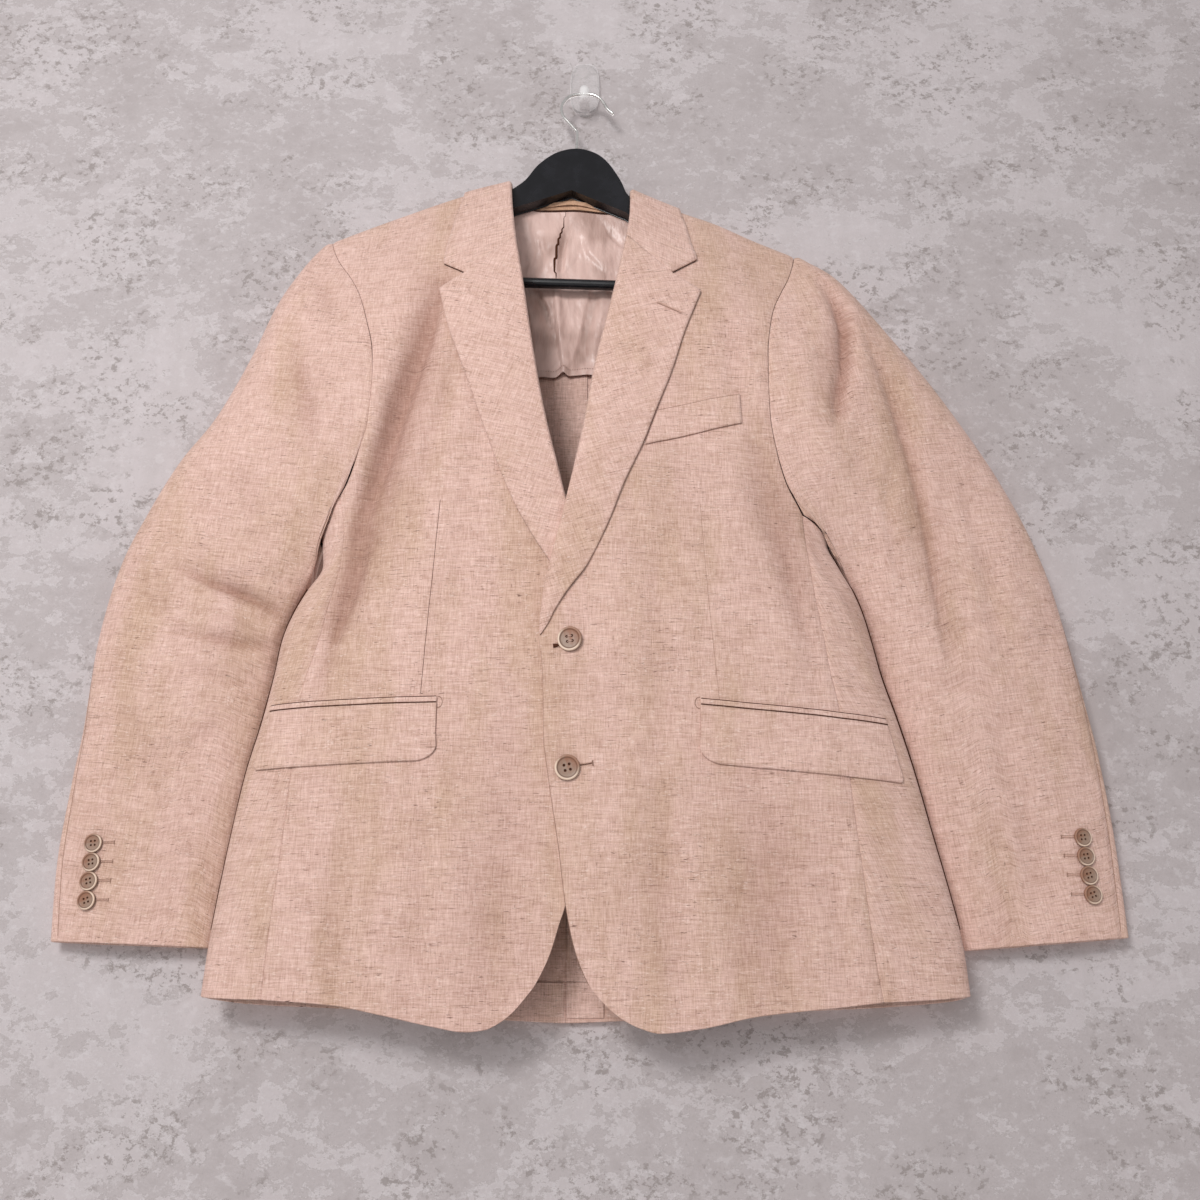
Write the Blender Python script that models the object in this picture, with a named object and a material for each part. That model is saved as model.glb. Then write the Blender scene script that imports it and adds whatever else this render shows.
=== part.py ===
"""A single breasted blazer on a shaped hanger, held by a clear wall hook.

The wall is the plane y = 0 and the garment hangs in front of it, towards -Y. +Z is up and +X is the
wearer's left. The origin is on the flat back of the wall hook's plate. The tables below are in
millimetres, and the meshes are made in metres.

Every cloth piece is a thin wall. Its outer face is a grid of points on the smooth forms of this file:
  front_y and back_y   the body's two faces, closed over the shoulders and round the sides
  sleeve_point         the rings of a sleeve, from the armhole to the cuff
Pieces that lie on a panel are made of the panel's own points, moved out.
"""

import math
from collections import namedtuple

import bmesh
import bpy
from mathutils import Vector

MM = 0.001

# ---------------------------------------------------------------- driving sizes, mm
CLOTH = 2.0  # wall of the body's cloth, with its canvas
SLEEVE_CLOTH = 1.7
LINING = 1.0
SEAM = 0.42  # clear gap between two pieces along a seam
SLEEVE_SEAM = 0.66  # the same along a sleeve, whose seams bend
AXIS_X = -10.0  # the jacket's centre line
RIDGE_Y = -24.5  # the shoulder line's plane, which is the hanger's too
RIDGE_ROUND = 14.0  # radius of the cloth over the shoulder line
BACK_Y = -5.0  # the back's outer face
FRONT_GROWTH = 170.0  # height over which the chest swells out under the shoulder
BACK_GROWTH = 60.0
BULGE = 2.6  # exponent of the body's oval
SLEEVE_BULGE = 2.2

ROLL_BACK = 3.0  # how far the cloth's edge lies behind a lapel's or the collar's roll
LEAF = 3.5  # height of a turned leaf's outer face over the panel
LEAF_EDGE = 3.2

BUTTON_FRONT_R, BUTTON_CUFF_R = 10.0, 7.3
HANGER_FRONT_Y, HANGER_BACK_Y = -31.0, -18.0
BAR_R = 5.0
WIRE_R = 1.75
PLATE_HALF_WIDTH, PLATE_THICK = 14.0, 4.0

# ---------------------------------------------------------------- tables, mm

# A level of the body: half widths from the axis to the wearer's right and left, and the y of the
# chest's face and of the side's edge. Above the armhole the widths run on into the sleeves.
Level = namedtuple("Level", "z right left front side")
LEVELS = [
    Level(-945, 284, 313, -60, -32),
    Level(-912, 281, 311, -62, -33),
    Level(-879, 279, 309, -65, -34),
    Level(-835, 274, 301, -70, -37),
    Level(-790, 268, 291, -75, -40),
    Level(-740, 260, 280, -80, -43),
    Level(-700, 251, 270, -83, -44),
    Level(-660, 244, 259, -85, -45),
    Level(-630, 240, 253, -86, -46),
    Level(-608, 233, 248, -87, -46),
    Level(-587, 223, 241, -87, -46),
    Level(-565, 211, 230, -88, -46),
    Level(-545, 213, 222, -88, -46),
    Level(-525, 215, 222, -88, -45),
    Level(-500, 224, 232, -88, -44),
    Level(-470, 252, 262, -88, -42),
    Level(-440, 292, 292, -87, -40),
    Level(-400, 322, 318, -86, -36),
    Level(-360, 335, 330, -86, -32),
    Level(-300, 335, 335, -85, -28),
    Level(-130, 335, 335, -84, -24.5),
]

# The shoulder line's height, from one armhole to the other. It runs on over the neck.
Ridge = namedtuple("Ridge", "x z")
RIDGE = [
    Ridge(-270, -229),
    Ridge(-243, -217),
    Ridge(-177, -188),
    Ridge(-113, -162),
    Ridge(-75, -150.5),
    Ridge(-40, -141),
    Ridge(-11, -139),
    Ridge(18, -144),
    Ridge(52, -162),
    Ridge(93, -182),
    Ridge(127, -196),
    Ridge(165, -216),
    Ridge(203, -234),
    Ridge(230, -247),
]

# Edges and seams on a face of the body, from the bottom up.
Place = namedtuple("Place", "z x")
EDGE_LEFT = [  # the wearer's left front, which laps over
    Place(-914, 15),
    Place(-905, 8),
    Place(-879, -3),
    Place(-846, -10),
    Place(-808, -14),
    Place(-770, -18),
    Place(-739, -21),
    Place(-690, -24),
    Place(-650, -27),
    Place(-627, -32),
]
EDGE_RIGHT = [  # the wearer's right front, which carries the buttons
    Place(-914, -40),
    Place(-905, -33),
    Place(-883, -22),
    Place(-861, -15),
    Place(-846, -10),
    Place(-808, -2),
    Place(-770, 4),
    Place(-739, 9),
    Place(-690, 13),
    Place(-627, 14),
]
ROLL_LEFT = [
    Place(-627, -32.5),
    Place(-609, -31),
    Place(-575, -25),
    Place(-531, -15),
    Place(-468, -2),
    Place(-392, 10),
    Place(-299, 30),
    Place(-241, 40),
    Place(-221, 42.8),
    Place(-200, 44.4),
    Place(-185, 45),
]
ROLL_RIGHT = [
    Place(-627, 14),
    Place(-612, 12),
    Place(-570, 3),
    Place(-513, -13),
    Place(-484, -20),
    Place(-441, -30),
    Place(-387, -40),
    Place(-281, -56),
    Place(-245, -61.5),
    Place(-208, -66),
    Place(-185, -68.5),
]
LAPEL_LEFT = [
    Place(-627, -32),
    Place(-604, -17),
    Place(-569, 5),
    Place(-540, 20),
    Place(-504, 36),
    Place(-467, 52),
    Place(-432, 64),
    Place(-394, 78),
    Place(-355, 90),
    Place(-324, 101),
    Place(-307, 107),
]
LAPEL_RIGHT = [
    Place(-627, 14),
    Place(-606, 0),
    Place(-567, -29),
    Place(-519, -56),
    Place(-463, -78),
    Place(-399, -100),
    Place(-344, -119),
    Place(-304, -129),
]
SIDE_SEAM_LEFT = [
    Place(-917, 230),
    Place(-897, 227),
    Place(-849, 222),
    Place(-805, 218),
    Place(-685, 207),
    Place(-664, 203),
    Place(-631, 199),
    Place(-594, 194),
    Place(-523, 189),
]
SIDE_SEAM_RIGHT = [
    Place(-915, -240),
    Place(-872, -238),
    Place(-825, -234),
    Place(-747, -229),
    Place(-685, -226),
    Place(-628, -213),
    Place(-544, -201),
    Place(-506, -207),
]
ARMHOLE_LEFT = [
    Place(-523, 189),
    Place(-495, 175),
    Place(-467, 168),
    Place(-432, 164),
    Place(-405, 164),
    Place(-371, 165),
    Place(-344, 168.5),
    Place(-319, 174),
    Place(-296, 183),
    Place(-275, 192),
    Place(-252, 199),
    Place(-234, 203),
]
ARMHOLE_RIGHT = [
    Place(-506, -207),
    Place(-497, -201),
    Place(-471, -192),
    Place(-438, -185),
    Place(-403, -184),
    Place(-369, -186),
    Place(-335, -194),
    Place(-303, -204),
    Place(-280, -215),
    Place(-254, -230),
    Place(-232, -239),
    Place(-217, -243),
]
BACK_SEAM_LEFT = [
    Place(-921, 208),
    Place(-750, 190),
    Place(-600, 181),
    Place(-485, 170),
]
BACK_SEAM_RIGHT = [
    Place(-919, -215),
    Place(-750, -200),
    Place(-600, -190),
    Place(-470, -198),
]
BACK_ARMHOLE_LEFT = [
    Place(-485, 170),
    Place(-440, 168),
    Place(-380, 170),
    Place(-320, 176),
    Place(-272, 189),
    Place(-234, 203),
]
BACK_ARMHOLE_RIGHT = [
    Place(-470, -198),
    Place(-430, -197),
    Place(-370, -200),
    Place(-310, -208),
    Place(-260, -224),
    Place(-217, -243),
]

# Hems, by x. The neck seam across the back, by x.
Hem = namedtuple("Hem", "x z")
HEM_FRONT_LEFT = [
    Hem(15, -914),
    Hem(23, -922),
    Hem(34, -930),
    Hem(46, -935.5),
    Hem(60, -939),
    Hem(90, -936),
    Hem(135, -927),
    Hem(203, -920),
    Hem(230, -917),
]
HEM_FRONT_RIGHT = [
    Hem(-240, -915),
    Hem(-186, -919),
    Hem(-148, -926),
    Hem(-110, -934),
    Hem(-84, -938),
    Hem(-70, -936.5),
    Hem(-58, -931),
    Hem(-48, -923),
    Hem(-40, -914),
]
NECK = [
    Hem(-75, -150.5),
    Hem(-64, -160.5),
    Hem(-45, -170),
    Hem(-11, -175.5),
    Hem(22, -173.5),
    Hem(41, -168.5),
    Hem(52, -162),
]
HEM_BACK_Z = -931.0
BACK_SEAM_X = -11.0
VENT_TOP = -712.0
SLEEVE_CLEAR = 1.3  # from the body's side to the sleeve under the arm, more with each ring
SLEEVE_CLEAR_MOST = 3.6
ON_FRONT = 0.75  # clear space under a piece that lies on a front
POCKET_END = {"left": 0.38, "right": 0.32}  # radians round the body, from the side's edge

# The top of the side panel, under the arm, at even steps from its front seam to its back seam.
UNDERARM_LEFT = [-523, -532, -540, -545, -536, -515, -485]
UNDERARM_RIGHT = [-506, -520, -533, -543, -528, -502, -470]
HEM_SIDE_LEFT = [-917, -915, -913, -912, -915, -918, -921]
HEM_SIDE_RIGHT = [-915, -914, -913, -912, -914, -917, -919]

# A ring of a sleeve: its outer and inner edges, half its depth, and how much of the armhole's shape
# it keeps.
Ring = namedtuple("Ring", "outer_x outer_z outer_y inner_x inner_z inner_y depth keep")
SLEEVE_RIGHT = [
    Ring(-243, -217, -24.5, -223, -543, -46, 33, 1.0),
    Ring(-248.5, -221.5, -24.5, -224.5, -546, -45.5, 33, 0.98),
    Ring(-255, -231, -27, -227, -550, -45, 33, 0.92),
    Ring(-269, -257, -32, -230, -557, -43, 33, 0.78),
    Ring(-286, -291, -36, -231.5, -567, -40, 32, 0.60),
    Ring(-304, -345, -38, -234, -581, -34, 31, 0.38),
    Ring(-331, -414, -40, -243, -602, -28, 30, 0.20),
    Ring(-358, -458, -39, -250, -624, -27, 29, 0.08),
    Ring(-381, -507, -36, -254.5, -650, -25, 27, 0.0),
    Ring(-398, -550, -34, -259.5, -680, -23, 25, 0.0),
    Ring(-408, -594, -31, -265.5, -712, -22, 23, 0.0),
    Ring(-414, -642, -28, -272.5, -745, -20, 20, 0.0),
    Ring(-416, -695, -24, -277.5, -775, -18, 17, 0.0),
    Ring(-421, -745, -20, -282, -805, -16, 14, 0.0),
    Ring(-425, -808, -16, -286.5, -838, -14, 11, 0.0),
    Ring(-422, -870, -13, -290.5, -875, -13, 9.5, 0.0),
]
SLEEVE_LEFT = [
    Ring(203, -234, -24.5, 212, -545, -46, 33, 1.0),
    Ring(208, -236.5, -24.5, 214, -548, -45.5, 33, 0.98),
    Ring(216, -243, -27, 217, -552, -45, 33, 0.92),
    Ring(235, -259, -32, 220.5, -558, -43, 33, 0.78),
    Ring(258, -287, -36, 225, -567, -40, 32, 0.60),
    Ring(285, -327, -38, 231, -578, -34, 31, 0.38),
    Ring(312, -370, -40, 236, -594, -28, 30, 0.20),
    Ring(341, -421, -39, 241, -614, -27, 29, 0.08),
    Ring(369, -474, -36, 248, -642, -25, 27, 0.0),
    Ring(390, -523, -34, 255.5, -672, -23, 25, 0.0),
    Ring(405, -570, -31, 263.5, -705, -22, 23, 0.0),
    Ring(415, -617, -28, 272, -740, -20, 20, 0.0),
    Ring(424, -672, -24, 279.5, -772, -18, 17, 0.0),
    Ring(432, -728, -20, 287.5, -803, -16, 14, 0.0),
    Ring(437, -800, -16, 298, -840, -14, 11, 0.0),
    Ring(438, -867, -13, 306, -877, -13, 9.5, 0.0),
]
HIND_SEAM = [-56, -53, -50, -44, -38, -32, -26, -20, -14, -8, 0, 8, 14, 20, 24, 27]  # degrees, per ring
FORE_SEAM = 193.0  # degrees round a sleeve's ring, from its outer edge
HEAD_ROLL = 1.6  # how far the sleeve's head stands up along the armhole

# The collar, from the notch to the middle of the back. Each station gives its roll and its outer
# edge: x, and the way over the shoulder from its ridge, positive towards the back.
Station = namedtuple("Station", "roll_x roll_way edge_x edge_way")
COLLAR_LEFT = [
    Station(40, -93, 81, -119.5),
    Station(42.3, -76, 104, -92),
    Station(44.3, -52, 101, -67),
    Station(45, -30, 97, -40),
    Station(45.2, -12, 93, -20),
    Station(45, 0, 90, 0),
    Station(42, 9, 85, 22),
    Station(33, 13, 70, 39),
    Station(16, 17, 45, 54),
    Station(-11, 18, -11, 70),
]
COLLAR_RIGHT = [
    Station(-61.5, -106, -104, -135.5),
    Station(-63.8, -88, -126, -116),
    Station(-66.4, -64, -124, -84),
    Station(-68.5, -40, -120, -52),
    Station(-70, -17, -116, -27),
    Station(-70.5, 0, -113, 0),
    Station(-67, 9, -107, 22),
    Station(-57, 13, -92, 40),
    Station(-38, 17, -67, 55),
    Station(-11, 18, -11, 70),
]
COLLAR_EDGE = [  # the collar's lower edge across the back
    Hem(-107, -174.3),
    Hem(-92, -187),
    Hem(-67, -197),
    Hem(-40, -201.5),
    Hem(-11, -204),
    Hem(20, -205.5),
    Hem(45, -205),
    Hem(70, -200.5),
    Hem(85, -192.6),
]
LEAF_STEPS = [0.3, 0.65, 1.0]  # places across the collar's leaf, and across a lapel to its knee
KNEE = 0.63  # the place across a lapel that becomes the notch at its top
NOTCH = {"left": (81, -287.5), "right": (-104, -287)}
GORGE_Z = {"left": -241.0, "right": -245.0}
COLLAR_SEAM_X = {"left": (51.2, 45.5, 33, 15.5, -11), "right": (-74.2, -67.5, -55, -37.5, -11)}

# A fold: a soft trough or ridge along three points of a face, its depth and its width.
Fold = namedtuple("Fold", "x0 z0 x1 z1 x2 z2 depth width")
FRONT_FOLDS = [
    Fold(-131, -285, -160, -450, -197, -615, 8.0, 19.0),
    Fold(-172, -330, -186, -440, -222, -600, -3.5, 15.0),
    Fold(150, -470, 172, -540, 190, -620, 4.5, 17.0),
    Fold(-60, -700, -66, -830, -74, -938, 3.0, 26.0),
    Fold(130, -740, 142, -840, 150, -925, 3.5, 30.0),
]
BACK_FOLDS = [
    Fold(-150, -420, -120, -560, -110, -700, 2.6, 22.0),
    Fold(135, -430, 110, -580, 104, -720, 2.6, 22.0),
]
SLEEVE_FOLDS = [
    Fold(-250, -252, -243, -285, -221, -325, 9.0, 12.0),
    Fold(-264, -333, -250, -385, -237, -445, 4.0, 12.0),
    Fold(-318, -573, -283, -592, -246, -611, 6.0, 10.0),
    Fold(-318, -628, -283, -632, -249, -632, 4.0, 10.0),
    Fold(226, -258, 236, -325, 220, -425, 10.0, 12.0),
    Fold(262, -318, 280, -435, 311, -647, 8.0, 16.0),
]

# Pockets: x and z of a corner.
Corner = namedtuple("Corner", "x z")
FLAP_RIGHT = [Corner(-114, -691.5), Corner(-262, -695.5), Corner(-262, -744), Corner(-114, -737)]
FLAP_LEFT = [Corner(96, -693.5), Corner(257, -708), Corner(257, -755), Corner(95.5, -739)]
JET_HEIGHT, FLAP_THICK, JET_THICK = 4.4, 2.6, 1.5
WELT = [Corner(66, -432.5), Corner(138, -414.5), Corner(138, -443), Corner(54.5, -467.5)]
WELT_THICK = 1.6

BUTTONS_FRONT = [Corner(-8, -642), Corner(-9.5, -744)]
BUTTONS_CUFF_RIGHT = [Corner(-396, -794), Corner(-396, -809), Corner(-396, -824), Corner(-396, -839)]
BUTTONS_CUFF_LEFT = [Corner(409, -789.5), Corner(410, -804.5), Corner(410.5, -819.5), Corner(412, -834.5)]

# The hanger's outline: x and z along its top, then back along its underside.
HANGER_TOP = [
    Corner(-57, -145),
    Corner(-44, -126),
    Corner(-27, -112),
    Corner(-8, -107),
    Corner(10, -112),
    Corner(23, -124),
    Corner(35, -145),
]
HANGER_ENDS = (-233, 194)
HANGER_CLEAR = 4.3  # from the shoulder line's outer face down to the arm
ARM_HEIGHT = 35.0
TAB_WIDTH = 26.0
BAR_ENDS = (Corner(-206.5, -253.5), Corner(167.5, -267.5))
WIRE = [
    Corner(-8, -106.6),
    Corner(-7, -92),
    Corner(-7, -80),
    Corner(-14, -69),
    Corner(-22, -58),
    Corner(-23.5, -48),
    Corner(-19.5, -38),
    Corner(-10, -31.8),
    Corner(0, -31),
    Corner(11, -33),
    Corner(19, -40),
    Corner(24, -49),
    Corner(30, -57),
]
SHELF_Z, SHELF_THICK, LIP_Z = -33.6, 9.0, -25.0
SHELF_Y = -31.5
PLATE_TOP, PLATE_BOTTOM = 27.0, -41.0

COLOURS = {
    "linen": ((0.67, 0.45, 0.36, 1), 0.9, 0.0),
    "lining": ((0.50, 0.36, 0.28, 1), 0.45, 0.0),
    "facing": ((0.60, 0.38, 0.27, 1), 0.85, 0.0),
    "horn": ((0.42, 0.27, 0.18, 1), 0.3, 0.0),
    "black": ((0.012, 0.012, 0.014, 1), 0.3, 0.0),
    "chrome": ((0.75, 0.75, 0.77, 1), 0.15, 1.0),
    "clear": ((0.80, 0.80, 0.80, 1), 0.1, 0.0),
}

# ---------------------------------------------------------------- curves


def smooth(keys, values, key):
    """The value at a key on a smooth curve through the rows, which never swings past them."""
    if key <= keys[0]:
        return values[0]
    if key >= keys[-1]:
        return values[-1]
    i = max(k for k in range(len(keys) - 1) if keys[k] <= key)

    def slope(k):
        return (values[k + 1] - values[k]) / (keys[k + 1] - keys[k])

    def tangent(k):
        if k in (0, len(keys) - 1):
            return slope(min(k, len(keys) - 2))
        before, after = slope(k - 1), slope(k)
        return 0.0 if before * after <= 0 else 2 * before * after / (before + after)

    step = keys[i + 1] - keys[i]
    t = (key - keys[i]) / step
    low = (2 * t**3 - 3 * t**2 + 1) * values[i] + (t**3 - 2 * t**2 + t) * step * tangent(i)
    high = (3 * t**2 - 2 * t**3) * values[i + 1] + (t**3 - t**2) * step * tangent(i + 1)
    return low + high


def curve(rows, key_name, value_name):
    """A function that reads one column of a table by another."""
    ordered = sorted(rows, key=lambda row: getattr(row, key_name))
    keys = [getattr(row, key_name) for row in ordered]
    values = [getattr(row, value_name) for row in ordered]
    return lambda key: smooth(keys, values, key)


def mix(a, b, share):
    return a + (b - a) * share


def eased(share):
    """0 to 1 with level ends."""
    share = min(max(share, 0.0), 1.0)
    return share * share * (3 - 2 * share)


width_right = curve(LEVELS, "z", "right")
width_left = curve(LEVELS, "z", "left")
chest_y = curve(LEVELS, "z", "front")
side_y = curve(LEVELS, "z", "side")
ridge_z = curve(RIDGE, "x", "z")
neck_z = curve(NECK, "x", "z")

# ---------------------------------------------------------------- the body's form


def half_width(x, z):
    return width_left(z) if x > AXIS_X else width_right(z)


def closing(x, z):
    """1 in the middle of a face and 0 at the side's edge."""
    across = min(abs(x - AXIS_X) / half_width(x, z), 1.0)
    return (1 - across**BULGE) ** (1 / BULGE)


def shoulder_round(drop):
    """The quarter circle of cloth over the shoulder line, as a share of its radius."""
    share = min(max(drop / RIDGE_ROUND, 0.0), 1.0)
    return math.sqrt(1 - (1 - share) ** 2)


def swell(drop, height):
    return math.sin(math.pi / 2 * min(max(drop / height, 0.0), 1.0))


def fold_depth(folds, x, z):
    """How far the folds push the cloth in, at a place on its face."""
    total = 0.0
    for fold in folds:
        reach = 2.6 * fold.width
        if not (min(fold.z0, fold.z2) - reach < z < max(fold.z0, fold.z2) + reach):
            continue
        nearest, along = 1e9, 0.0
        for n, (ax, az, bx, bz) in enumerate(
            ((fold.x0, fold.z0, fold.x1, fold.z1), (fold.x1, fold.z1, fold.x2, fold.z2))
        ):
            dx, dz = bx - ax, bz - az
            t = min(max(((x - ax) * dx + (z - az) * dz) / (dx * dx + dz * dz), 0.0), 1.0)
            away = math.hypot(x - ax - t * dx, z - az - t * dz)
            if away < nearest:
                nearest, along = away, (n + t) / 2
        fade = math.sin(math.pi * mix(0.12, 0.88, along))
        total += fold.depth * fade * math.exp(-((nearest / fold.width) ** 2))
    return total


def front_y(x, z):
    """The outer face of the fronts."""
    drop = ridge_z(x) - z
    swollen = -chest_y(z) + RIDGE_Y - RIDGE_ROUND
    open_y = RIDGE_Y - RIDGE_ROUND * shoulder_round(drop) - swollen * swell(drop, FRONT_GROWTH)
    side = mix(RIDGE_Y, side_y(z), shoulder_round(drop / 3))
    y = side + (open_y - side) * closing(x, z)
    return y + fold_depth(FRONT_FOLDS, x, z) * closing(x, z)


def back_y(x, z):
    """The outer face of the back."""
    drop = ridge_z(x) - z
    swollen = BACK_Y - RIDGE_Y - RIDGE_ROUND
    open_y = RIDGE_Y + RIDGE_ROUND * shoulder_round(drop) + swollen * swell(drop, BACK_GROWTH)
    side = mix(RIDGE_Y, side_y(z), shoulder_round(drop / 3))
    y = side + (open_y - side) * closing(x, z)
    return y - fold_depth(BACK_FOLDS, x, z) * closing(x, z)


def lap(x, z):
    """How far the wearer's left front stands off, over the other front and its lapel."""
    over_front = eased((-640 - z) / 60)
    height = mix(6.6, 2.7, over_front) * eased((-425 - z) / 60)
    return height * eased((115 - x) / 90)


def front_point(x, z):
    return Vector((x, front_y(x, z), z))


def left_front_point(x, z):
    return Vector((x, front_y(x, z) - lap(x, z), z))


def back_point(x, z):
    return Vector((x, back_y(x, z), z))


def drop_of(way):
    """How far below the ridge a way over the shoulder ends."""
    way = abs(way)
    quarter = RIDGE_ROUND * math.pi / 2
    if way < quarter:
        return RIDGE_ROUND * (1 - math.cos(way / RIDGE_ROUND))
    return RIDGE_ROUND + way - quarter


def way_of(drop):
    """The way over the shoulder that ends this far below the ridge."""
    if drop < RIDGE_ROUND:
        return RIDGE_ROUND * math.acos(1 - max(drop, 0.0) / RIDGE_ROUND)
    return drop - RIDGE_ROUND + RIDGE_ROUND * math.pi / 2


def shoulder_point(x, way):
    """A point of the body, by the way over the shoulder from its ridge: negative in front."""
    z = ridge_z(x) - drop_of(way)
    return front_point(x, z) if way < 0 else back_point(x, z)


def raised(form, a, b, height):
    """A point of a form, moved out of its face."""
    step = 1.5
    along_a = form(a + step, b) - form(a - step, b)
    along_b = form(a, b + step) - form(a, b - step)
    out = along_a.cross(along_b).normalized()
    return form(a, b) + out * height


def off_front(form, x, z, height):
    return raised(form, x, z, height)


def off_back(x, z, height):
    return raised(back_point, x, z, -height)


def off_shoulder(x, way, height):
    # x grows to the wearer's left and the way grows towards the back, so their cross points up
    step = 1.5
    along_x = shoulder_point(x + step, way) - shoulder_point(x - step, way)
    along_way = shoulder_point(x, way + step) - shoulder_point(x, way - step)
    out = along_x.cross(along_way).normalized()
    return shoulder_point(x, way) + out * height


def rim_angle(x, z):
    """The angle round the body's oval, from the side's edge, that lies over x."""
    across = min(abs(x - AXIS_X) / half_width(x, z), 1.0)
    return math.acos(across ** (BULGE / 2))


def rim_x(side, angle, z):
    """x at an angle round the oval. side is 1 for the wearer's left and -1 for the right."""
    return AXIS_X + side * half_width(AXIS_X + side, z) * max(math.cos(angle), 0.0) ** (2 / BULGE)


# ---------------------------------------------------------------- sleeves


def sleeve_ideal(ring, degrees):
    """A point of a ring as a plain oval, 0 at the outer edge and 90 in front."""
    c, s = math.cos(math.radians(degrees)), math.sin(math.radians(degrees))
    across = math.copysign(abs(c) ** (2 / SLEEVE_BULGE), c)
    out = math.copysign(abs(s) ** (2 / SLEEVE_BULGE), s)
    share = (1 - across) / 2
    return Vector(
        (
            mix(ring.outer_x, ring.inner_x, share),
            mix(ring.outer_y, ring.inner_y, share) - ring.depth * out,
            mix(ring.outer_z, ring.inner_z, share),
        )
    )


def sleeve_point(ring, degrees, offset):
    point = sleeve_ideal(ring, degrees) + offset * ring.keep
    facing = max(math.sin(math.radians(degrees)), 0.0)
    point.y += fold_depth(SLEEVE_FOLDS, point.x, point.z) * facing * (1 - ring.keep**4)
    return point


# ---------------------------------------------------------------- meshes


def finish_object(mesh, name, finish, smooth_angle=40):
    """An object of a mesh, with its material."""
    mesh.validate()
    colour, roughness, metallic = COLOURS[finish]
    material = bpy.data.materials.get(finish) or bpy.data.materials.new(finish)
    material.use_nodes = True
    shader = material.node_tree.nodes["Principled BSDF"]
    shader.inputs["Base Color"].default_value = colour
    shader.inputs["Roughness"].default_value = roughness
    shader.inputs["Metallic"].default_value = metallic
    mesh.materials.append(material)
    mesh.shade_smooth()
    mesh.set_sharp_from_angle(angle=math.radians(smooth_angle))
    made = bpy.data.objects.new(name, mesh)
    bpy.context.scene.collection.objects.link(made)
    return made


def mesh_of(name, points, faces):
    """A closed mesh of points in millimetres, with its faces turned outwards."""
    mesh = bpy.data.meshes.new(name)
    mesh.from_pydata([point * MM for point in points], [], faces)
    shape = bmesh.new()
    shape.from_mesh(mesh)
    bmesh.ops.recalc_face_normals(shape, faces=shape.faces)
    shape.to_mesh(mesh)
    shape.free()
    return mesh


class Panel:
    """A piece of cloth: a grid of points on its outer face, rows by columns.

    Its inner face lies one wall behind, along the normals that it shares with the panels that
    meet it flush at a seam, unless a grid for the inner face is given.
    """

    seams = {}  # the normals of every panel that meets at a point of a seam

    def __init__(self, name, grid, wall, turned=False, finish="linen", inner=None):
        self.name, self.grid, self.wall, self.finish, self.inner = name, grid, wall, finish, inner
        self.rows, self.columns = len(grid), len(grid[0])
        self.row_gap = self.column_gap = SEAM / 2 if finish == "linen" else 0.0
        sign = -1 if turned else 1
        self.normals = [
            [self.normal(r, c) * sign for c in range(self.columns)] for r in range(self.rows)
        ]
        for r, c in self.border():
            Panel.seams.setdefault(self.key(r, c), []).append(self.normals[r][c])

    def key(self, r, c):
        return tuple(round(value, 2) for value in self.grid[r][c])

    def border(self):
        """The places of the grid's edge, in order round it."""
        rows, columns = self.rows, self.columns
        yield from ((0, c) for c in range(columns - 1))
        yield from ((r, columns - 1) for r in range(rows - 1))
        yield from ((rows - 1, c) for c in range(columns - 1, 0, -1))
        yield from ((r, 0) for r in range(rows - 1, 0, -1))

    def normal(self, r, c):
        grid = self.grid
        up = grid[min(r + 1, self.rows - 1)][c] - grid[max(r - 1, 0)][c]
        across = grid[r][min(c + 1, self.columns - 1)] - grid[r][max(c - 1, 0)]
        return across.cross(up).normalized()

    def shared_normal(self, r, c):
        """The mean of the normals that meet here, leaving out a panel that folds back on this one."""
        own = self.normals[r][c]
        flush = [normal for normal in Panel.seams[self.key(r, c)] if normal.dot(own) > -0.2]
        return sum(flush, Vector()).normalized()

    def inset(self, grid, r, c):
        """A border point drawn in from its seam by half the gap."""
        shift = Vector((0, 0, 0))
        if r in (0, self.rows - 1):
            shift += (grid[1 if r == 0 else r - 1][c] - grid[r][c]).normalized() * self.row_gap
        if c in (0, self.columns - 1):
            shift += (grid[r][1 if c == 0 else c - 1] - grid[r][c]).normalized() * self.column_gap
        return grid[r][c] + shift

    def inset_all(self, grid):
        return [self.inset(grid, r, c) for r in range(self.rows) for c in range(self.columns)]

    def build(self):
        points = self.inset_all(self.grid)
        if self.inner:
            points += self.inset_all(self.inner)
        else:
            for r, c in self.border():
                self.normals[r][c] = self.shared_normal(r, c)
            normals = [normal for row in self.normals for normal in row]
            points += [point - normal * self.wall for point, normal in zip(points, normals)]
        count = self.rows * self.columns
        faces = []
        for r in range(self.rows - 1):
            for c in range(self.columns - 1):
                quad = [r * self.columns + c, r * self.columns + c + 1]
                quad += [quad[1] + self.columns, quad[0] + self.columns]
                faces += [quad, [count + i for i in reversed(quad)]]
        ring = [r * self.columns + c for r, c in self.border()]
        for a, b in zip(ring, ring[1:] + ring[:1]):
            faces.append([b, a, count + a, count + b])
        return finish_object(mesh_of(self.name, points, faces), self.name, self.finish)


def plate_between(name, outline, y_front, y_back, finish):
    """A flat plate cut to an outline in the plane of x and z."""
    count = len(outline)
    points = [Vector((corner.x, y_front, corner.z)) for corner in outline]
    points += [Vector((corner.x, y_back, corner.z)) for corner in outline]
    faces = [list(range(count)), list(range(2 * count - 1, count - 1, -1))]
    faces += [[i, (i + 1) % count, count + (i + 1) % count, count + i] for i in range(count)]
    return finish_object(mesh_of(name, points, faces), name, finish)


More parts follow.
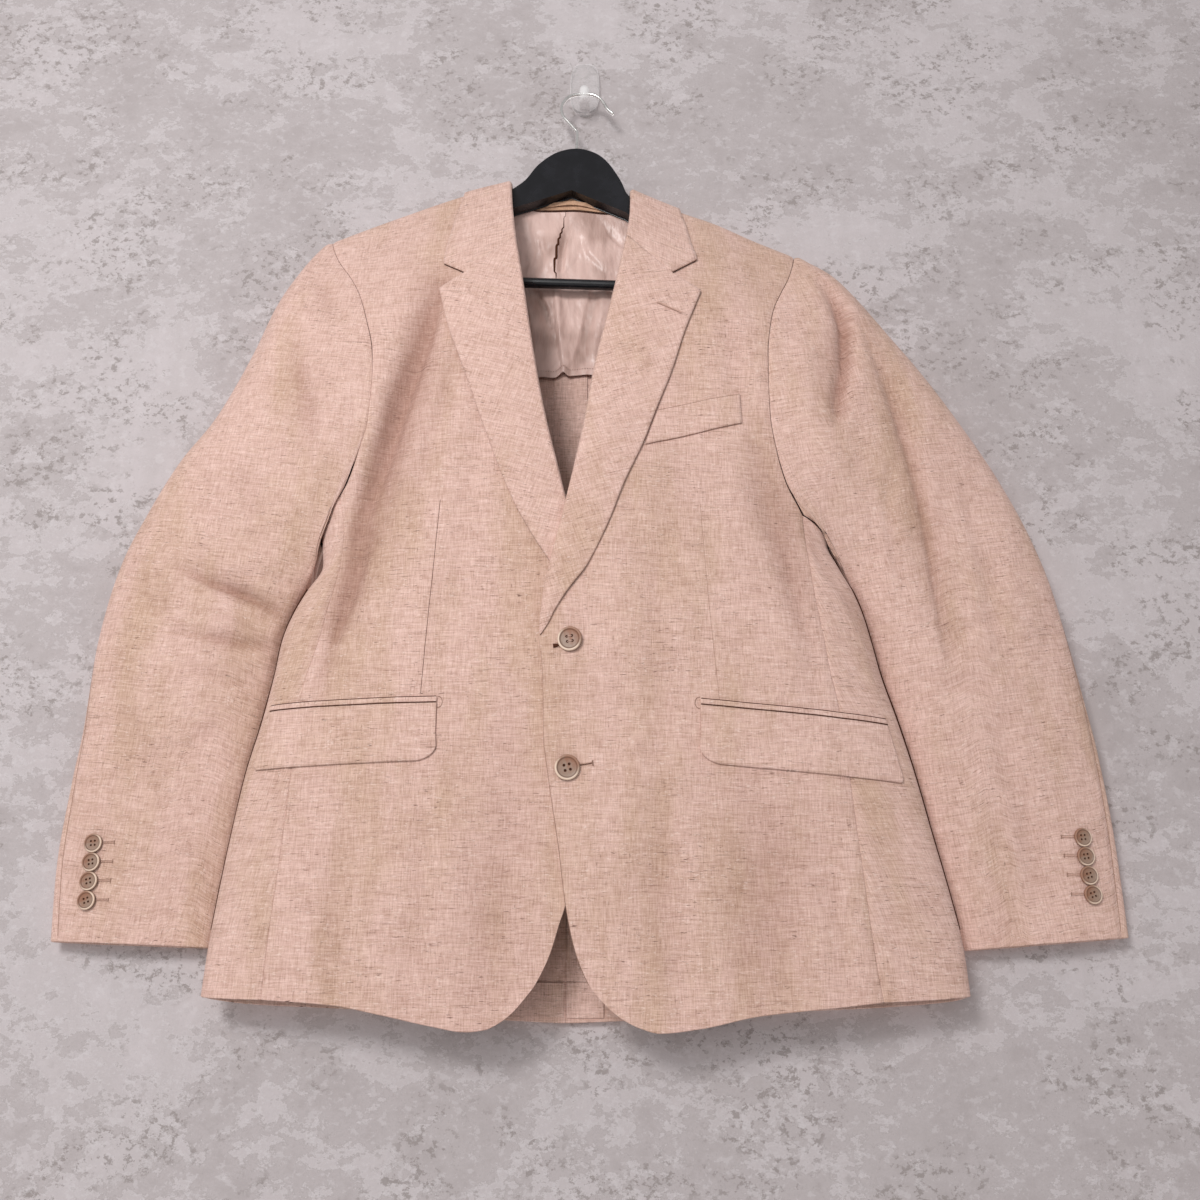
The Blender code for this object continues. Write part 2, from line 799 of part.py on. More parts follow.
def turned(name, profile, centre, axis, finish, sides=20):
    """A turned piece. The profile gives radius and height along the axis, from base to top."""
    axis = axis.normalized()
    across = axis.orthogonal().normalized()
    over = axis.cross(across)
    points, rings = [], []
    for radius, height in profile:
        if radius == 0:
            rings.append([len(points)] * sides)
            points.append(centre + axis * height)
            continue
        rings.append([len(points) + i for i in range(sides)])
        for i in range(sides):
            angle = 2 * math.pi * i / sides
            spoke = across * math.cos(angle) + over * math.sin(angle)
            points.append(centre + spoke * radius + axis * height)
    faces = []
    for low, high in zip(rings, rings[1:]):
        for i in range(sides):
            k = (i + 1) % sides
            corners = dict.fromkeys([low[i], low[k], high[k], high[i]])
            faces.append(list(corners))
    return finish_object(mesh_of(name, points, faces), name, finish)


# ---------------------------------------------------------------- fronts, back and sides

# Heights of the rows below the armhole's foot, as shares, close together at the rounded corner.
LOW_ROWS = [0, 0.03, 0.07, 0.12, 0.19, 0.27, 0.37, 0.47, 0.57, 0.68, 0.79, 0.9, 1.0]
ARMHOLE_ROWS = 9  # from the armhole's foot up to where the cloth turns over the shoulder
RIDGE_DROPS = [RIDGE_ROUND, 7.5, 2.2, 0.0]
NECK_DROPS = [19.0, 10.0, 4.0, 0.0]  # the same rows, below the middle of the neck
HEM_COLUMNS = [0, 0.04, 0.09, 0.15, 0.22, 0.34, 0.5, 0.67, 0.84, 1.0]
TOP_COLUMNS = [0, 0.1, 0.2, 0.31, 0.42, 0.54, 0.66, 0.78, 0.89, 1.0]
BACK_NECK_COLUMNS = [0, 0.35, 0.66, 0.87, 0.965]  # from the middle to the end of the neck
SIDE_COLUMNS = 6
FOOT = len(LOW_ROWS) - 1  # the row of the armhole's foot

Half = namedtuple(
    "Half",
    "side edge roll lapel seam armhole back_seam back_armhole hem underarm side_hem neck_x form",
)
HALVES = {
    "left": Half(1, EDGE_LEFT, ROLL_LEFT, LAPEL_LEFT, SIDE_SEAM_LEFT, ARMHOLE_LEFT, BACK_SEAM_LEFT,
                 BACK_ARMHOLE_LEFT, HEM_FRONT_LEFT, UNDERARM_LEFT, HEM_SIDE_LEFT, 52,
                 left_front_point),
    "right": Half(-1, EDGE_RIGHT, ROLL_RIGHT, LAPEL_RIGHT, SIDE_SEAM_RIGHT, ARMHOLE_RIGHT,
                  BACK_SEAM_RIGHT, BACK_ARMHOLE_RIGHT, HEM_FRONT_RIGHT, UNDERARM_RIGHT,
                  HEM_SIDE_RIGHT, -75, front_point),
}


def below_ridge(x_at, drop):
    """The height, on an edge that gives x by z, that lies a drop below the shoulder line."""
    z = ridge_z(x_at(-230.0)) - drop
    for _ in range(12):
        z = ridge_z(x_at(z)) - drop
    return z


def even_levels(x_at, form, low, high, count):
    """Heights that divide an edge into equal lengths, from one height to another."""
    dense = [mix(low, high, n / 300) for n in range(301)]
    points = [form(x_at(z), z) for z in dense]
    lengths = [0.0]
    for a, b in zip(points, points[1:]):
        lengths.append(lengths[-1] + (b - a).length)
    chosen = [smooth(lengths, dense, lengths[-1] * n / count) for n in range(count)]
    return chosen + [high]


def rows_up(foot_z, low_z, x_at, form):
    """The heights of a panel's rows at its armhole side, from the hem to the shoulder line."""
    rows = [mix(low_z, foot_z, share) for share in LOW_ROWS]
    ridge = [below_ridge(x_at, drop) for drop in RIDGE_DROPS]
    return rows + even_levels(x_at, form, foot_z, ridge[0], ARMHOLE_ROWS)[1:] + ridge[1:]


def inner_edge(half):
    """x of a front's inner edge by its height: the free edge, then just behind the lapel's roll."""
    edge, roll = curve(half.edge, "z", "x"), curve(half.roll, "z", "x")
    break_z = half.edge[-1].z
    top_z = ridge_z(half.neck_x)

    def x_at(z):
        if z < break_z:
            return mix(edge(z), roll(break_z) + half.side * ROLL_BACK, eased((z - break_z + 40) / 40))
        behind = roll(z) + half.side * ROLL_BACK
        return mix(behind, half.neck_x, eased((z + 215) / (top_z + 215)))

    return x_at


def armhole_side(seam, armhole):
    """x of a panel's outer edge by its height: its side seam, then the armhole."""
    seam_x, hole_x, foot_z = curve(seam, "z", "x"), curve(armhole, "z", "x"), seam[-1].z
    return lambda z: seam_x(z) if z <= foot_z else hole_x(z)


def patch(form, inner, outer, columns_at, drops_at, bottom, top):
    """A grid between two upright edges, given as x and z by row, under a top that gives z by x.

    The last rows lie at given drops below the top, and the first is bent to the bottom.
    """
    rows = len(inner)
    ridge_row = rows - len(RIDGE_DROPS)
    grid = []
    for r in range(rows):
        height = min(r / ridge_row, 1.0)
        row = []
        for n, share in enumerate(columns_at(r / (rows - 1))):
            x = mix(inner[r][0], outer[r][0], share)
            if r >= ridge_row:
                row.append(form(x, top(x) - drops_at(n)[r - ridge_row]))
                continue
            low = bottom(mix(inner[0][0], outer[0][0], share)) - mix(inner[0][1], outer[0][1], share)
            top_x = mix(inner[ridge_row][0], outer[ridge_row][0], share)
            high = top(top_x) - drops_at(n)[0] - mix(inner[ridge_row][1], outer[ridge_row][1], share)
            z = mix(inner[r][1], outer[r][1], share)
            z += low * max(1 - height / 0.7, 0.0) ** 2 + high * max(1 - (1 - height) / 0.5, 0.0) ** 2
            row.append(form(x, z))
        grid.append(row)
    return grid


def front_panel(side_name):
    half = HALVES[side_name]
    outer_x = armhole_side(half.seam, half.armhole)
    outer_z = rows_up(half.seam[-1].z, half.seam[0].z, outer_x, half.form)
    inner_x = inner_edge(half)
    ridge = [below_ridge(inner_x, drop) for drop in RIDGE_DROPS]
    corner_z, span = half.edge[0].z, outer_z[-4] - outer_z[0]
    inner_z = [corner_z + (ridge[0] - corner_z) * (z - outer_z[0]) / span for z in outer_z[:-3]]
    inner_z += ridge[1:]
    grid = patch(
        half.form,
        [(inner_x(z), z) for z in inner_z],
        [(outer_x(z), z) for z in outer_z],
        lambda height: [mix(a, b, height) for a, b in zip(HEM_COLUMNS, TOP_COLUMNS)],
        lambda column: RIDGE_DROPS,
        curve(half.hem, "x", "z"),
        ridge_z,
    )
    return Panel(f"front_{side_name}", grid, CLOTH, half.side < 0)


def side_column_points(half, share):
    """One column of a side panel, from the hem up: share 0 is the front seam and 1 the back seam."""
    low = smooth(range(SIDE_COLUMNS + 1), half.side_hem, share * SIDE_COLUMNS)
    high = smooth(range(SIDE_COLUMNS + 1), half.underarm, share * SIDE_COLUMNS)
    front_seam, back_seam = curve(half.seam, "z", "x"), curve(half.back_seam, "z", "x")
    points = []
    for z in (mix(low, high, step) for step in LOW_ROWS):
        if share < 0.5:
            x = rim_x(half.side, mix(rim_angle(front_seam(z), z), 0, share * 2), z)
            points.append(half.form(x if share else front_seam(z), z))
        elif share > 0.5:
            x = rim_x(half.side, mix(0, rim_angle(back_seam(z), z), share * 2 - 1), z)
            points.append(back_point(x if share < 1 else back_seam(z), z))
        else:
            points.append(back_point(rim_x(half.side, 0, z), z))
    return points


def side_panel(side_name):
    half = HALVES[side_name]
    columns = [side_column_points(half, c / SIDE_COLUMNS) for c in range(SIDE_COLUMNS + 1)]
    grid = [list(row) for row in zip(*columns)]
    return Panel(f"side_{side_name}", grid, CLOTH, half.side < 0)


def back_panel(side_name):
    half = HALVES[side_name]
    outer_x = armhole_side(half.back_seam, half.back_armhole)
    outer_z = rows_up(half.back_seam[-1].z, half.back_seam[0].z, outer_x, back_point)
    top_z = neck_z(BACK_SEAM_X) - NECK_DROPS[0]
    span = outer_z[-4] - outer_z[0]
    inner_z = [HEM_BACK_Z + (top_z - HEM_BACK_Z) * (z - outer_z[0]) / span for z in outer_z[:-3]]
    inner_z += [neck_z(BACK_SEAM_X) - drop for drop in NECK_DROPS[1:]]

    def columns_at(height):
        r = round(height * (len(outer_z) - 1))
        neck_share = (half.neck_x - BACK_SEAM_X) / (outer_x(outer_z[r]) - BACK_SEAM_X)
        columns = [neck_share * share for share in BACK_NECK_COLUMNS]
        return columns + [mix(neck_share, 1, share) for share in TOP_COLUMNS]

    def drops_at(column):
        share = (BACK_NECK_COLUMNS + [1.0] * len(TOP_COLUMNS))[column] ** 2
        return [mix(neck, ridge, share) for neck, ridge in zip(NECK_DROPS, RIDGE_DROPS)]

    def hem(x):
        share = (x - BACK_SEAM_X) / (outer_x(outer_z[0]) - BACK_SEAM_X)
        return mix(HEM_BACK_Z, half.back_seam[0].z, eased(share) * 0.4 + share * 0.6)

    def top(x):
        inside = abs(x - BACK_SEAM_X) < abs(half.neck_x - BACK_SEAM_X) - 1e-6
        return neck_z(x) if inside else ridge_z(x)

    grid = patch(
        back_point,
        [(BACK_SEAM_X, z) for z in inner_z],
        [(outer_x(z), z) for z in outer_z],
        columns_at,
        drops_at,
        hem,
        top,
    )
    return Panel(f"back_{side_name}", grid, CLOTH, half.side > 0)


def vent_panel():
    """The underlap of the back's vent, inside the left back panel."""
    left, right = BACK_SEAM_X + 0.8, BACK_SEAM_X + 30
    grid = []
    for n in range(9):
        z = mix(HEM_BACK_Z + 3.5, VENT_TOP, n / 8)
        end = mix(right, right - 6, eased(n - 7))
        grid.append([off_back(mix(left, end, share), z, -CLOTH - 0.5) for share in (0, 0.5, 1)])
    return Panel("vent_underlap", grid, 1.4, True)


# ---------------------------------------------------------------- sleeves, from the armholes down


def armhole_loop(side_name, panels):
    """The armhole's points from the shoulder's end round the front, and their places in degrees."""
    front, side, back = (panels[f"{part}_{side_name}"].grid for part in ("front", "side", "back"))
    down_front = [row[-1] for row in reversed(front[FOOT:])]
    under = side[-1]
    up_back = [row[-1] for row in back[FOOT:]]

    def spread(points, start, end):
        lengths = [0.0]
        for a, b in zip(points, points[1:]):
            lengths.append(lengths[-1] + (b - a).length)
        return [mix(start, end, length / lengths[-1]) for length in lengths]

    loop = down_front + under[1:-1] + up_back
    degrees = spread(down_front, 0, 150)[:-1] + spread(under, 150, 210) + spread(up_back, 210, 360)[1:]
    return loop, degrees


def body_reach(y, z, side, clear):
    """x just outside the body's oval, at a depth and a height."""
    edge_y = side_y(z)
    open_y = chest_y(z) if y < edge_y else BACK_Y
    share = min(abs((y - edge_y) / (open_y - edge_y)), 1.0)
    width = half_width(AXIS_X + side, z)
    return AXIS_X + side * (width * (1 - share**BULGE) ** (1 / BULGE) + clear * (1 + 3 * share**2))


def beside_body(point, side, foot_z, ring_number):
    """A sleeve's point, moved out to where it clears the body under the arm."""
    if point.z > foot_z:
        return point
    clear = min(SLEEVE_CLEAR * ring_number, SLEEVE_CLEAR_MOST)
    reach = body_reach(point.y, point.z, side, clear)
    if side * (point.x - reach) < 0:
        return Vector((reach, point.y, point.z))
    return point


def sleeve_panels(side_name, panels):
    """The topsleeve and the undersleeve of one arm."""
    half = HALVES[side_name]
    loop, degrees = armhole_loop(side_name, panels)
    rings = SLEEVE_LEFT if side_name == "left" else SLEEVE_RIGHT
    offsets = [point - sleeve_ideal(rings[0], at) for point, at in zip(loop, degrees)]
    hind = min(range(len(loop)), key=lambda n: abs(degrees[n] - 360 - HIND_SEAM[0]))
    fore = min(range(len(loop)), key=lambda n: abs(degrees[n] - 170))
    top_places = list(range(hind, len(loop) - 1)) + list(range(fore + 1))
    under_places = list(range(fore, hind + 1))

    def at_place(ring, number, place, here):
        if number == 0:
            below = max(-math.cos(math.radians(degrees[place])), 0.0)
            return loop[place] + Vector((half.side * (0.6 + 0.9 * below), 0, 0))
        point = sleeve_point(ring, here, offsets[place])
        if number == 1:
            out = point - Vector((point.x, -45, -380))
            top = max(math.cos(math.radians(degrees[place])), 0.0) ** 0.5
            point += out.normalized() * HEAD_ROLL * top
        return beside_body(point, half.side, half.seam[-1].z + 4, number)

    def grid_of(places, under):
        start, end = degrees[places[0]], degrees[places[-1]]
        if not under:
            start -= 360
        grid = []
        for number, ring in enumerate(rings):
            to_fore = mix(degrees[fore], FORE_SEAM, min(number / 6, 1.0))
            first, last = (to_fore, HIND_SEAM[number] + 360) if under else (HIND_SEAM[number], to_fore)
            row = []
            for n, place in enumerate(places):
                at = degrees[place] - (360 if not under and place >= hind else 0)
                share = mix((at - start) / (end - start), n / (len(places) - 1), min(number / 6, 1.0))
                here = mix(at, mix(first, last, share), min(number / 4, 1.0))
                row.append(at_place(ring, number, place, here))
            grid.append(row)
        return grid

    turned_in = side_name == "right"
    top = Panel(f"topsleeve_{side_name}", grid_of(top_places, False), SLEEVE_CLOTH, turned_in)
    under = Panel(f"undersleeve_{side_name}", grid_of(under_places, True), SLEEVE_CLOTH, turned_in)
    top.column_gap = under.column_gap = SLEEVE_SEAM / 2
    return top, under


# ---------------------------------------------------------------- collar and lapels


def turned_edge(stand):
    """The section of the cloth where a leaf turns over its roll, from the seam to the flat leaf.

    Each place has the way along the stand, the way along the leaf and the height over the panel,
    for the outer and for the inner face. The stand is short in front and tall behind the neck.
    """
    tall = eased(stand / 8)
    stand = max(stand, 0.3)
    outer = [
        (stand, 0, -2.0),
        (mix(0.12, stand * 0.55, tall), 0, mix(-1.2, -2.0, tall)),
        (mix(0.0, 1.6, tall), 0, mix(-0.4, -1.7, tall)),
        (0, 0, mix(0.6, 0.1, tall)),
        (0, 0.8, 2.3),
        (0, 2.8, LEAF),
    ]
    inner = [
        (max(stand, 2.3), 0, mix(-2.0, 0.0, tall)),
        (mix(2.3, stand * 0.55, tall), 0, mix(-1.2, 0.0, tall)),
        (mix(2.3, 3.2, tall), 0, mix(-0.4, 0.1, tall)),
        (0, mix(2.25, 2.5, tall), mix(0.4, 0.6, tall)),
        (0, 2.7, 1.0),
        (0, 3.4, LEAF - CLOTH),
    ]
    return outer, inner


def leaf_rows(point_at, roll, seam, knee, edge, stand, tip_steps):
    """The outer and inner rows across a leaf. A place is a pair of the form's own coordinates."""
    outer, inner = turned_edge(stand)
    to_seam, to_knee = Vector(seam) - Vector(roll), Vector(knee) - Vector(roll)
    seam_way = to_seam.normalized() if to_seam.length > 2.5 else to_knee.normalized()
    rows = []
    for face, lower in ((outer, 0.0), (inner, CLOTH)):
        row = []
        for along_stand, along_leaf, height in face:
            place = Vector(roll) + seam_way * along_stand + to_knee.normalized() * along_leaf
            row.append(point_at(place, height))
        for share in LEAF_STEPS:
            place = Vector(roll) + to_knee * max(share, 4.4 / to_knee.length * (0.8 + share))
            row.append(point_at(place, mix(LEAF, LEAF_EDGE, share * 0.63) - lower))
        for share in tip_steps:
            place = Vector(knee).lerp(Vector(edge), share)
            row.append(point_at(place, LEAF_EDGE - lower))
        rows.append(row)
    return rows


LAPEL_ROWS = 13


def lapel_panel(side_name):
    half = HALVES[side_name]
    foot, tip = half.roll[0].z, half.lapel[-1].z
    top_roll = GORGE_Z[side_name]
    roll_x, edge_x = curve(half.roll, "z", "x"), curve(half.lapel, "z", "x")
    grids = [], []
    for n in range(LAPEL_ROWS + 1):
        rise = mix(0.03, 1.0, (n / LAPEL_ROWS) ** 1.1)
        roll_z, edge_z = mix(foot, top_roll, rise), mix(foot, tip, rise)
        roll, edge = (roll_x(roll_z), roll_z), (edge_x(edge_z), edge_z)
        knee = Vector(roll).lerp(Vector(edge), KNEE)
        knee = knee.lerp(Vector(NOTCH[side_name]), eased((rise - 0.86) / 0.14))
        rows = leaf_rows(
            lambda place, height: off_front(half.form, place.x, place.y, height),
            roll, roll, knee, edge, 0.0, (0.5, 1.0),
        )
        for grid, row in zip(grids, rows):
            grid.append([row[0]] + row[3:])
    panel = Panel(f"lapel_{side_name}", grids[0], CLOTH, half.side < 0, inner=grids[1])
    panel.row_gap, panel.column_gap = 0.3, 0.0
    return panel


# Where the collar's rows lie between its stations, close together over the shoulder line.
COLLAR_ROWS = [0, 1, 2, 3, 3.45, 3.9, 4.25, 4.6, 5, 5.35, 5.7, 6.05, 6.5, 7, 7.5, 8, 8.5, 9]


def collar_seam(side_name, number, roll):
    """Where the collar's stand meets the body, as x and the way over the shoulder."""
    half = HALVES[side_name]
    if number < 5:
        z = ridge_z(roll[0]) - drop_of(roll[1])
        return inner_edge(half)(z) - half.side * (SEAM + 0.35), roll[1]
    x = smooth(range(5, 10), COLLAR_SEAM_X[side_name], number)
    return x, way_of(ridge_z(x) - neck_z(x) - 1.0)


def collar_rows(side_name, number):
    """One row across the collar, its outer and its inner face."""
    stations = COLLAR_LEFT if side_name == "left" else COLLAR_RIGHT
    roll_x, roll_way, edge_x, edge_way = (
        smooth(range(len(stations)), column, number) for column in zip(*stations)
    )
    if number > 6:
        edge_way = way_of(ridge_z(edge_x) - curve(COLLAR_EDGE, "x", "z")(edge_x))
    roll, edge = (roll_x, roll_way), (edge_x, edge_way)
    seam = collar_seam(side_name, number, roll)
    stand = math.hypot(seam[0] - roll[0], seam[1] - roll[1])
    stand = 0.0 if stand < 2.5 else stand
    return leaf_rows(
        lambda place, height: off_shoulder(place.x, place.y, height),
        roll, seam, edge, edge, stand, (),
    )


def collar_panel():
    made = [collar_rows("left", number) for number in COLLAR_ROWS]
    made += [collar_rows("right", number) for number in COLLAR_ROWS[-2::-1]]
    outer, inner = ([rows[face] for rows in made] for face in (0, 1))
    panel = Panel("collar", outer, CLOTH, inner=inner)
    panel.row_gap, panel.column_gap = 0.4, 0.0
    return panel


# ---------------------------------------------------------------- pockets


def off_round(half, angle, z, height):
    """A point of the front's form at an angle round the oval, moved out of its face."""

    def at(angle, z):
        return half.form(rim_x(half.side, angle, z), z)

    step = 0.015
    round_way = at(angle - step, z) - at(angle + step, z)
    up_way = at(angle, z + 1.5) - at(angle, z - 1.5)
    out = round_way.cross(up_way).normalized() * half.side
    return at(angle, z) + out * height


POCKET_COLUMNS = [0, 0.012, 0.035, 0.07, 0.13, 0.25, 0.38, 0.5, 0.62, 0.74, 0.86, 0.95, 1.0]
CORNER_ROUND = 11.0  # of a flap's lower inner corner


def pocket_panel(name, half, corners, height, thick, rows, rounded_corner):
    """A small piece on a front: a grid between four corners, and round the body towards its side."""
    inner_top, outer_top, outer_low, inner_low = corners
    grids = [], []
    length = abs(outer_low.x - inner_low.x)
    for up in rows:
        row = [], []
        inner_z, outer_z = mix(inner_low.z, inner_top.z, up), mix(outer_low.z, outer_top.z, up)
        inner_x = mix(inner_low.x, inner_top.x, up)
        first = rim_angle(inner_x, inner_z)
        last = POCKET_END["left" if half.side > 0 else "right"]
        for share in POCKET_COLUMNS:
            z = mix(inner_z, outer_z, share)
            if rounded_corner and share * length < CORNER_ROUND:
                cut = 1 - share * length / CORNER_ROUND
                z += CORNER_ROUND * (1 - math.sqrt(max(1 - cut * cut, 0.0))) * max(1 - up / 0.5, 0.0)
            angle = mix(first, last, share)
            row[0].append(off_round(half, angle, z, height + thick))
            row[1].append(off_round(half, angle, z, height))
        for grid, made in zip(grids, row):
            grid.append(made)
    panel = Panel(name, grids[0], thick, half.side < 0, inner=grids[1])
    panel.row_gap = panel.column_gap = 0.0
    return panel


def pocket_panels(side_name):
    half = HALVES[side_name]
    flap = FLAP_LEFT if side_name == "left" else FLAP_RIGHT
    jet = [
        Corner(flap[0].x, flap[0].z + JET_HEIGHT),
        Corner(flap[1].x, flap[1].z + JET_HEIGHT),
        Corner(flap[1].x, flap[1].z + 0.4),
        Corner(flap[0].x, flap[0].z + 0.4),
    ]
    flap_rows = (0, 0.14, 0.32, 0.6, 1.0)
    return [
        pocket_panel(f"flap_{side_name}", half, flap, ON_FRONT, FLAP_THICK, flap_rows, True),
        pocket_panel(f"jet_{side_name}", half, jet, ON_FRONT, JET_THICK, (0, 1.0), False),
    ]


def welt_panel():
    grids = [], []
    inner_top, outer_top, outer_low, inner_low = WELT
    for up in (0, 0.5, 1):
        row = [], []
        for share in (n / 5 for n in range(6)):
            x = mix(mix(inner_low.x, outer_low.x, share), mix(inner_top.x, outer_top.x, share), up)
            z = mix(mix(inner_low.z, outer_low.z, share), mix(inner_top.z, outer_top.z, share), up)
            row[0].append(off_front(left_front_point, x, z, ON_FRONT + WELT_THICK))
            row[1].append(off_front(left_front_point, x, z, ON_FRONT))
        for grid, made in zip(grids, row):
            grid.append(made)
    panel = Panel("breast_welt", grids[0], WELT_THICK, inner=grids[1])
    panel.row_gap = panel.column_gap = 0.0
    return panel


# ---------------------------------------------------------------- what shows inside the neck


def lining_panel():
    """The satin half lining of the upper back, with its centre pleat."""
    left, right = -186.0, 160.0
    columns = [0, 0.1, 0.2, 0.29, 0.36, 0.41, 0.45, 0.485, 0.52, 0.57, 0.64, 0.73, 0.82, 0.91, 1.0]
    grid = []
    for up in (0, 0.12, 0.28, 0.45, 0.62, 0.78, 0.9, 1.0):
        row = []
        for share in columns:
            x = mix(left, right, share)
            in_neck = -75 < x < 52
            top = neck_z(x) - 10.4 if in_neck else ridge_z(x) - 21.5
            z = mix(-356.0, top, up)
            pleat = 3.0 * math.exp(-(((x + 26) / 9) ** 2)) * math.sin(math.pi * min(up + 0.1, 1))
            row.append(off_back(x, z, -CLOTH - 1.1 - LINING - pleat))
        grid.append(row)
    return Panel("back_lining", grid, LINING, False, "lining")


def neck_facing_panel():
    """The narrow band of cloth under the back of the neck."""
    rows = []
    for drop in (8.7, 1.5):
        row = []
        for n in range(13):
            x = mix(-58, 36, n / 12)
            row.append(off_back(x, neck_z(x) - drop, -CLOTH - 0.9 - LINING))
        rows.append(row)
    return Panel("neck_facing", rows, LINING, False, "facing")


def loop_panel():
    """The hanging loop, which bows up from its two sewn ends."""
    rows = []
    for edge in (0.0, 4.6):
        row = []
        for n in range(13):
            share = n / 12
            bow = math.sin(math.pi * share)
            x = mix(-43, 19, share)
            z = min(neck_z(x) - 7.5 + edge + 6.5 * bow, ridge_z(x) - 16)
            row.append(off_back(x, z, -CLOTH - 0.9 - LINING - 0.4 - LINING - 0.7 * bow))
        rows.append(row)
    return Panel("hanger_loop", rows, LINING, False, "facing")


# ---------------------------------------------------------------- buttons

BUTTON_PROFILE = [  # share of the radius, height in mm
    (0.0, 0.0), (0.72, 0.0), (1.0, 1.3), (1.0, 2.3), (0.86, 3.1), (0.66, 2.3), (0.0, 2.1),
]


def button(name, centre, out, radius, sides):
    profile = [(share * radius, height) for share, height in BUTTON_PROFILE]
    return turned(name, profile, centre, out, "horn", sides)


def front_buttons():
    for number, place in enumerate(BUTTONS_FRONT, 1):
        foot = off_front(left_front_point, place.x, place.z, 0.4)
        out = off_front(left_front_point, place.x, place.z, 1.4) - foot
        button(f"button_front_{number}", foot, out, BUTTON_FRONT_R, 20)


def cuff_buttons(side_name, topsleeve):
    places = BUTTONS_CUFF_LEFT if side_name == "left" else BUTTONS_CUFF_RIGHT
    for number, place in enumerate(places, 1):
        foot, out = on_grid(topsleeve, place.x, place.z)
        button(f"button_cuff_{side_name}_{number}", foot + out * 0.5, out, BUTTON_CUFF_R, 14)


def on_grid(panel, x, z):
    """The point of a panel's front face over a place, and the way it faces there."""
    here = Vector((x, z))
    for r in range(panel.rows - 1):
        for c in range(panel.columns - 1):
            a, b = panel.grid[r][c], panel.grid[r][c + 1]
            d, e = panel.grid[r + 1][c + 1], panel.grid[r + 1][c]
            for corners in ((a, b, d), (a, d, e)):
                out = (corners[1] - corners[0]).cross(corners[2] - corners[0]).normalized()
                flat = [Vector((corner.x, corner.z)) for corner in corners]
                turns = [
                    (flat[(k + 1) % 3] - flat[k]).cross(here - flat[k]) for k in range(3)
                ]
                if abs(out.y) < 0.3 or not (min(turns) >= 0 or max(turns) <= 0):
                    continue
                if (out.y > 0) == (panel.name.endswith("left")):
                    continue
                first = corners[0]
                y = first.y - ((x - first.x) * out.x + (z - first.z) * out.z) / out.y
                return Vector((x, y, z)), out if out.y < 0 else -out
    raise ValueError(f"{panel.name} has no front face at {x}, {z}")


# ---------------------------------------------------------------- hanger and hooks


def arm_z(x):
    """The top of the hanger's arm under the shoulder line."""
    return ridge_z(x) - HANGER_CLEAR


def hanger():
    left, right = HANGER_ENDS
    arm_steps = 7
    outline = [Corner(x, arm_z(x)) for x in (mix(left, -80, n / arm_steps) for n in range(arm_steps + 1))]
    crown = [Corner(-72, -158)] + HANGER_TOP + [Corner(41, -160.5), Corner(50, -171)]
    keys = list(range(len(crown)))
    for n in range(2 * len(crown) - 1):
        outline.append(
            Corner(*(rounded(keys, [corner[axis] for corner in crown], n / 2) for axis in (0, 1)))
        )
    outline += [Corner(x, arm_z(x)) for x in (mix(64, right, n / arm_steps) for n in range(arm_steps + 1))]
    tab_right, tab_left = right - TAB_WIDTH, left + TAB_WIDTH
    outline += [Corner(right, BAR_ENDS[1].z - 7), Corner(tab_right, BAR_ENDS[1].z - 9)]
    under = [Corner(x, arm_z(x) - ARM_HEIGHT) for x in (tab_right, 120, 76)]
    under += [Corner(42, -193), Corner(-12, -159), Corner(-70, -187)]
    under += [Corner(x, arm_z(x) - ARM_HEIGHT) for x in (-110, -160, tab_left)]
    outline += under
    outline += [Corner(tab_left, BAR_ENDS[0].z - 9), Corner(left, BAR_ENDS[0].z - 7)]
    made = plate_between("hanger", outline, HANGER_FRONT_Y, HANGER_BACK_Y, "black")
    bevel = made.modifiers.new("soft_edges", "BEVEL")
    bevel.width = 2.2 * MM
    bevel.segments = 2
    bevel.limit_method = "ANGLE"
    bevel.angle_limit = math.radians(50)
    return made


def trouser_bar():
    low, high = (Vector((end.x, RIDGE_Y, end.z)) for end in BAR_ENDS)
    length = (high - low).length
    return turned("trouser_bar", [(0, 0), (BAR_R, 0), (BAR_R, length), (0, length)], low, high - low,
                  "black", 16)


def tube(name, path, radius, finish, sides=9):
    """A round wire along a smooth path, closed at both ends."""
    rings, points = [], []
    for i, here in enumerate(path):
        along = (path[min(i + 1, len(path) - 1)] - path[max(i - 1, 0)]).normalized()
        side = Vector((0, 1, 0))
        other = along.cross(side).normalized()
        rings.append([len(points) + k for k in range(sides)])
        for k in range(sides):
            angle = 2 * math.pi * k / sides
            points.append(here + (side * math.cos(angle) + other * math.sin(angle)) * radius)
    faces = [rings[0][::-1], rings[-1]]
    for low, high in zip(rings, rings[1:]):
        for k in range(sides):
            n = (k + 1) % sides
            faces.append([low[k], low[n], high[n], high[k]])
    return finish_object(mesh_of(name, points, faces), name, finish)


def wire_hook():
    keys = list(range(len(WIRE)))
    xs, zs = [corner.x for corner in WIRE], [corner.z for corner in WIRE]
    steps = 2
    path = []
    for n in range((len(WIRE) - 1) * steps + 1):
        at = n / steps
        path.append(Vector((rounded(keys, xs, at), RIDGE_Y, rounded(keys, zs, at))))
    return tube("wire_hook", path, WIRE_R, "chrome")


def rounded(keys, values, at):
    """A value on a Catmull-Rom curve through evenly spaced values."""
    i = min(int(at), len(keys) - 2)
    t = at - i
    before, after = values[max(i - 1, 0)], values[min(i + 2, len(keys) - 1)]
    a, b = values[i], values[i + 1]
    return 0.5 * (
        2 * a + (b - before) * t + (2 * before - 5 * a + 4 * b - after) * t**2
        + (3 * a - before - 3 * b + after) * t**3
    )


